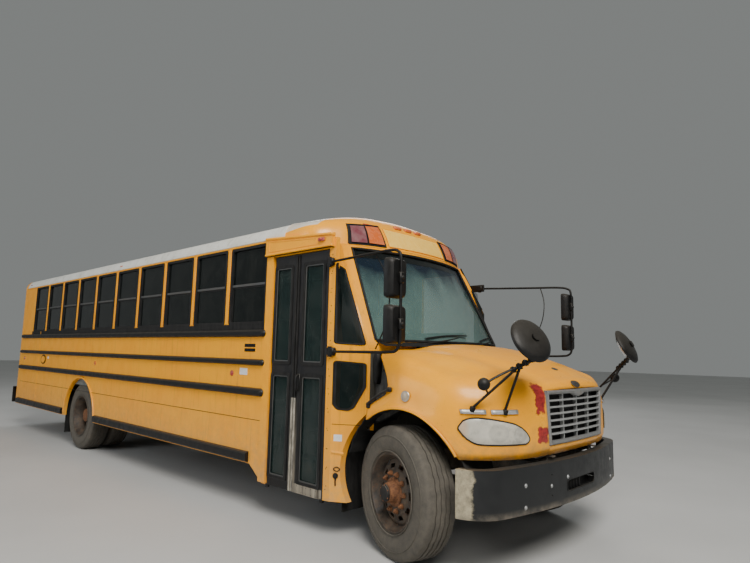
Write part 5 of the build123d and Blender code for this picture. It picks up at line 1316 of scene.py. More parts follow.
MAT["sign_pale"] = rubber_mat("blank_sign", (0.88, 0.52, 0.07), (0.93, 0.60, 0.13))
MAT["door"] = worn_door()
MAT["cap"] = roof_cap()
MAT["seal"] = rubber_mat("seal_black", (0.006, 0.006, 0.006), (0.024, 0.023, 0.022))
MAT["seal_worn"] = rubber_mat("seal_worn", (0.10, 0.095, 0.085), (0.46, 0.42, 0.34))
MAT["trim_grey"] = metal("sash_grey", (0.085, 0.088, 0.088), 0.45, 0.35, 0.5)
MAT["mirror_glass"] = metal("mirror_face", (0.75, 0.77, 0.78), 0.06, 0.1, 1.0)
MAT["rail"] = black_trim("rail_black", 0.007, 0.20, 0.38)
MAT["floor_rubber"] = rubber_mat("floor_rubber", (0.035, 0.036, 0.036), (0.10, 0.095, 0.085))
MAT["galv"] = metal("galvanised", (0.42, 0.43, 0.43), 0.45, 0.5, 0.7)
MAT["tank"] = metal("tank_steel", (0.20, 0.20, 0.19), 0.5, 0.6, 0.5)
MAT["inner"] = rubber_mat("cabin_panel", (0.13, 0.14, 0.135), (0.20, 0.205, 0.19))
MAT["dash"] = vinyl("dash_plastic", (0.028, 0.028, 0.030), (0.07, 0.066, 0.06))

for node, key in (("chassis_frame", "chassis"), ("front_axle", "cast"), ("rear_axle", "cast"), ("engine_block", "cast"), ("radiator", "galv"),
                  ("fuel_tank", "tank"), ("exhaust_pipe", "rust"), ("floor", "floor_rubber"), ("right_wall", "yellow"), ("left_wall", "yellow"),
                  ("roof", "roof"), ("cowl", "yellow"), ("windshield", "glass_clear"), ("front_cap", "cap"), ("rear_wall", "yellow"),
                  ("side_windows", "glass_dark"), ("quarter_windows", "glass_dark"), ("rub_rails", "rail"), ("front_bumper", "rail"),
                  ("rear_bumper", "rail"), ("mud_flaps", "seal"), ("rear_door", "yellow"), ("rear_door_glass", "glass_dark"),
                  ("stop_arm_bracket", "black"), ("tie_rod", "cast"), ("front_hatch", "roof"), ("rear_hatch", "roof"),
                  ("left_knuckle", "cast"), ("right_knuckle", "cast"), ("entrance_door_front", "door"), ("entrance_door_rear", "door"),
                  ("entrance_glass_front", "glass_door"), ("entrance_glass_rear", "glass_door"), ("tail_lamps", "red_lens"),
                  ("warning_lamps", "red_lens"), ("dashboard", "dash"), ("side_mirrors", "black"), ("crossview_mirrors", "black"),
                  ("steering_wheel", "dash")):
    repaint(node, key)

X0 = HW                  # outer face of the side walls
WINC = [8.7965 - 0.749 * i for i in range(10)]
SILL, WTOP = 1.860, 2.685

for s, side in ((-1, "door_side"), (1, "driver_side")):
    wf = Bag()

    def side3(u, v, d, s=s):
        return (s * (X0 + 0.004 - d), Y(u), v)
    for c in WINC:
        o = round_poly(rect(c, (SILL + WTOP) / 2, 0.672, 0.833), 0.030, 4)
        i_ = round_poly(rect(c, (SILL + WTOP) / 2, 0.610, 0.775), 0.022, 4)
        ring_frame(wf, o, i_, side3, 0.034, 0)
        # sash bar, lower sash a little further in, with its latches
        wf.box((s * (X0 - 0.012) - 0.006, Y(c - 0.308), 2.262), (s * (X0 - 0.012) + 0.006, Y(c + 0.308), 2.288), 1, 0.003)
        o2 = round_poly(rect(c, 2.06, 0.612, 0.404), 0.018, 3)
        i2 = round_poly(rect(c, 2.06, 0.580, 0.372), 0.012, 3)
        ring_frame(wf, o2, i2, lambda u, v, d, s=s: (s * (X0 - 0.017 - d), Y(u), v), 0.006, 0)
        for k in (-1, 1):
            wf.box((s * (X0 - 0.046) - 0.006, Y(c + k * 0.22 - 0.02), 2.240), (s * (X0 - 0.046) + 0.006, Y(c + k * 0.22 + 0.02), 2.262), 1, 0.003)
    # black strip under the windows down to the top rail
    rows = [[(s * (X0 + 0.0022), Y(1.725 if s < 0 else 1.79), z) for z in (1.792, 1.825, 1.8575)], [(s * (X0 + 0.0022), Y(9.20), z) for z in (1.792, 1.825, 1.8575)]]
    wf.grid(rows, 0)
    wf.obj("window_frames_" + side, ["seal", "trim_grey"], "chassis", smooth=30, slot="trim_black")

    # drip rail, roof edge bead, section seams, rivets
    tr = Bag()
    y0 = 1.715 if s < 0 else 1.45
    tr.tube([(s * (X0 + 0.004), Y(y0), 2.718), (s * (X0 + 0.004), Y(5.0), 2.718), (s * (X0 + 0.004), Y(9.70), 2.718)], 0.010, 8, 0)
    tr.box((s * (X0 + 0.003) - 0.004, Y(y0), 2.690), (s * (X0 + 0.003) + 0.004, Y(9.60), 2.712), 1, 0.002)
    for c in WINC + [WINC[-1] - 0.749]:
        yy = c + 0.3745
        if yy > 9.4 or yy < 1.9:
            continue
        # narrow pressed post covers
        tr.box((s * (X0 + 0.002) - 0.003, Y(yy - 0.028), 1.868), (s * (X0 + 0.002) + 0.003, Y(yy + 0.028), 2.688), 1, 0.0025)
        for z in (0.93, 1.02, 1.10, 1.24, 1.32, 1.40, 1.53, 1.60, 1.68):
            tr.dome((s * (X0 - 0.0005), Y(yy), z), (s, 0, 0), 0.0052, 0.0028, 8, 2, 1)
    # long panel seam low down, body section seam towards the rear
    tr.box((s * (X0 + 0.0005) - 0.0015, Y(1.74), 0.8985), (s * (X0 + 0.0005) + 0.0015, Y(9.65), 0.9035), 2, 0)
    tr.box((s * (X0 + 0.001) - 0.002, Y(8.672), 0.475), (s * (X0 + 0.001) + 0.002, Y(8.690), 1.85), 1, 0)
    for k in range(70):
        yy = 1.80 + k * 0.112
        if 5.88 < yy < 7.18:
            continue
        tr.dome((s * (X0 - 0.0005), Y(yy), 0.915), (s, 0, 0), 0.0045, 0.0024, 8, 2, 1)
        tr.dome((s * (X0 - 0.0005), Y(yy), 0.6), (s, 0, 0), 0.0045, 0.0024, 8, 2, 1)
    # rail bolt heads and rounded caps at the front ends
    for z0, z1 in ((1.724, 1.800), (1.437, 1.501), (1.133, 1.215)):
        ys = 1.722 if s < 0 else 1.780
        zc = (z0 + z1) / 2
        tr.revolve([(0.0, (z1 - z0) / 2 + 0.001), (0.020, (z1 - z0) / 2 - 0.004), (0.034, (z1 - z0) / 2 - 0.014), (0.041, (z1 - z0) / 2 - 0.026), (0.042, 0.0001)], (s * X0, Y(ys), zc), (s, 0, 0), 20, 3)
        for k in range(11):
            tr.dome((s * (X0 + 0.040), Y(ys + 0.15 + k * 0.75), zc), (s, 0, 0), 0.0075, 0.004, 8, 2, 3)
    # wheel arch flare
    fl = []
    for k in range(37):
        a = radians(-12 + 204 * k / 36)
        yy, zz = 6.530 + 0.640 * cos(a), 0.468 + 0.640 * sin(a)
        if zz >= 0.475:
            fl.append((s * (X0 + 0.004), Y(yy), zz))
    tr.tube(fl, 0.014, 8, 1)
    for k, p in enumerate(fl[1::2]):
        tr.dome((s * (X0 - 0.0005), p[1] * 1 + (p[1] - Y(6.530)) * 0.055, 0.468 + (p[2] - 0.468) * 1.055), (s, 0, 0), 0.0052, 0.003, 8, 2, 1)
    tr.obj("side_trim_" + side, ["roof", "yellow", "seal", "rail"], "chassis", smooth=40, slot="body_yellow")

    # small fittings: reflectors, side marker lamps, vents, filler
    ft = Bag()
    ft.disc((s * X0, Y(2.27) if s < 0 else Y(2.6), 1.345), (s, 0, 0), 0.030, 0.008, 20, 0, 0.003)
    ft.disc((s * X0, Y(6.0), 1.345), (s, 0, 0), 0.030, 0.008, 20, 1, 0.003)
    ft.disc((s * X0, Y(9.5), 1.345), (s, 0, 0), 0.030, 0.008, 20, 0, 0.003)
    for yy, mi in ((9.55, 0), (5.35, 1)):
        ft.box((s * (X0 - 0.02) - 0.012, Y(yy - 0.045), 2.757), (s * (X0 - 0.02) + 0.014, Y(yy + 0.045), 2.780), mi, 0.006)
    if s < 0:
        # blank white plate, double slat vent, small label, filler oval
        ft.box((-X0 - 0.003, Y(1.99), 1.335), (-X0 + 0.001, Y(2.125), 1.405), 2, 0.001)
        for zz in (1.575, 1.622):
            ft.box((-X0 - 0.002, Y(1.87), zz), (-X0 + 0.001, Y(2.06), zz + 0.034), 3, 0.001)
            for k in range(3):
                ft.tube([(-X0 - 0.004, Y(1.88), zz + 0.008 + k * 0.009), (-X0 - 0.004, Y(2.05), zz + 0.008 + k * 0.009)], 0.0035, 6, 3)
        ft.box((-X0 - 0.002, Y(8.12), 1.36), (-X0 + 0.001, Y(8.18), 1.40), 2, 0.0005)
        ov = [(8.40 + 0.13 * cos(2 * pi * k / 28), 1.345 + 0.082 * sin(2 * pi * k / 28)) for k in range(28)]
        ft.prism([(-X0 + 0.001, Y(a), b) for a, b in ov], (-0.006, 0, 0), 3)
        ov2 = [(8.40 + 0.10 * cos(2 * pi * k / 28), 1.345 + 0.060 * sin(2 * pi * k / 28)) for k in range(28)]
        ft.prism([(-X0 - 0.004, Y(a), b) for a, b in ov2], (-0.006, 0, 0), 4)
    ft.obj("side_fittings_" + side, ["red_lens", "amber_lens", "white_plate", "seal", "yellow"], "chassis", smooth=40, slot="trim_black")

# blank paper sheet standing inside the first window, door side
pb = Bag()
rows = [[(-X0 + 0.044 + 0.006 * sin(7 * u) * v, Y(1.748 + 0.415 * u), 1.885 + 0.335 * v + 0.004 * sin(9 * u)) for v in (0, 0.25, 0.5, 0.75, 1.0)] for u in [k / 10 for k in range(11)]]
pb.grid(rows, 0)
ppr = pb.obj("paper_sheet", ["white_plate"], "chassis", smooth=60, slot="trim_black")
sl = ppr.modifiers.new("thick", "SOLIDIFY")
sl.thickness = 0.0012

# header over the door: two pressed ledges, a blank panel and a marker lamp
hd = Bag()
HX = X0 + 0.034


def hd_top(y):
    return 2.661 + (y - 0.742) * 0.066


for lo_, hi_, d0 in ((0, 0.024, 0.012), (None, None, 0.014)):
    rows = []
    for yy in (0.716, 0.722, 0.9, 1.1, 1.3, 1.5, 1.715, 1.721):
        k_ = 0.3 if yy in (0.716, 1.721) else 1.0
        z0, z1 = (2.534, 2.556) if lo_ is not None else (hd_top(yy) - 0.026, hd_top(yy))
        sec = [(-0.036, z0), (0.0, z0), (d0 * 0.7, z0 + 0.003), (d0, z0 + 0.009), (d0, z1 - 0.008), (d0 * 0.6, z1), (-0.036, z1 + 0.004)]
        rows.append([(-HX - d * (k_ if d > 0 else 1.0), Y(yy), z) for d, z in sec])
    hd.grid(rows, 0)
    hd.add(rows[0], [tuple(range(len(rows[0])))], 0)
    hd.add(rows[-1], [tuple(range(len(rows[-1])))], 0)
# face between the ledges, and its ends
rows = [[(-HX - 0.0015, Y(yy), 2.550 + (hd_top(yy) - 0.020 - 2.550) * v) for v in (0, 0.33, 0.67, 1)] for yy in (0.722, 1.0, 1.3, 1.6, 1.715)]
hd.grid(rows, 0)
for yy, q_ in ((0.722, -1), (1.715, 1)):
    hd.add([(-X0 + 0.002, Y(yy + q_ * 0.0015), 2.536), (-HX - 0.001, Y(yy + q_ * 0.0015), 2.536), (-HX - 0.001, Y(yy + q_ * 0.0015), hd_top(yy) - 0.003), (-X0 + 0.002, Y(yy + q_ * 0.0015), hd_top(yy) - 0.003)], [(0, 1, 2, 3)], 0)
ol = round_poly([(0.93, 2.572), (1.66, 2.572), (1.66, hd_top(1.66) - 0.040), (0.93, hd_top(0.93) - 0.040)], 0.012, 3)
il = round_poly([(0.936, 2.578), (1.654, 2.578), (1.654, hd_top(1.654) - 0.046), (0.936, hd_top(0.936) - 0.046)], 0.010, 3)
ring_frame(hd, ol, il, lambda u, v, d: (-HX - 0.005 + d, Y(u), v), 0.004, 0)
hd.box((-HX - 0.026, Y(0.812), 2.592), (-HX + 0.001, Y(0.898), 2.626), 1, 0.008)
hd.dome((-HX - 0.012, Y(0.855), 2.609), (-1, 0, 0), 0.018, 0.024, 16, 5, 1)
# door posts either side, screw heads
for yy in (0.752, 1.660):
    for k in range(13):
        hd.dome((-X0 - 0.0005 + 0.001, Y(yy), 0.42 + k * 0.17), (-1, 0, 0), 0.005, 0.003, 8, 2, 2)
hd.obj("door_header", ["yellow_clean", "red_lens", "seal"], "chassis", smooth=35, slot="body_yellow")

# ------------------------------------------------------------------ entrance door
DX = -1.219
for nm, ya, yb, body, pin in (("front", 0.858, 1.121, "door_front", 0.805), ("rear", 1.324, 1.560, "door_rear", 1.582)):
    d = Bag()
    for z0, z1 in ((0.42, 1.36), (1.487, 2.40)):
        zc, h = (z0 + z1) / 2, z1 - z0
        o = round_poly(rect((ya + yb) / 2, zc, yb - ya + 0.052, h + 0.052), 0.030, 4)
        i_ = round_poly(rect((ya + yb) / 2, zc, yb - ya - 0.006, h - 0.006), 0.022, 4)
        ring_frame(d, o, i_, lambda u, v, q: (DX - 0.0015 + q, Y(u), v), 0.0095, 0)
        # grey inner bead
        o2 = round_poly(rect((ya + yb) / 2, zc, yb - ya - 0.008, h - 0.008), 0.020, 4)
        i2 = round_poly(rect((ya + yb) / 2, zc, yb - ya - 0.030, h - 0.030), 0.014, 4)
        ring_frame(d, o2, i2, lambda u, v, q: (DX + 0.006 + q, Y(u), v), 0.005, 1)
    # meeting seal
    ym = 1.207 if nm == "front" else 1.243
    d.tube([(DX - 0.001, Y(ym), z) for z in (0.325, 0.6, 0.9, 1.16)], 0.0105, 8, 2)
    d.tube([(DX - 0.001, Y(ym), z) for z in (1.155, 1.5, 1.8, 2.3, 2.50)], 0.0095, 8, 0)
    # hinge pin below
    d.disc((DX + 0.012, Y(pin), 0.300), (0, 0, 1), 0.021, 0.030, 16, 3, 0.003)
    if nm == "front":
        # handle and its back plate low on the meeting side
        d.tube(smooth_line([(DX - 0.004, Y(1.155), 1.375), (DX - 0.030, Y(1.157), 1.360), (DX - 0.034, Y(1.157), 1.30), (DX - 0.030, Y(1.157), 1.245), (DX - 0.004, Y(1.155), 1.230)], 5), 0.010, 8, 3)
        d.box((DX - 0.010, Y(1.138), 1.222), (DX + 0.004, Y(1.174), 1.385), 3, 0.004)
        d.box((DX - 0.003, Y(0.85), 0.322), (DX + 0.001, Y(1.19), 0.398), 4, 0.001)
    else:
        d.box((DX - 0.003, Y(1.26), 0.322), (DX + 0.001, Y(1.555), 0.398), 3, 0.001)
    for z in (0.335, 0.385):
        for k in range(5):
            yy = (0.87 if nm == "front" else 1.275) + 0.065 * k
            d.dome((DX - 0.003, Y(yy), z), (-1, 0, 0), 0.004, 0.0015, 8, 2, 3)
    d.obj("entrance_trim_" + nm, ["seal", "trim_grey", "seal_worn", "rail", "door"], body, smooth=40, slot="trim_black")

# ------------------------------------------------------------------ quarter panels
QU = [[(1.216, 1.664), (1.069, 1.656), (1.046, 2.348), (1.092, 2.368), (1.150, 2.377), (1.216, 2.388)],
      [(1.216, 1.515), (1.066, 1.497), (1.066, 1.297), (1.118, 1.116), (1.143, 1.092), (1.196, 1.097), (1.216, 1.140)]]


def panel_y(x, z):
    t = min(max((z - 1.660) / 0.960, 0), 1)
    ya, xb, yb = 0.700 + 0.060 * t, 1.060 - 0.085 * t, 0.430 + 0.470 * t
    return ya + (yb - ya) * (1.219 - x) / (1.219 - xb)


def panel_n(x, z):
    t = min(max((z - 1.660) / 0.960, 0), 1)
    ya, xb, yb = 0.700 + 0.060 * t, 1.060 - 0.085 * t, 0.430 + 0.470 * t
    v = Vector((ya - yb, -(1.219 - xb)))
    v.normalize()
    return v            # outward in x (positive side), y


for s in (-1, 1):
    q = Bag()

    def pq(x, z, d, s=s):
        n_ = panel_n(x, z)
        y = panel_y(x, z)
        # near the corner the surface runs over the face of the door post
        w_ = max(0.0, min(1.0, (x - 1.148) / 0.024))
        w_ = w_ * w_ * (3 - 2 * w_)
        y = min(y, y * (1 - w_) + 0.6985 * w_)
        return (s * (x + n_.x * d * (1 - w_)), Y(y + n_.y * d * (1 - w_) - d * w_), z)
    for outl in QU:
        cx = sum(p[0] for p in outl) / len(outl)
        cz = sum(p[1] for p in outl) / len(outl)
        O1 = round_poly(outl, 0.022, 4)

        def grow(pl, g):
            r_ = []
            n0 = len(pl)
            for k in range(n0):
                a, b, c_ = Vector(pl[k - 1]), Vector(pl[k]), Vector(pl[(k + 1) % n0])
                e = (c_ - a)
                if e.length < 1e-9:
                    e = Vector((1, 0))
                e.normalize()
                nn = Vector((e.y, -e.x))
                if nn.dot(b - Vector((cx, cz))) < 0:
                    nn = -nn
                r_.append((b.x + nn.x * g, b.y + nn.y * g))
            return r_
        O2 = grow(O1, 0.0025)
        I1 = grow(O1, -0.012)
        # rubber bead and black border of the pane
        n0 = len(O1)
        V, F = [], []
        for loop_, dd in ((O2, 0.0005), (O2, 0.007), (O1, 0.012), (O1, 0.0070), (I1, 0.0062)):
            V += [pq(x, z, dd) for x, z in loop_]
        for a in range(4):
            for k in range(n0):
                k2 = (k + 1) % n0
                F.append((a * n0 + k, a * n0 + k2, (a + 1) * n0 + k2, (a + 1) * n0 + k))
        q.add(V, F, 0)
        # pane
        rows = [[pq(cx + (x - cx) * f, cz + (z - cz) * f, 0.0062) for x, z in I1] for f in (1.0, 0.8, 0.6, 0.4, 0.2, 0.01)]
        q.grid(rows, 1, closed_u=True)
    # seam lines, label, ledge, lock
    for z in (0.972,):
        q.tube([pq(1.215, z, 0.0), pq(1.085, z, 0.0)], 0.0022, 6, 0)
    q.tube([pq(1.215, 1.59, 0.0), pq(1.066, 1.585, 0.0)], 0.0022, 6, 0)
    if s < 0:
        q.add([pq(1.206, 0.887, 0.002), pq(1.168, 0.887, 0.002), pq(1.168, 0.831, 0.002), pq(1.206, 0.831, 0.002)], [(0, 1, 2, 3)], 2)
        q.add([pq(1.216, 0.752, 0.001), pq(1.160, 0.745, 0.001), pq(1.160, 0.730, 0.014), pq(1.216, 0.737, 0.014), pq(1.216, 0.720, 0.001), pq(1.160, 0.713, 0.001)],
              [(0, 1, 2, 3), (3, 2, 5, 4)], 3)
        c0 = Vector(pq(1.192, 0.545, 0.0))
        nn = panel_n(1.19, 0.55)
        nn3 = (s * nn.x, nn.y, 0)
        q.disc(tuple(c0), nn3, 0.024, 0.012, 20, 0, 0.004)
        q.disc(tuple(c0 + Vector(nn3) * 0.011), nn3, 0.012, 0.012, 14, 0, 0.003)
        q.tube(smooth_line([pq(1.192, 0.582, 0.008), pq(1.207, 0.600, 0.012), pq(1.192, 0.618, 0.012), pq(1.177, 0.600, 0.012), pq(1.190, 0.582, 0.008)], 5), 0.0038, 6, 0)
        q.tube(smooth_line([pq(1.192, 0.535, 0.003), pq(1.194, 0.50, 0.003), pq(1.193, 0.462, 0.002)], 4), 0.007, 6, 0)
    for k in range(14):
        q.dome((s * (X0 - 0.0005), Y(0.742), 0.45 + k * 0.155), (s, 0, 0), 0.005, 0.003, 8, 2, 0)
    q.obj("quarter_trim_" + ("right" if s < 0 else "left"), ["seal", "pane_dark", "white_plate", "yellow"], "chassis", smooth=35, slot="trim_black")

# ------------------------------------------------------------------ windshield seal, wipers, cowl
wb = Bag()


def ws_pt(u, v, d=0.0):
    """Point on the windshield, u -1..1 across, v 0..1 up."""
    hw = 0.985 + (0.885 - 0.985) * v
    x = u * hw
    t = (1.700 + 0.885 * v - 1.660) / 0.960
    # plan at this height: middle yc, edge at xb
    xb, yb, yc = 1.060 - 0.085 * t, 0.430 + 0.470 * t, 0.140 + 0.550 * t
    y = yc + (yb - yc) * (abs(x) / xb) ** 2
    return Vector((x, Y(y - d), 1.700 + 0.885 * v))


ring = [ws_pt(-1 + 2 * k / 30, 0, 0.003) for k in range(31)] + [ws_pt(1, k / 12, 0.003) for k in range(1, 12)] + \
       [ws_pt(1 - 2 * k / 30, 1, 0.003) for k in range(31)] + [ws_pt(-1, 1 - k / 12, 0.003) for k in range(1, 12)]
ring.append(ring[0])
wb.tube([tuple(p) for p in ring], 0.013, 8, 0, cap=False)
# dark band along the top of the glass, inside
rows = [[tuple(ws_pt(-0.985 + 1.97 * k / 30, v, -0.012)) for v in (0.90, 0.945, 0.99)] for k in range(31)]
wb.grid(rows, 1)
# wipers: arms and blades lying low on the glass
for sx in (-1, 1):
    p0 = ws_pt(sx * 0.62 if sx < 0 else 0.12, -0.035, 0.030)
    p1 = ws_pt(sx * 0.30 if sx < 0 else 0.50, 0.02, 0.045)
    p2 = ws_pt(sx * 0.10 if sx < 0 else 0.72, 0.055, 0.040)
    wb.disc(tuple(p0 + Vector((0, 0.03, -0.025))), (0, -0.7, 0.7), 0.020, 0.035, 14, 0, 0.004)
    wb.tube([tuple(p) for p in smooth_line([tuple(p0), tuple(p1), tuple(p2)], 6)], 0.0085, 8, 0, r2=0.005)
    a = ws_pt(sx * 0.52 if sx < 0 else 0.36, 0.035, 0.018)
    b = ws_pt(sx * -0.10 if sx < 0 else 0.92, 0.085, 0.018)
    bl = [a.lerp(b, k / 8) + Vector((0, 0.0, 0.012 * sin(pi * k / 8))) for k in range(9)]
    wb.tube([tuple(p) for p in bl], 0.0065, 6, 0)
    wb.tube([tuple(p + Vector((0, 0.010, 0))) for p in bl], 0.004, 6, 0)
# cowl grille under the glass
rows = [[tuple(ws_pt(-1.0 + 2.0 * k / 30, -0.012, 0.004)), tuple(ws_pt(-1.0 + 2.0 * k / 30, -0.035, 0.055)), tuple(ws_pt(-1.0 + 2.0 * k / 30, -0.055, 0.105))] for k in range(31)]
wb.grid(rows, 0)
wb.obj("windshield_trim", ["seal", "glass_dark"], "chassis", smooth=45, slot="trim_black")

# ------------------------------------------------------------------ front cap: lamps, blank sign, markers
cp = Bag()
ZF = 2.620
CAPT = [((1.219, 1.450), (1.219, 2.620)), ((1.219, 1.330), (1.219, 2.711)), ((1.219, 1.220), (1.204, 2.7786)), ((1.205, 1.120), (1.162, 2.8336)),
        ((1.165, 1.045), (1.1088, 2.863)), ((1.090, 0.975), (1.000, None)), ((1.000, 0.922), (0.920, None)), ((0.900, 0.872), (0.830, None)),
        ((0.700, 0.795), (0.660, None)), ((0.450, 0.735), (0.440, None)), ((0.220, 0.703), (0.220, None)), ((0.0, 0.690), (0.0, None))]


def roof_z(x):
    return -0.5225 + sqrt(3.5625 ** 2 - x * x)


def cap_col(F, E, n=16):
    """Points of the cap from the plan edge F up and back to the roof section point E."""
    (xf, yf), (xe, ze) = F, E
    h = ze - ZF
    ax = abs(xf)
    lean = lerp_table(ax, [(0.0, 0.50), (0.25, 0.48), (0.55, 0.34), (0.90, 0.13), (1.10, 0.05), (1.219, 0.0)])
    al = lerp_table(ax, [(0.0, 0.47), (0.30, 0.42), (0.60, 0.30), (0.90, 0.22), (1.10, 0.26), (1.219, 0.34)])
    p0, p1 = Vector((xf, yf, ZF)), Vector((xf, yf + lean * h * 0.97, ZF + 0.97 * h))
    p2, p3 = Vector((xe, yf + (1.452 - yf) * al, ze - 0.005)), Vector((xe, 1.452, ze))
    if p2.y < p1.y + 0.01:
        p2.y = min(p1.y + 0.01, 1.45)
    return [p0 * (1 - t) ** 3 + p1 * 3 * t * (1 - t) ** 2 + p2 * 3 * t * t * (1 - t) + p3 * t ** 3 for t in [k / n for k in range(n + 1)]]


CTAB = [(f, (e[0], roof_z(e[0]) if e[1] is None else e[1])) for f, e in CAPT]
CFINE = []
for i in range(len(CTAB) - 1):
    pts4 = [CTAB[max(i - 1, 0)], CTAB[i], CTAB[i + 1], CTAB[min(i + 2, len(CTAB) - 1)]]
    for k in range(4):
        t = k / 4
        vals = [cr(*[q[j][c] for q in pts4], t) for j in (0, 1) for c in (0, 1)]
        vals[0], vals[2] = min(vals[0], 1.219), min(vals[2], 1.219)
        if i >= 4:
            vals[3] = roof_z(vals[2])
        CFINE.append(((vals[0], vals[1]), (vals[2], vals[3])))
CFINE.append(CTAB[-1])
CCOLS = [cap_col(f, e) for f, e in CFINE]
FULL = [[Vector((-p.x, p.y, p.z)) for p in c_] for c_ in CCOLS] + CCOLS[::-1][1:]
cs = Bag()
cs.grid([[(p.x, Y(p.y), p.z) for p in c_] for c_ in FULL], 0)
# rolled lower lip along the plan edge, and the flange at the roof joint
cs.tube([(c_[0].x, Y(c_[0].y), ZF + 0.002) for c_ in FULL], 0.0085, 8, 0)
cs.tube([(c_[-1].x * 1.0, Y(1.452), c_[-1].z + 0.001) for c_ in FULL], 0.0045, 6, 0)
CAPO = cs.obj("front_cap_skin", ["cap"], "chassis", smooth=50, replaces="front_cap", slot="body_yellow")
# inner lining of the cap
ci = Bag()
ci.grid([[(p.x * 0.985, Y(p.y + 0.022), p.z - 0.022) for p in c_] for c_ in FULL], 0)
ci.obj("front_cap_lining", ["inner"], "chassis", smooth=50, slot="galvanised")
from mathutils.bvhtree import BVHTree
CV = [(p.x, Y(p.y), p.z) for c_ in FULL for p in c_]
NC = len(FULL[0])
CF = [(i * NC + j, i * NC + j + 1, (i + 1) * NC + j + 1, (i + 1) * NC + j) for i in range(len(FULL) - 1) for j in range(NC - 1)]
CBVH = BVHTree.FromPolygons(CV, CF)


def cap_pt(x, z, d=0.0):
    hit = CBVH.ray_cast(Vector((x, Y(0.2), z)), Vector((0, 1, 0)))
    y = hit[0].y if hit[0] is not None else Y(1.0)
    return (x, y - d, z)


def cap_quad(c, mi, d, nseg=10):
    """c: out_low, in_low, in_up, out_up as (x, z)."""
    rows = []
    for k in range(nseg + 1):
        u = k / nseg
        lo = (c[0][0] + (c[1][0] - c[0][0]) * u, c[0][1] + (c[1][1] - c[0][1]) * u)
        hi = (c[3][0] + (c[2][0] - c[3][0]) * u, c[3][1] + (c[2][1] - c[3][1]) * u)
        rows.append([cap_pt(lo[0] + (hi[0] - lo[0]) * v, lo[1] + (hi[1] - lo[1]) * v, d) for v in [j / 6 for j in range(7)]])
    cp.grid(rows, mi)
    return rows


for s in (-1, 1):
    sur = [(s * 0.905, 2.628), (s * 0.500, 2.640), (s * 0.505, 2.868), (s * 0.885, 2.832)]
    rows = cap_quad(sur, 0, 0.006)
    edge = [r[0] for r in rows] + rows[-1][1:] + [r[-1] for r in rows[::-1]][1:] + rows[0][::-1][1:]
    cp.tube(edge, 0.0075, 6, 0, cap=False)
    cap_quad([(s * 0.885, 2.648), (s * 0.722, 2.655), (s * 0.716, 2.834), (s * 0.868, 2.817)], 1, 0.020, 6)
    cap_quad([(s * 0.700, 2.656), (s * 0.522, 2.658), (s * 0.524, 2.850), (s * 0.696, 2.837)], 2, 0.020, 6)
    rows = cap_quad([(s * 0.712, 2.652), (s * 0.704, 2.652), (s * 0.702, 2.842), (s * 0.710, 2.842)], 0, 0.024, 2)
rows = cap_quad([(-0.455, 2.652), (0.455, 2.652), (0.455, 2.850), (-0.455, 2.850)], 3, 0.007, 24)
edge = [r[0] for r in rows] + rows[-1][1:] + [r[-1] for r in rows[::-1]][1:] + rows[0][::-1][1:]
cp.tube(edge, 0.004, 6, 4, cap=False)
for x in (-0.180, -0.015, 0.150):
    p = cap_pt(x, 2.905, 0.012)
    cp.box((p[0] - 0.052, p[1] - 0.018, p[2] - 0.016), (p[0] + 0.052, p[1] + 0.030, p[2] + 0.018), 2, 0.008)
cp.obj("cap_lamps", ["seal", "purple_lens", "amber_lens", "sign_pale", "yellow_clean"], "chassis", smooth=45, slot="lens_panels")

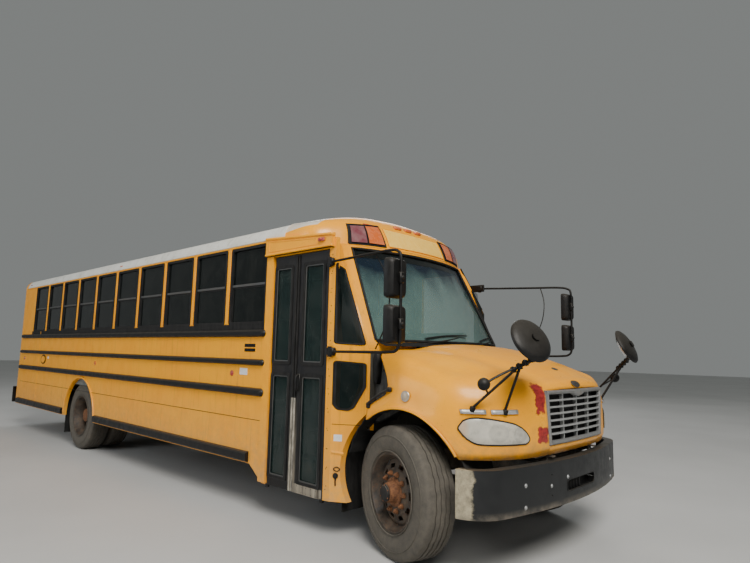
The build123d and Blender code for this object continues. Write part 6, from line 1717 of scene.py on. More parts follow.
# ------------------------------------------------------------------ mirrors
for s in (-1, 1):
    m = Bag()
    px, py = s * 1.470, -0.280
    # tube: upper arm curves into the upright, lower arm likewise
    up_ = smooth_line([(s * 1.232, 0.763, 2.394), (s * 1.30, 0.48, 2.386), (s * 1.38, 0.15, 2.378), (s * 1.442, -0.14, 2.370), (s * 1.466, -0.245, 2.350), (px, -0.280, 2.30),
                       (px, -0.282, 2.10), (px, -0.282, 1.90), (px, -0.280, 1.70), (s * 1.466, -0.250, 1.618), (s * 1.44, -0.14, 1.597), (s * 1.36, 0.18, 1.595), (s * 1.232, 0.726, 1.593)], 6)
    m.tube([(p.x, Y(p.y), p.z) for p in up_], 0.0115, 10, 0)
    for z0, z1 in ((1.659, 1.945), (1.995, 2.295)):
        # head: rounded shell, open to the rear with the glass inside
        zc, hz = (z0 + z1) / 2, (z1 - z0) / 2
        rows = []
        for k in range(9):
            t = k / 8
            # from the crowned front (towards -Y) to the rim (towards +Y)
            g = sin(pi / 2 * min(1.0, 0.12 + t * 1.05)) ** 0.55
            yy = -0.276 + 0.072 * t
            ol = round_poly(rect(s * 1.475, zc, 0.196 * (0.55 + 0.45 * g), 2 * hz * (0.80 + 0.20 * g)), 0.036, 4)
            rows.append([(x, Y(yy), z) for x, z in ol])
        m.grid(rows, 0, closed_u=True)
        n0 = len(rows[0])
        m.add(rows[0], [tuple(range(n0))], 0)
        inn = [(s * 1.475 + (x - s * 1.475) * 0.93, y_, zc + (z - zc) * 0.95) for x, y_, z in rows[-1]]
        m.grid([rows[-1], inn, [(x, y_ - 0.012, z) for x, y_, z in inn]], 0, closed_u=True)
        m.add([(x, y_ - 0.012, z) for x, y_, z in inn], [tuple(range(n0))], 1)
        m.box((px - 0.024, Y(-0.302), zc - 0.042), (px + 0.024, Y(-0.262), zc + 0.042), 0, 0.008)
        m.dome((px, Y(-0.300), zc), (0, -1, 0), 0.016, 0.012, 14, 4, 0)
    # clamps on the body post
    for fz, fy in ((2.394, 0.763), (1.593, 0.726)):
        m.box((s * 1.215 - 0.016 if s > 0 else -1.251, Y(fy - 0.05), fz - 0.036), (s * 1.215 + 0.036 if s > 0 else -1.199, Y(fy + 0.035), fz + 0.036), 0, 0.010)
        m.disc((s * 1.240, Y(fy), fz - 0.046), (0, 0, 1), 0.019, 0.092, 14, 0, 0.004)
    # curved stay between the arm and the cowl
    st = smooth_line([(s * 1.400, Y(0.05), 2.372), (s * 1.345, Y(-0.02), 2.20), (s * 1.30, Y(-0.02), 2.0), (s * 1.27, Y(0.05), 1.80), (s * 1.30, Y(0.12), 1.62)], 6)
    m.tube([tuple(p) for p in st], 0.0055, 8, 0)
    # slim upright box at the foot of the pillar
    rows = []
    for z, w in ((1.325, 0.010), (1.335, 0.024), (1.40, 0.030), (1.52, 0.032), (1.585, 0.028), (1.597, 0.012)):
        rows.append([(s * (1.012 + 1.15 * w * cos(2 * pi * k / 14)), Y(0.352 + 0.8 * w * sin(2 * pi * k / 14) + 0.35 * w * cos(2 * pi * k / 14)), z) for k in range(14)])
    m.grid(rows, 0, closed_u=True)
    m.obj("side_mirror_" + ("right" if s < 0 else "left"), ["black", "mirror_glass"], "chassis", smooth=42, slot="mirror_black")
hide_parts("side_mirrors")

for s in (-1, 1):
    m = Bag()
    c = Vector((s * 0.947, Y(-1.047), 1.703))
    ax = Vector((0.264 if s < 0 else -0.05, 0.838 if s < 0 else 0.88, -0.473)).normalized()
    # head: black dish with the bright bulging face towards the driver
    m.revolve([(-0.042, 0.0001), (-0.041, 0.040), (-0.035, 0.090), (-0.024, 0.132), (-0.010, 0.160), (0.002, 0.169), (0.010, 0.170), (0.015, 0.164)], tuple(c), tuple(ax), 48, 0)
    m.revolve([(0.011, 0.163), (0.030, 0.142), (0.048, 0.104), (0.058, 0.056), (0.061, 0.0001)], tuple(c), tuple(ax), 48, 1)
    hub = c - ax * 0.047
    m.disc(tuple(hub - ax * 0.010), tuple(ax), 0.030, 0.020, 16, 0, 0.004)
    elbow = Vector((s * 0.927, Y(-1.050), 1.578))
    ball = Vector((s * 1.105, Y(-0.930), 1.470)) if True else None
    hb1 = Vector((s * 0.985, Y(-0.970), 1.519))
    m.tube([tuple(p) for p in smooth_line([tuple(hub), tuple(elbow), tuple(hb1)], 5)], 0.013, 10, 0)
    # knot of clamps where the rods meet
    for kk in range(4):
        pc = hb1.lerp(elbow, -0.45 + 0.42 * kk)
        m.disc(tuple(pc - Vector((0, 0.016, 0))), (0.3, 1, 0.2), 0.022, 0.030, 12, 0, 0.004)
        m.tube([tuple(pc + Vector((-0.03, -0.012, 0.018))), tuple(pc + Vector((0.034, -0.010, -0.014)))], 0.006, 6, 0)
    foot1 = Vector((s * 1.078, Y(-0.640), 1.206))
    foot2 = Vector((s * 0.893, Y(-0.800), 1.186))
    far = Vector((s * 1.215, Y(-0.827), 1.393))
    m.tube([tuple(p) for p in smooth_line([tuple(hb1), tuple(hb1.lerp(far, 0.5) + Vector((0, 0, 0.006))), tuple(far)], 5)], 0.009, 8, 0)
    m.dome(tuple(far), (0, -1, 0), 0.045, 0.044, 20, 7, 0)
    m.dome(tuple(far), (0, 1, 0), 0.045, 0.044, 20, 7, 0)
    m.tube([tuple(hb1), tuple(foot1)], 0.010, 8, 0)
    m.tube([tuple(hb1 + Vector((0, -0.01, 0))), tuple(foot2)], 0.010, 8, 0)
    m.tube([tuple(far), tuple(foot1.lerp(hb1, 0.35))], 0.0075, 8, 0)
    for f in (foot1, foot2):
        m.disc(tuple(f - Vector((0, 0, 0.020))), (0, -0.3, 1), 0.021, 0.036, 14, 0, 0.004)
    m.obj("crossview_mirror_" + ("right" if s < 0 else "left"), ["black", "mirror_glass"], "hood", smooth=45, slot="mirror_black")
    # bright base plates
    b = Bag()
    for f, dx in ((foot1, 0.062), (foot2, 0.095)):
        i0 = belt_index(abs(f.x) - 0.0)
        rows = []
        for k in range(9):
            x = abs(f.x) + dx * (2 * k / 8 - 1)
            x = min(x, 1.134)
            st = hood_station(belt_index(x))
            rows.append([(s * (st[0] - st[2] * 0.004), Y(st[1] - st[3] * 0.004 + 0.002), 1.168), (s * (st[0] - st[2] * 0.003), Y(st[1] - st[3] * 0.003 + 0.010), 1.200)])
        b.grid(rows, 0)
    bo = b.obj("mirror_base_" + ("right" if s < 0 else "left"), ["zinc"], "hood", smooth=45, slot="mirror_black")
    sl = bo.modifiers.new("thick", "SOLIDIFY")
    sl.thickness = 0.004
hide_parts("crossview_mirrors")


# ------------------------------------------------------------------ driver-side front corner, slanted back over the belt
CUT_A, CUT_B, CUT_C = Vector((1.219, Y(0.720), 2.131)), Vector((1.219, Y(1.0147), 2.620)), Vector((0.985, Y(0.871), 2.620))
CUT_N = (CUT_B - CUT_A).cross(CUT_C - CUT_A).normalized()
if CUT_N.y > 0:
    CUT_N = -CUT_N


def cut_corner(bm):
    """Takes off what lies ahead of the slanted corner plane and closes the edge."""
    bmesh.ops.remove_doubles(bm, verts=bm.verts[:], dist=1e-5)
    res = bmesh.ops.bisect_plane(bm, geom=bm.verts[:] + bm.edges[:] + bm.faces[:], dist=1e-6, plane_co=CUT_A, plane_no=CUT_N, clear_outer=True)
    edges = [e for e in res["geom_cut"] if isinstance(e, bmesh.types.BMEdge)]
    if edges:
        bmesh.ops.holes_fill(bm, edges=edges, sides=0)
    bm.normal_update()


def trimmed(node, name, keys, slot, inner=None):
    """The node's form with its corner cut; faces that look inwards take the second finish."""
    bm = bmesh.new()
    bm.from_mesh(NODES[node].data)
    cut_corner(bm)
    for f in bm.faces:
        f.material_index = 1 if inner and inner(f.calc_center_median(), f.normal) else 0
    me = bpy.data.meshes.new(name)
    bm.to_mesh(me)
    bm.free()
    return add_obj(name, me, keys, "chassis", smooth=28, replaces=node, slot=slot)


# painted shade: a dark grey-olive finish on the inward faces at the cut corner and on the fire-wall faces in the gap
# behind the hood, standing in for the shade there
MAT["painted_shade_inner"] = rubber_mat("painted_shade_inner", (0.060, 0.058, 0.050), (0.120, 0.112, 0.092))
trimmed("left_wall", "left_wall_skin", ["yellow", "painted_shade_inner"], "body_yellow", lambda c, n: n.x < -0.6 and c.x < 1.19)
trimmed("cowl", "cowl_skin", ["yellow", "painted_shade_inner"], "body_yellow",
        lambda c, n: (c.z > 1.64 and n.x * c.x + n.y * (c.y - Y(1.60)) < 0.04) or (n.y < -0.9 and c.y < Y(0.45) and c.z < 1.62 and abs(c.x) < 1.055))
trimmed("side_windows", "side_panes", ["glass_dark"], "window_glass")
o = bpy.data.objects["quarter_trim_left"]
bm = bmesh.new()
bm.from_mesh(o.data)
cut_corner(bm)
bm.to_mesh(o.data)
bm.free()

B = Bag()
# closing panel in the corner plane, post along the window, seals on its edges
back = -CUT_N * 0.026
B.prism([tuple(p - CUT_N * 0.002) for p in (CUT_A, CUT_B, CUT_C)], tuple(back), 0)
B.prism([(1.2192, Y(0.722), 2.134), (1.2192, Y(1.0135), 2.618), (1.2192, Y(1.120), 2.618), (1.2192, Y(0.850), 2.160), (1.2192, Y(0.790), 2.060), (1.2192, Y(0.722), 2.060)],
        (-0.044, 0, 0), 0)
B.tube([tuple(CUT_A), tuple(CUT_A.lerp(CUT_C, 0.5)), tuple(CUT_C)], 0.009, 8, 1)
B.tube([tuple(CUT_A), tuple(CUT_A.lerp(CUT_B, 0.5)), tuple(CUT_B)], 0.006, 8, 1)
B.tube([(1.2205, Y(0.795), 2.065), (1.2205, Y(0.855), 2.162), (1.2205, Y(1.118), 2.608)], 0.007, 8, 1)
# lengthened foot of the upper mirror arm, back to the wall
B.box((1.206, Y(0.690), 2.352), (1.232, Y(0.955), 2.436), 1, 0.006)
for y_, z_ in ((0.90, 2.37), (0.90, 2.418), (0.93, 2.394)):
    B.dome((1.232, Y(y_), z_), (1, 0, 0), 0.008, 0.005, 10, 3, 1)
B.obj("driver_corner_post", ["yellow", "black"], "chassis", smooth=30, slot="body_yellow")

# dark panels in the gap between the fire wall and the hood, one each side, with a flange and bolts
B = Bag()
for s in (-1, 1):
    rows = []
    for k in range(9):
        y_ = 0.06 + 0.385 * k / 8
        zt = 1.475 + 0.05 * min(1.0, k / 4)
        zb = 1.145 - 0.14 * min(1.0, k / 6)
        rows.append([(s * (0.985 + 0.012 * sin(pi * j / 6)), Y(y_), zb + (zt - zb) * j / 6) for j in range(7)])
    B.grid(rows, 0)
    B.grid([[(p[0] - s * 0.005, p[1], p[2]) for p in r] for r in rows], 0, flip=True)
    B.tube([rows[k][6] for k in range(9)], 0.007, 8, 1)
    B.tube([rows[k][0] for k in range(9)], 0.006, 8, 1)
    B.tube([rows[0][j] for j in range(7)], 0.006, 8, 1)
    for k in (1, 3, 5, 7):
        p = rows[k][5]
        B.dome((p[0] + s * 0.002, p[1], p[2]), (s, 0, 0), 0.010, 0.006, 10, 3, 1)
B.obj("engine_bay_sides", ["floor_rubber", "seal"], "chassis", smooth=40, slot="trim_black")

# liners inside the front arches, ribbed across, carried by the hood
B = Bag()
for s in (-1, 1):
    rows = []
    for k in range(45):
        a = radians(46 + 120 * k / 44)
        rr = 0.604 + 0.004 * (1 if k % 4 < 2 else -1)
        rows.append([(s * (0.700 + 0.445 * j / 8), Y(-0.050 - rr * cos(a)), 0.600 + rr * sin(a) - 0.004 * sin(pi * j / 8)) for j in range(9)])
    B.grid(rows, 0)
    B.grid([[(p[0], p[1], p[2] + 0.004) for p in r] for r in rows], 0, flip=True)
    B.tube([rows[k][8] for k in range(0, 45, 2)], 0.005, 6, 0)
    for k in range(4, 44, 8):
        B.dome(rows[k][6], (0, 0.050 + (rows[k][6][1] - Y(0)), -(rows[k][6][2] - 0.600)), 0.011, 0.005, 10, 3, 1)
B.obj("hood_arch_liners", ["liner", "dark_steel"], "hood", smooth=30, slot="trim_black")


# ------------------------------------------------------------------ cabin
MAT["vinyl"] = vinyl("seat_vinyl", (0.030, 0.075, 0.060), (0.055, 0.100, 0.080))
MAT["vinyl_dark"] = vinyl("driver_vinyl", (0.035, 0.036, 0.038), (0.065, 0.064, 0.062))
MAT["welt"] = rubber_mat("seat_welt", (0.015, 0.030, 0.026), (0.04, 0.055, 0.048))


def sdn(x):
    return max(-1.0, min(1.0, x))


def cushion(B, c, size, crown, pull, mi=0, axis_up="Z", n=(14, 8, 4), seams=(), dent=0.0, seed=0.0):
    """Stuffed form: a closed box of quads whose faces crown, whose edges round and whose sides pull in between the corners."""
    hx, hy, hz = size[0] / 2, size[1] / 2, size[2] / 2
    nx, ny, nz = n
    r = min(hx, hy, hz) * 0.72

    def shape(u, v, w):
        # u, v, w in -1..1 on the surface of the cube
        p = Vector((u * hx, v * hy, w * hz))
        # round the edges: pull the point to a rounded box
        q = Vector((max(-hx + r, min(hx - r, p.x)), max(-hy + r, min(hy - r, p.y)), max(-hz + r, min(hz - r, p.z))))
        d = p - q
        if d.length > 1e-9:
            p = q + d.normalized() * r
        # crown of the broad faces
        cu, cv, cw = 1 - u * u, 1 - v * v, 1 - w * w
        if axis_up == "Z":
            if w > 0.3:
                p.z += crown * (cu ** 0.5) * (cv ** 0.5) - dent * cu * cv
                for sx in seams:
                    p.z -= crown * 0.75 * math.exp(-((u - sx) / 0.030) ** 2) * cv ** 0.4
            p.x *= 1 - pull * cv * 0.5 * (1 if abs(u) > 0.5 else 0)
            p.y *= 1 - pull * cu * 0.5 * (1 if abs(v) > 0.5 else 0)
        else:
            if abs(v) > 0.3:
                k = 1 if v < 0 else 0.55
                p.y += (-1 if v < 0 else 1) * crown * k * (cu ** 0.5) * (cw ** 0.5)
                for sx in seams:
                    p.y -= (-1 if v < 0 else 1) * crown * 0.7 * k * math.exp(-((w - sx) / 0.028) ** 2) * cu ** 0.4
            p.x *= 1 - pull * cw * 0.5 * (1 if abs(u) > 0.5 else 0)
        nn = mnoise.noise(Vector((p.x * 6 + seed, p.y * 6, p.z * 6)))
        p += p.normalized() * (nn * 0.0025)
        return tuple(p + Vector(c))

    def face(fn, a, b):
        rows = []
        for i in range(a + 1):
            rows.append([shape(*fn(-1 + 2 * i / a, -1 + 2 * j / b)) for j in range(b + 1)])
        B.grid(rows, mi)
    face(lambda s_, t: (s_, t, 1), nx, ny)
    face(lambda s_, t: (s_, t, -1), nx, ny)
    face(lambda s_, t: (s_, 1, t), nx, nz)
    face(lambda s_, t: (s_, -1, t), nx, nz)
    face(lambda s_, t: (1, s_, t), ny, nz)
    face(lambda s_, t: (-1, s_, t), ny, nz)


first = True
for s in (-1, 1):
    for part_ in ("cushions", "backs"):
        B = Bag()
        for r_ in range(11):
            y = 2.450 + 0.690 * r_
            cx = s * 0.682
            if part_ == "cushions":
                cushion(B, (cx, Y(y - 0.010), 1.352), (0.952, 0.376, 0.108), 0.010, 0.020, 0, "Z", (20, 10, 4), (0.0,), 0.004, r_ * 3.1)
            else:
                cushion(B, (cx, Y(y + 0.235), 1.700), (0.952, 0.078, 0.596), 0.008, 0.016, 0, "Y", (20, 4, 16), (-0.35, 0.45), 0.0, r_ * 2.3)
        o = B.obj("seat_%s_%s" % (part_, "right" if s < 0 else "left"), ["vinyl"], "chassis", smooth=70, slot="seat_vinyl")
        if first:
            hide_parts("passenger_seats")
            first = False
    # frames, legs, welts
    B = Bag()
    for r_ in range(11):
        y = 2.450 + 0.690 * r_
        cx = s * 0.682
        leg = smooth_line([(s * 0.300, Y(y - 0.125), 0.975), (s * 0.300, Y(y - 0.13), 1.15), (s * 0.300, Y(y - 0.105), 1.255), (s * 0.300, Y(y - 0.06), 1.282), (s * 0.300, Y(y + 0.10), 1.284),
                           (s * 0.300, Y(y + 0.15), 1.25), (s * 0.300, Y(y + 0.165), 1.12), (s * 0.300, Y(y + 0.162), 0.975)], 4)
        B.tube([tuple(p) for p in leg], 0.013, 8, 0)
        for dy in (-0.125, 0.162):
            B.box((s * 0.300 - 0.028, Y(y + dy - 0.025), 0.9705), (s * 0.300 + 0.028, Y(y + dy + 0.025), 0.979), 0, 0.003)
            for q in (-1, 1):
                B.hexnut((s * 0.300 + q * 0.018, Y(y + dy), 0.978), (0, 0, 1), 0.006, 0.006, 0)
        # rails under the cushion reaching the wall
        for dy in (-0.115, 0.120):
            B.tube([(s * 0.24, Y(y + dy), 1.287), (s * 0.7, Y(y + dy), 1.287), (s * 1.165, Y(y + dy), 1.287)], 0.011, 8, 0)
        welt = [(cx + a * 0.468, Y(y + 0.235), 1.700 + b * 0.290) for a, b in ((-1, -0.98), (-1, 0.86), (-0.93, 0.985), (0, 0.998), (0.93, 0.985), (1, 0.86), (1, -0.98))]
        B.tube(welt, 0.0045, 6, 1)
        B.tube([(cx - 0.45, Y(y - 0.192), 1.372), (cx, Y(y - 0.194), 1.374), (cx + 0.45, Y(y - 0.192), 1.372)], 0.004, 6, 1)
    B.obj("seat_frames_" + ("right" if s < 0 else "left"), ["galv", "welt"], "chassis", smooth=50, slot="galvanised")

# driver's seat
B = Bag()
cushion(B, (0.560, Y(1.560), 1.395), (0.495, 0.462, 0.105), 0.016, 0.03, 0, "Z", (16, 16, 4), (-0.55, 0.55), 0.010)
o = B.obj("driver_cushion", ["vinyl_dark"], "chassis", smooth=70, replaces="driver_seat", slot="seat_vinyl")
B = Bag()
cushion(B, (0.560, Y(1.812), 1.735), (0.485, 0.098, 0.640), 0.012, 0.05, 0, "Y", (16, 5, 18), (-0.5, 0.35), 0.0)
o = B.obj("driver_back", ["vinyl_dark"], "chassis", smooth=70, slot="seat_vinyl")
B = Bag()
rows = []
for k in range(9):
    z = 0.975 + 0.345 * k / 8
    w = 0.158 - 0.016 * (k % 2)
    rows.append([(0.560 + a, Y(1.560) + b, z) for a, b in round_poly(rect(0, 0, 2 * w, 2 * w), 0.03, 3)])
B.grid(rows, 0, closed_u=True)
B.box((0.335, Y(1.35), 1.318), (0.785, Y(1.77), 1.342), 1, 0.006)
B.tube(smooth_line([(0.80, Y(1.62), 1.35), (0.815, Y(1.66), 1.60), (0.812, Y(1.72), 1.98), (0.80, Y(1.80), 2.02)], 6), 0.0225 * 0.3, 6, 1)
B.obj("driver_pedestal", ["dash", "galv"], "chassis", smooth=40, slot="dash_plastic")

# dashboard: rounded top, binnacle, gauges, switches
B = Bag()
sec = [(0.472, 1.185), (0.628, 1.185), (0.655, 1.205), (0.745, 1.330), (0.765, 1.365), (0.792, 1.475), (0.790, 1.510), (0.768, 1.540), (0.715, 1.578), (0.690, 1.586), (0.60, 1.588), (0.472, 1.588)]
rows = []
for x in [-0.90, -0.895] + [-0.88 + 1.76 * k / 20 for k in range(21)] + [0.895, 0.90]:
    k = 0.985 if abs(x) > 0.89 else 1.0
    rows.append([(x, Y(0.63 + (y - 0.63) * k), 1.39 + (z - 1.39) * k) for y, z in sec])
B.grid(rows, 0, closed_u=True)
B.add(rows[0], [tuple(range(len(sec)))], 0)
B.add(rows[-1], [tuple(range(len(sec)))], 0)
hood_sec = []
for k in range(13):
    t = k / 12
    x = 0.560 + 0.255 * (-1 + 2 * t)
    top = 1.628 - 0.030 * (abs(-1 + 2 * t)) ** 3
    hood_sec.append([(x, Y(0.845), top), (x, Y(0.848), top - 0.012), (x, Y(0.800), 1.600), (x, Y(0.762), 1.47), (x, Y(0.790), 1.425), (x, Y(0.835), 1.412)])
B.grid([[(p[0], p[1], p[2]) for p in r] for r in hood_sec], 0)
B.box((0.302, Y(0.655), 1.405), (0.818, Y(0.800), 1.612), 0, 0.03)
for gx_, gz, gr_ in ((0.42, 1.525, 0.052), (0.56, 1.530, 0.060), (0.70, 1.525, 0.052), (0.35, 1.46, 0.025), (0.77, 1.46, 0.025)):
    B.revolve([(0.0, gr_), (0.010, gr_), (0.012, gr_ - 0.005), (0.004, gr_ - 0.008), (0.004, 0.0001)], (gx_, Y(0.799), gz), (0, 1, -0.15), 28, [2, 2, 2, 1])
for k in range(10):
    B.box((-0.05 + 0.03 * k, Y(0.790), 1.470), (-0.03 + 0.03 * k, Y(0.803), 1.500), 2, 0.003)
B.tube([(0.560, Y(0.80), 1.30), (0.560, Y(0.93), 1.462), (0.560, Y(1.018), 1.572)], 0.036, 16, 0)
B.tube([(0.52, Y(0.985), 1.548), (0.44, Y(1.00), 1.575), (0.385, Y(1.01), 1.585)], 0.006, 8, 2)
# pedals
for x in (0.62, 0.78):
    B.box((x - 0.04, Y(0.80), 1.03), (x + 0.04, Y(0.83), 1.16), 2, 0.006)
B.obj("dash_skin", ["dash", "mirror_glass", "seal"], "chassis", smooth=40, replaces="dashboard", slot="dash_plastic")

# steering wheel: padded rim, three spokes, hub
B = Bag()
C0 = Vector((0.560, Y(1.040), 1.600))
SD = Vector((0.0, sin(radians(38)), cos(radians(38))))
UX = Vector((1, 0, 0))
UY = SD.cross(UX)
rim = [tuple(C0 + UX * (cos(2 * pi * k / 72) * 0.218) + UY * (sin(2 * pi * k / 72) * 0.218) + SD * 0.001) for k in range(73)]
B.tube(rim, 0.0142, 12, 0, cap=False)
for k in range(36):
    a = 2 * pi * (k + 0.5) / 36
    p = C0 + UX * (cos(a) * 0.2055) + UY * (sin(a) * 0.2055) + SD * 0.001
    B.dome(tuple(p), tuple(-(UX * cos(a) + UY * sin(a))), 0.0075, 0.004, 8, 3, 0)
for a in (90, 210, 330):
    d_ = UX * cos(radians(a)) + UY * sin(radians(a))
    t_ = SD.cross(d_)
    rows = []
    for k in range(9):
        f = k / 8
        r_ = 0.040 + 0.170 * f
        w = 0.017 - 0.006 * sin(pi * f)
        h = 0.007
        cc = C0 + d_ * r_ + SD * (-0.006 + 0.006 * f)
        rows.append([tuple(cc + t_ * (w * cos(q)) + SD * (h * sin(q))) for q in [2 * pi * j / 12 for j in range(12)]])
    B.grid(rows, 0, closed_u=True)
B.revolve([(-0.028, 0.0001), (-0.028, 0.030), (-0.012, 0.034), (-0.010, 0.058), (0.006, 0.058), (0.0125, 0.050), (0.0135, 0.030), (0.0135, 0.0001)], tuple(C0), tuple(SD), 40, 0)
B.obj("steering_wheel_skin", ["dash"], "steering_wheel", smooth=45, replaces="steering_wheel", slot="dash_plastic")

# inner lining of the cabin, grab rail at the steps, roof bows, partition rails
B = Bag()
for s in (-1, 1):
    for z0, z1 in ((0.985, 1.845),):
        y0 = 1.78 if s < 0 else 0.92
        rows = [[(s * 1.1735, Y(yy), z) for z in (z0, 1.15, 1.40, 1.65, z1)] for yy in [y0 + (9.60 - y0) * k / 24 for k in range(25)]]
        B.grid(rows, 0)
    B.tube([(s * 1.165, Y(1.80 if s < 0 else 0.95), 1.845), (s * 1.165, Y(9.60), 1.845)], 0.010, 6, 1)
    # rails in front of the first seats
    rail = smooth_line([(s * 0.255, Y(2.09), 0.975), (s * 0.255, Y(2.09), 1.60), (s * 0.270, Y(2.09), 1.86), (s * 0.36, Y(2.09), 1.93), (s * 0.75, Y(2.09), 1.935), (s * 1.165, Y(2.09), 1.935)], 5)
    B.tube([tuple(p) for p in rail], 0.014, 8, 2)
    rows = [[(s * x, Y(2.092), z) for z in (1.05, 1.30, 1.55, 1.80)] for x in (0.29, 0.6, 0.9, 1.15)]
    B.grid(rows, 3)
for k in range(12):
    yy = 1.70 + 0.70 * k
    arc = []
    for j in range(25):
        x = -1.15 + 2.30 * j / 24
        arc.append((x, Y(yy), -0.5225 + sqrt(3.5625 ** 2 - x * x) - 0.062 - 0.10 * max(0.0, (abs(x) - 1.0) / 0.15) ** 2))
    B.tube(arc, 0.012, 6, 0)
# grab rail by the steps, seen through the door glass
gr_ = smooth_line([(-1.10, Y(1.585), 0.62), (-1.02, Y(1.58), 0.95), (-0.80, Y(1.575), 1.32), (-0.52, Y(1.57), 1.62), (-0.47, Y(1.57), 1.60), (-0.455, Y(1.57), 1.2), (-0.455, Y(1.57), 0.98)], 6)
B.tube([tuple(p) for p in gr_], 0.015, 10, 2)
gr2 = smooth_line([(-1.12, Y(0.83), 0.70), (-1.05, Y(0.84), 1.05), (-0.90, Y(0.85), 1.35), (-0.75, Y(0.86), 1.45)], 6)
B.tube([tuple(p) for p in gr2], 0.013, 10, 2)
# pale step edges
for x, z in ((-1.163, 0.3315), (-0.924, 0.5465), (-0.679, 0.7615), (-0.432, 0.9715)):
    B.box((x - 0.002, Y(0.80), z - 0.002), (x + 0.040, Y(1.60), z + 0.004), 4, 0.001)
B.obj("cabin_lining", ["inner", "seal", "galv", "vinyl", "seal_worn"], "chassis", smooth=45, slot="galvanised")


# ------------------------------------------------------------------ rear face
BR = 10.040
B = Bag()
for z0, z1 in ((1.10, 1.60), (1.80, 2.42)):
    pass
for s in (-1, 1):
    # window frames beside the door
    o = round_poly(rect(s * 0.790, 2.210, 0.476, 0.676), 0.075, 5)
    i_ = round_poly(rect(s * 0.790, 2.210, 0.424, 0.624), 0.055, 5)
    ring_frame(B, o, i_, lambda u, v, d: (u, Y(BR + 0.007 - d), v), 0.014, 0)
    # red and amber lamps: stepped bezels and lenses with rings
    for x, z, r in ((0.900, 1.480, 0.085), (0.900, 1.220, 0.085), (0.900, 1.020, 0.050), (0.720, 1.020, 0.050)):
        mi = 1 if z != 1.220 else 2
        B.revolve([(0.024, r + 0.008), (0.030, r + 0.006), (0.031, r - 0.002), (0.026, r - 0.006)], (s * x, Y(BR), z), (0, 1, 0), 36, 0)
        B.revolve([(0.0255, r - 0.004), (0.032, r * 0.86), (0.029, r * 0.80), (0.034, r * 0.62), (0.031, r * 0.56), (0.036, r * 0.34), (0.037, 0.0001)], (s * x, Y(BR), z), (0, 1, 0), 36, mi)
    for x in (0.650, 0.850):
        B.revolve([(0.020, 0.090), (0.048, 0.087), (0.050, 0.083), (0.026, 0.079)], (s * x, Y(BR), 2.670), (0, 1, 0), 36, 0)
        B.revolve([(0.023, 0.079), (0.031, 0.062), (0.034, 0.035), (0.035, 0.0001)], (s * x, Y(BR), 2.670), (0, 1, 0), 36, 1 if x > 0.7 else 2)
        B.box((s * x - 0.088, Y(BR - 0.01), 2.752), (s * x + 0.088, Y(BR + 0.055), 2.759), 0, 0.003)
    # rails across the rear
    for z0, z1 in ((1.724, 1.800), (1.437, 1.475)):
        if z0 < 1.5:
            continue
        sec = [(0.0, z0), (0.022, z0 + 0.008), (0.030, z0 + 0.020), (0.030, z1 - 0.020), (0.022, z1 - 0.008), (0.0, z1)]
        rows = [[(s * x, Y(BR + d), z) for d, z in sec] for x in (0.475, 0.48, 0.78, 1.02, 1.024)]
        B.grid(rows, 3)
    for x in (-0.10, 0.0, 0.10):
        B.box((x - 0.028, Y(BR - 0.035), 2.902), (x + 0.028, Y(BR + 0.006), 2.924), 1, 0.006)
    for k in range(12):
        B.dome((s * 0.520, Y(BR - 0.0005), 1.02 + 0.125 * k), (0, 1, 0), 0.005, 0.003, 8, 2, 4)
        B.dome((s * 1.045, Y(BR - 0.012), 1.02 + 0.125 * k), (0, 1, 0), 0.005, 0.003, 8, 2, 4)
# door surround seal and drip ledge, blank plate
o = round_poly(rect(0, 1.7625, 0.918, 1.609), 0.03, 4)
i_ = round_poly(rect(0, 1.7625, 0.898, 1.589), 0.022, 4)
ring_frame(B, o, i_, lambda u, v, d: (u, Y(BR + 0.003 - d), v), 0.008, 0)
B.box((-0.50, Y(BR - 0.002), 2.585), (0.50, Y(BR + 0.020), 2.600), 4, 0.004)
B.box((-0.36, Y(BR - 0.002), 2.620), (0.36, Y(BR + 0.004), 2.735), 5, 0.002)
B.obj("rear_trim", ["seal", "red_lens", "amber_lens", "rail", "yellow", "cap"], "chassis", smooth=40, slot="trim_black")

# emergency door: pressed panel, gaskets, handle, hinges' knuckles
B = Bag()
import_rd = [(1.13, 1.56), (1.86, 2.46)]
nodev = [tuple(NODES["rear_door_glass"].matrix_world @ v.co) for v in NODES["rear_door_glass"].data.vertices]
zs = sorted(v[2] for v in nodev)
zg = [zs[0]]
for a, b in zip(zs, zs[1:]):
    if b - a > 0.08:
        zg += [a, b]
zg.append(zs[-1])
for z0, z1 in zip(zg[::2], zg[1::2]):
    o = round_poly(rect(0, (z0 + z1) / 2, 0.684, z1 - z0 + 0.044), 0.070, 5)
    i_ = round_poly(rect(0, (z0 + z1) / 2, 0.622, z1 - z0 - 0.018), 0.045, 5)
    ring_frame(B, o, i_, lambda u, v, d: (u, Y(BR + 0.009 - d), v), 0.020, 0)
for z in (1.150, 1.760, 2.370):
    for k in range(5):
        B.revolve([(0.001, 0.0132), (0.002, 0.0145), (0.018, 0.0145), (0.019, 0.0132)], (-0.441, Y(BR + 0.016), z + 0.002 + 0.021 * k), (0, 0, 1), 20, 1)
    B.box((-0.428, Y(BR + 0.002), z + 0.008), (-0.352, Y(BR + 0.012), z + 0.102), 1, 0.003)
    for k in (0.03, 0.08):
        B.hexnut((-0.372, Y(BR + 0.011), z + k), (0, 1, 0), 0.008, 0.006, 1)
B.revolve([(0.0, 0.030), (0.006, 0.030), (0.010, 0.024), (0.026, 0.020)], (0.390, Y(BR + 0.002), 1.680), (0, 1, 0), 24, 1)
B.tube(smooth_line([(0.395, Y(BR + 0.034), 1.680), (0.35, Y(BR + 0.046), 1.681), (0.28, Y(BR + 0.047), 1.680), (0.255, Y(BR + 0.044), 1.680)], 5), 0.013, 10, 1)
for k in range(3):
    z = 1.03 + 0.022 * k
    B.box((-0.36, Y(BR + 0.001), z), (0.36, Y(BR + 0.0045), z + 0.008), 2, 0.002)
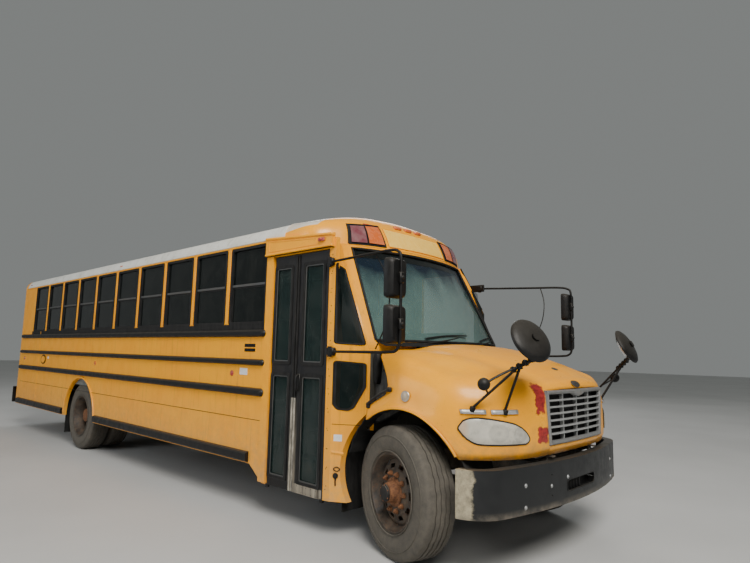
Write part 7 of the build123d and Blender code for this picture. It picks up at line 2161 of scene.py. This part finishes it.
B.obj("emergency_trim", ["seal", "galv", "yellow"], "emergency_door", smooth=40, slot="trim_black")

# bolt heads on the rear bumper
B = Bag()
for s in (-1, 1):
    for x in (0.34, 0.46):
        for z in (0.60, 0.68):
            B.hexnut((s * x, Y(10.150), z), (0, 1, 0), 0.014, 0.010, 0)
B.obj("rear_bolts", ["rust"], "chassis", smooth=40, slot="bumper_black")

# ------------------------------------------------------------------ stop arm: blank, bevelled, red with a pale border
def stop_mat():
    M = Mat("stop_red")
    n = M.noise(8.0, 5, 0.6)
    y = M.math("SUBTRACT", M.math("SUBTRACT", M.axis("Y"), FA), 2.275)
    z = M.math("SUBTRACT", M.axis("Z"), 1.318)
    ay, az = M.math("ABSOLUTE", y), M.math("ABSOLUTE", z)
    diag = M.math("MULTIPLY", M.math("ADD", ay, az), 0.70711)
    d = M.math("MAXIMUM", M.math("MAXIMUM", ay, az), diag)
    rim = M.band(d, 0.198, 0.2125, 0.001)
    col = M.mix(M.ramp(n, [(0.35, 0.0), (0.75, 0.6)]), (0.42, 0.012, 0.010), (0.26, 0.014, 0.012))
    col = M.mix(rim, col, (0.66, 0.64, 0.60))
    M.set(color=col, rough=0.38, coat=0.3)
    return M.m


MAT["stop"] = stop_mat()
MAT["lamp_glow"] = lens_mat("stop_lens", (0.50, 0.02, 0.015), 0.15, 0.1)
B = Bag()
oct_ = [(2.275 + 0.235 * cos(radians(22.5 + 45 * k)), 1.318 + 0.235 * sin(radians(22.5 + 45 * k))) for k in range(8)]
oct_in = [(2.275 + 0.229 * cos(radians(22.5 + 45 * k)), 1.318 + 0.229 * sin(radians(22.5 + 45 * k))) for k in range(8)]
X1, X2 = HW + 0.062, HW + 0.070
V = [(X1 + 0.0015, Y(a), b) for a, b in oct_] + [(X2 - 0.0015, Y(a), b) for a, b in oct_] + [(X1, Y(a), b) for a, b in oct_in] + [(X2, Y(a), b) for a, b in oct_in]
F = []
for k in range(8):
    j = (k + 1) % 8
    F += [(k, j, 8 + j, 8 + k), (k, j, 16 + j, 16 + k), (8 + k, 8 + j, 24 + j, 24 + k)]
F += [tuple(range(16, 24)), tuple(range(31, 23, -1))]
B.add(V, F, 0)
B.box((X1, Y(1.992), 1.245), (X2, Y(2.075), 1.391), 1, 0.003)
for z in (1.455, 1.181):
    for dx, x_ in ((1, X2), (-1, X1)):
        B.revolve([(0.0, 0.036), (0.010, 0.036), (0.014, 0.031), (0.016, 0.018), (0.016, 0.0001)], (x_, Y(2.275), z), (dx, 0, 0), 24, [1, 2, 2, 2])
for z in (1.270, 1.366):
    B.hexnut((X2, Y(2.045), z), (1, 0, 0), 0.009, 0.007, 1)
B.tube([(X1 - 0.006, Y(2.0), 1.248), (X1 - 0.006, Y(2.0), 1.388)], 0.0138, 16, 1)
B.obj("stop_arm_skin", ["stop", "black", "lamp_glow"], "stop_arm", smooth=35, replaces="stop_arm", slot="stop_red")
B = Bag()
for z in (1.250, 1.300, 1.340, 1.385):
    for yy in (1.94, 2.06):
        B.hexnut((HW + 0.030, Y(yy), z), (1, 0, 0), 0.007, 0.006, 0)
B.obj("stop_bracket_bolts", ["galv"], "chassis", smooth=35, slot="galvanised")

# ------------------------------------------------------------------ hatches, bumper details
for nm, yc in (("front_hatch", 3.5), ("rear_hatch", 7.3)):
    B = Bag()
    z = 3.075
    o = round_poly(rect(0, yc, 0.60, 0.60), 0.05, 4)
    i_ = round_poly(rect(0, yc, 0.46, 0.46), 0.04, 4)

    def rf(x, y_, d, yc=yc):
        return (x, Y(y_), -0.5225 + sqrt(3.5625 ** 2 - x * x) + d)
    vs = [v.co for v in NODES[nm].data.vertices]
    ztop = max(v.z for v in vs)
    ring_frame(B, o, i_, lambda u, v, d, zt=ztop: (u, Y(v), zt + 0.004 - d), 0.008, 0)
    B.box((-0.10, Y(yc - 0.02), ztop - 0.001), (0.10, Y(yc + 0.02), ztop + 0.010), 0, 0.005)
    B.obj(nm + "_ribs", ["roof"], nm, smooth=40, slot="hatch_white")

B = Bag()
# bolt heads, and the air slot with its rim, tray and louvres
for x, yb, z in ((-1.042, -0.825, 0.682), (-0.793, -0.909, 0.669), (-0.485, -0.956, 0.630), (-0.248, -0.978, 0.667), (-1.043, -0.824, 0.533),
                 (-0.796, -0.909, 0.517), (0.793, -0.909, 0.669), (1.042, -0.825, 0.682), (1.043, -0.824, 0.533), (0.796, -0.909, 0.517)):
    ax = Vector((x * 0.35, -1, 0)).normalized()
    P = Vector((x, Y(yb), z))
    B.disc(tuple(P - ax * 0.004), tuple(ax), 0.016, 0.0055, 18, 1, 0.001)
    B.dome(tuple(P + ax * 0.001), tuple(ax), 0.0115, 0.008, 14, 4, 1)


def bump_y(x):
    return -0.985 + (4.2082 - sqrt(4.2082 ** 2 - x * x))


slot = round_poly(rect(0, 0.600, 0.528, 0.098), 0.034, 4)
slot_i = round_poly(rect(0, 0.600, 0.508, 0.078), 0.026, 4)
ring_frame(B, slot, slot_i, lambda u, v, d: (u, Y(bump_y(u) - 0.003 + d), v), 0.010, 0)
prof = [(0.012, 0.048), (0.060, 0.052), (0.066, 0.0), (0.060, -0.052), (0.012, -0.048)]
B.grid([[(-0.27 + 0.54 * k / 12, Y(bump_y(-0.27 + 0.54 * k / 12) + d), 0.600 + h) for d, h in prof] for k in range(13)], 2)
for k in (0, 12):
    x = -0.27 + 0.54 * k / 12
    B.grid([[(x, Y(bump_y(x) + d), 0.600 + h * w) for d, h in prof] for w in (1.0, 0.01)], 2)
for k in range(5):
    x = -0.235 + 0.052 * k
    B.box((x, Y(bump_y(x) + 0.010), 0.560), (x + 0.006, Y(bump_y(x) + 0.052), 0.640), 0, 0.001, rot=None)
B.obj("bumper_details", ["rail", "galv", "seal"], "chassis", smooth=50, slot="bumper_black")


def bumper_mat():
    """Black bumper, scraped to beige and bare at its door-side end."""
    M = Mat("bumper_black")
    n = M.noise(11.0, 6, 0.65)
    x, z = M.axis("X"), M.axis("Z")
    col = M.mix(M.ramp(n, [(0.4, 0.0), (0.8, 0.5)]), (0.004, 0.005, 0.006), (0.020, 0.021, 0.022))
    col = M.mix(M.math("MULTIPLY", M.math("MAXIMUM", M.normal("Z"), 0.0), 0.45, True), col, (0.10, 0.088, 0.070))
    wob = M.math("MULTIPLY", M.math("SUBTRACT", M.noise(9.0, 6, 0.7), 0.5), 0.09)
    end = M.math("DIVIDE", M.math("SUBTRACT", M.math("ADD", M.math("MULTIPLY", x, -1.0), wob), 1.196), 0.012, True)
    scr = M.ramp(M.noise(26.0, 5, 0.7), [(0.36, 0.55), (0.62, 1.0)])
    col = M.mix(M.math("MULTIPLY", end, scr, True), col, (0.40, 0.345, 0.23))
    low = M.math("MULTIPLY", dirt_low(M, 0.47, 0.52), M.ramp(n, [(0.35, 0.0), (0.65, 0.8)]), True)
    col = M.mix(low, col, (0.20, 0.17, 0.13))
    M.set(color=col, rough=M.ramp(n, [(0.3, 0.34), (0.8, 0.6)]), normal=M.bump(M.noise(90.0, 3, 0.6), 0.10, 0.003))
    return M.m


MAT["bumper"] = bumper_mat()
repaint("front_bumper", "bumper")


# ------------------------------------------------------------------ ground
def floor_mat():
    M = Mat("studio_floor")
    n = M.noise(0.5, 4, 0.5)
    col = M.mix(M.ramp(n, [(0.3, 0.0), (0.7, 1.0)]), (0.50, 0.50, 0.49), (0.56, 0.56, 0.55))
    M.set(color=col, rough=0.75, normal=M.bump(M.noise(120.0, 3, 0.6), 0.08, 0.002))
    return M.m


fm = bpy.data.meshes.new("studio_floor")
NG = 24
gv = [(-60 + 120 * i / NG, -60 + 120 * j / NG, -0.0015) for i in range(NG + 1) for j in range(NG + 1)]
gf = [(i * (NG + 1) + j, (i + 1) * (NG + 1) + j, (i + 1) * (NG + 1) + j + 1, i * (NG + 1) + j + 1) for i in range(NG) for j in range(NG)]
fm.from_pydata(gv, [], gf)
fm.materials.append(floor_mat())
fo = bpy.data.objects.new("studio_floor", fm)
bpy.context.scene.collection.objects.link(fo)
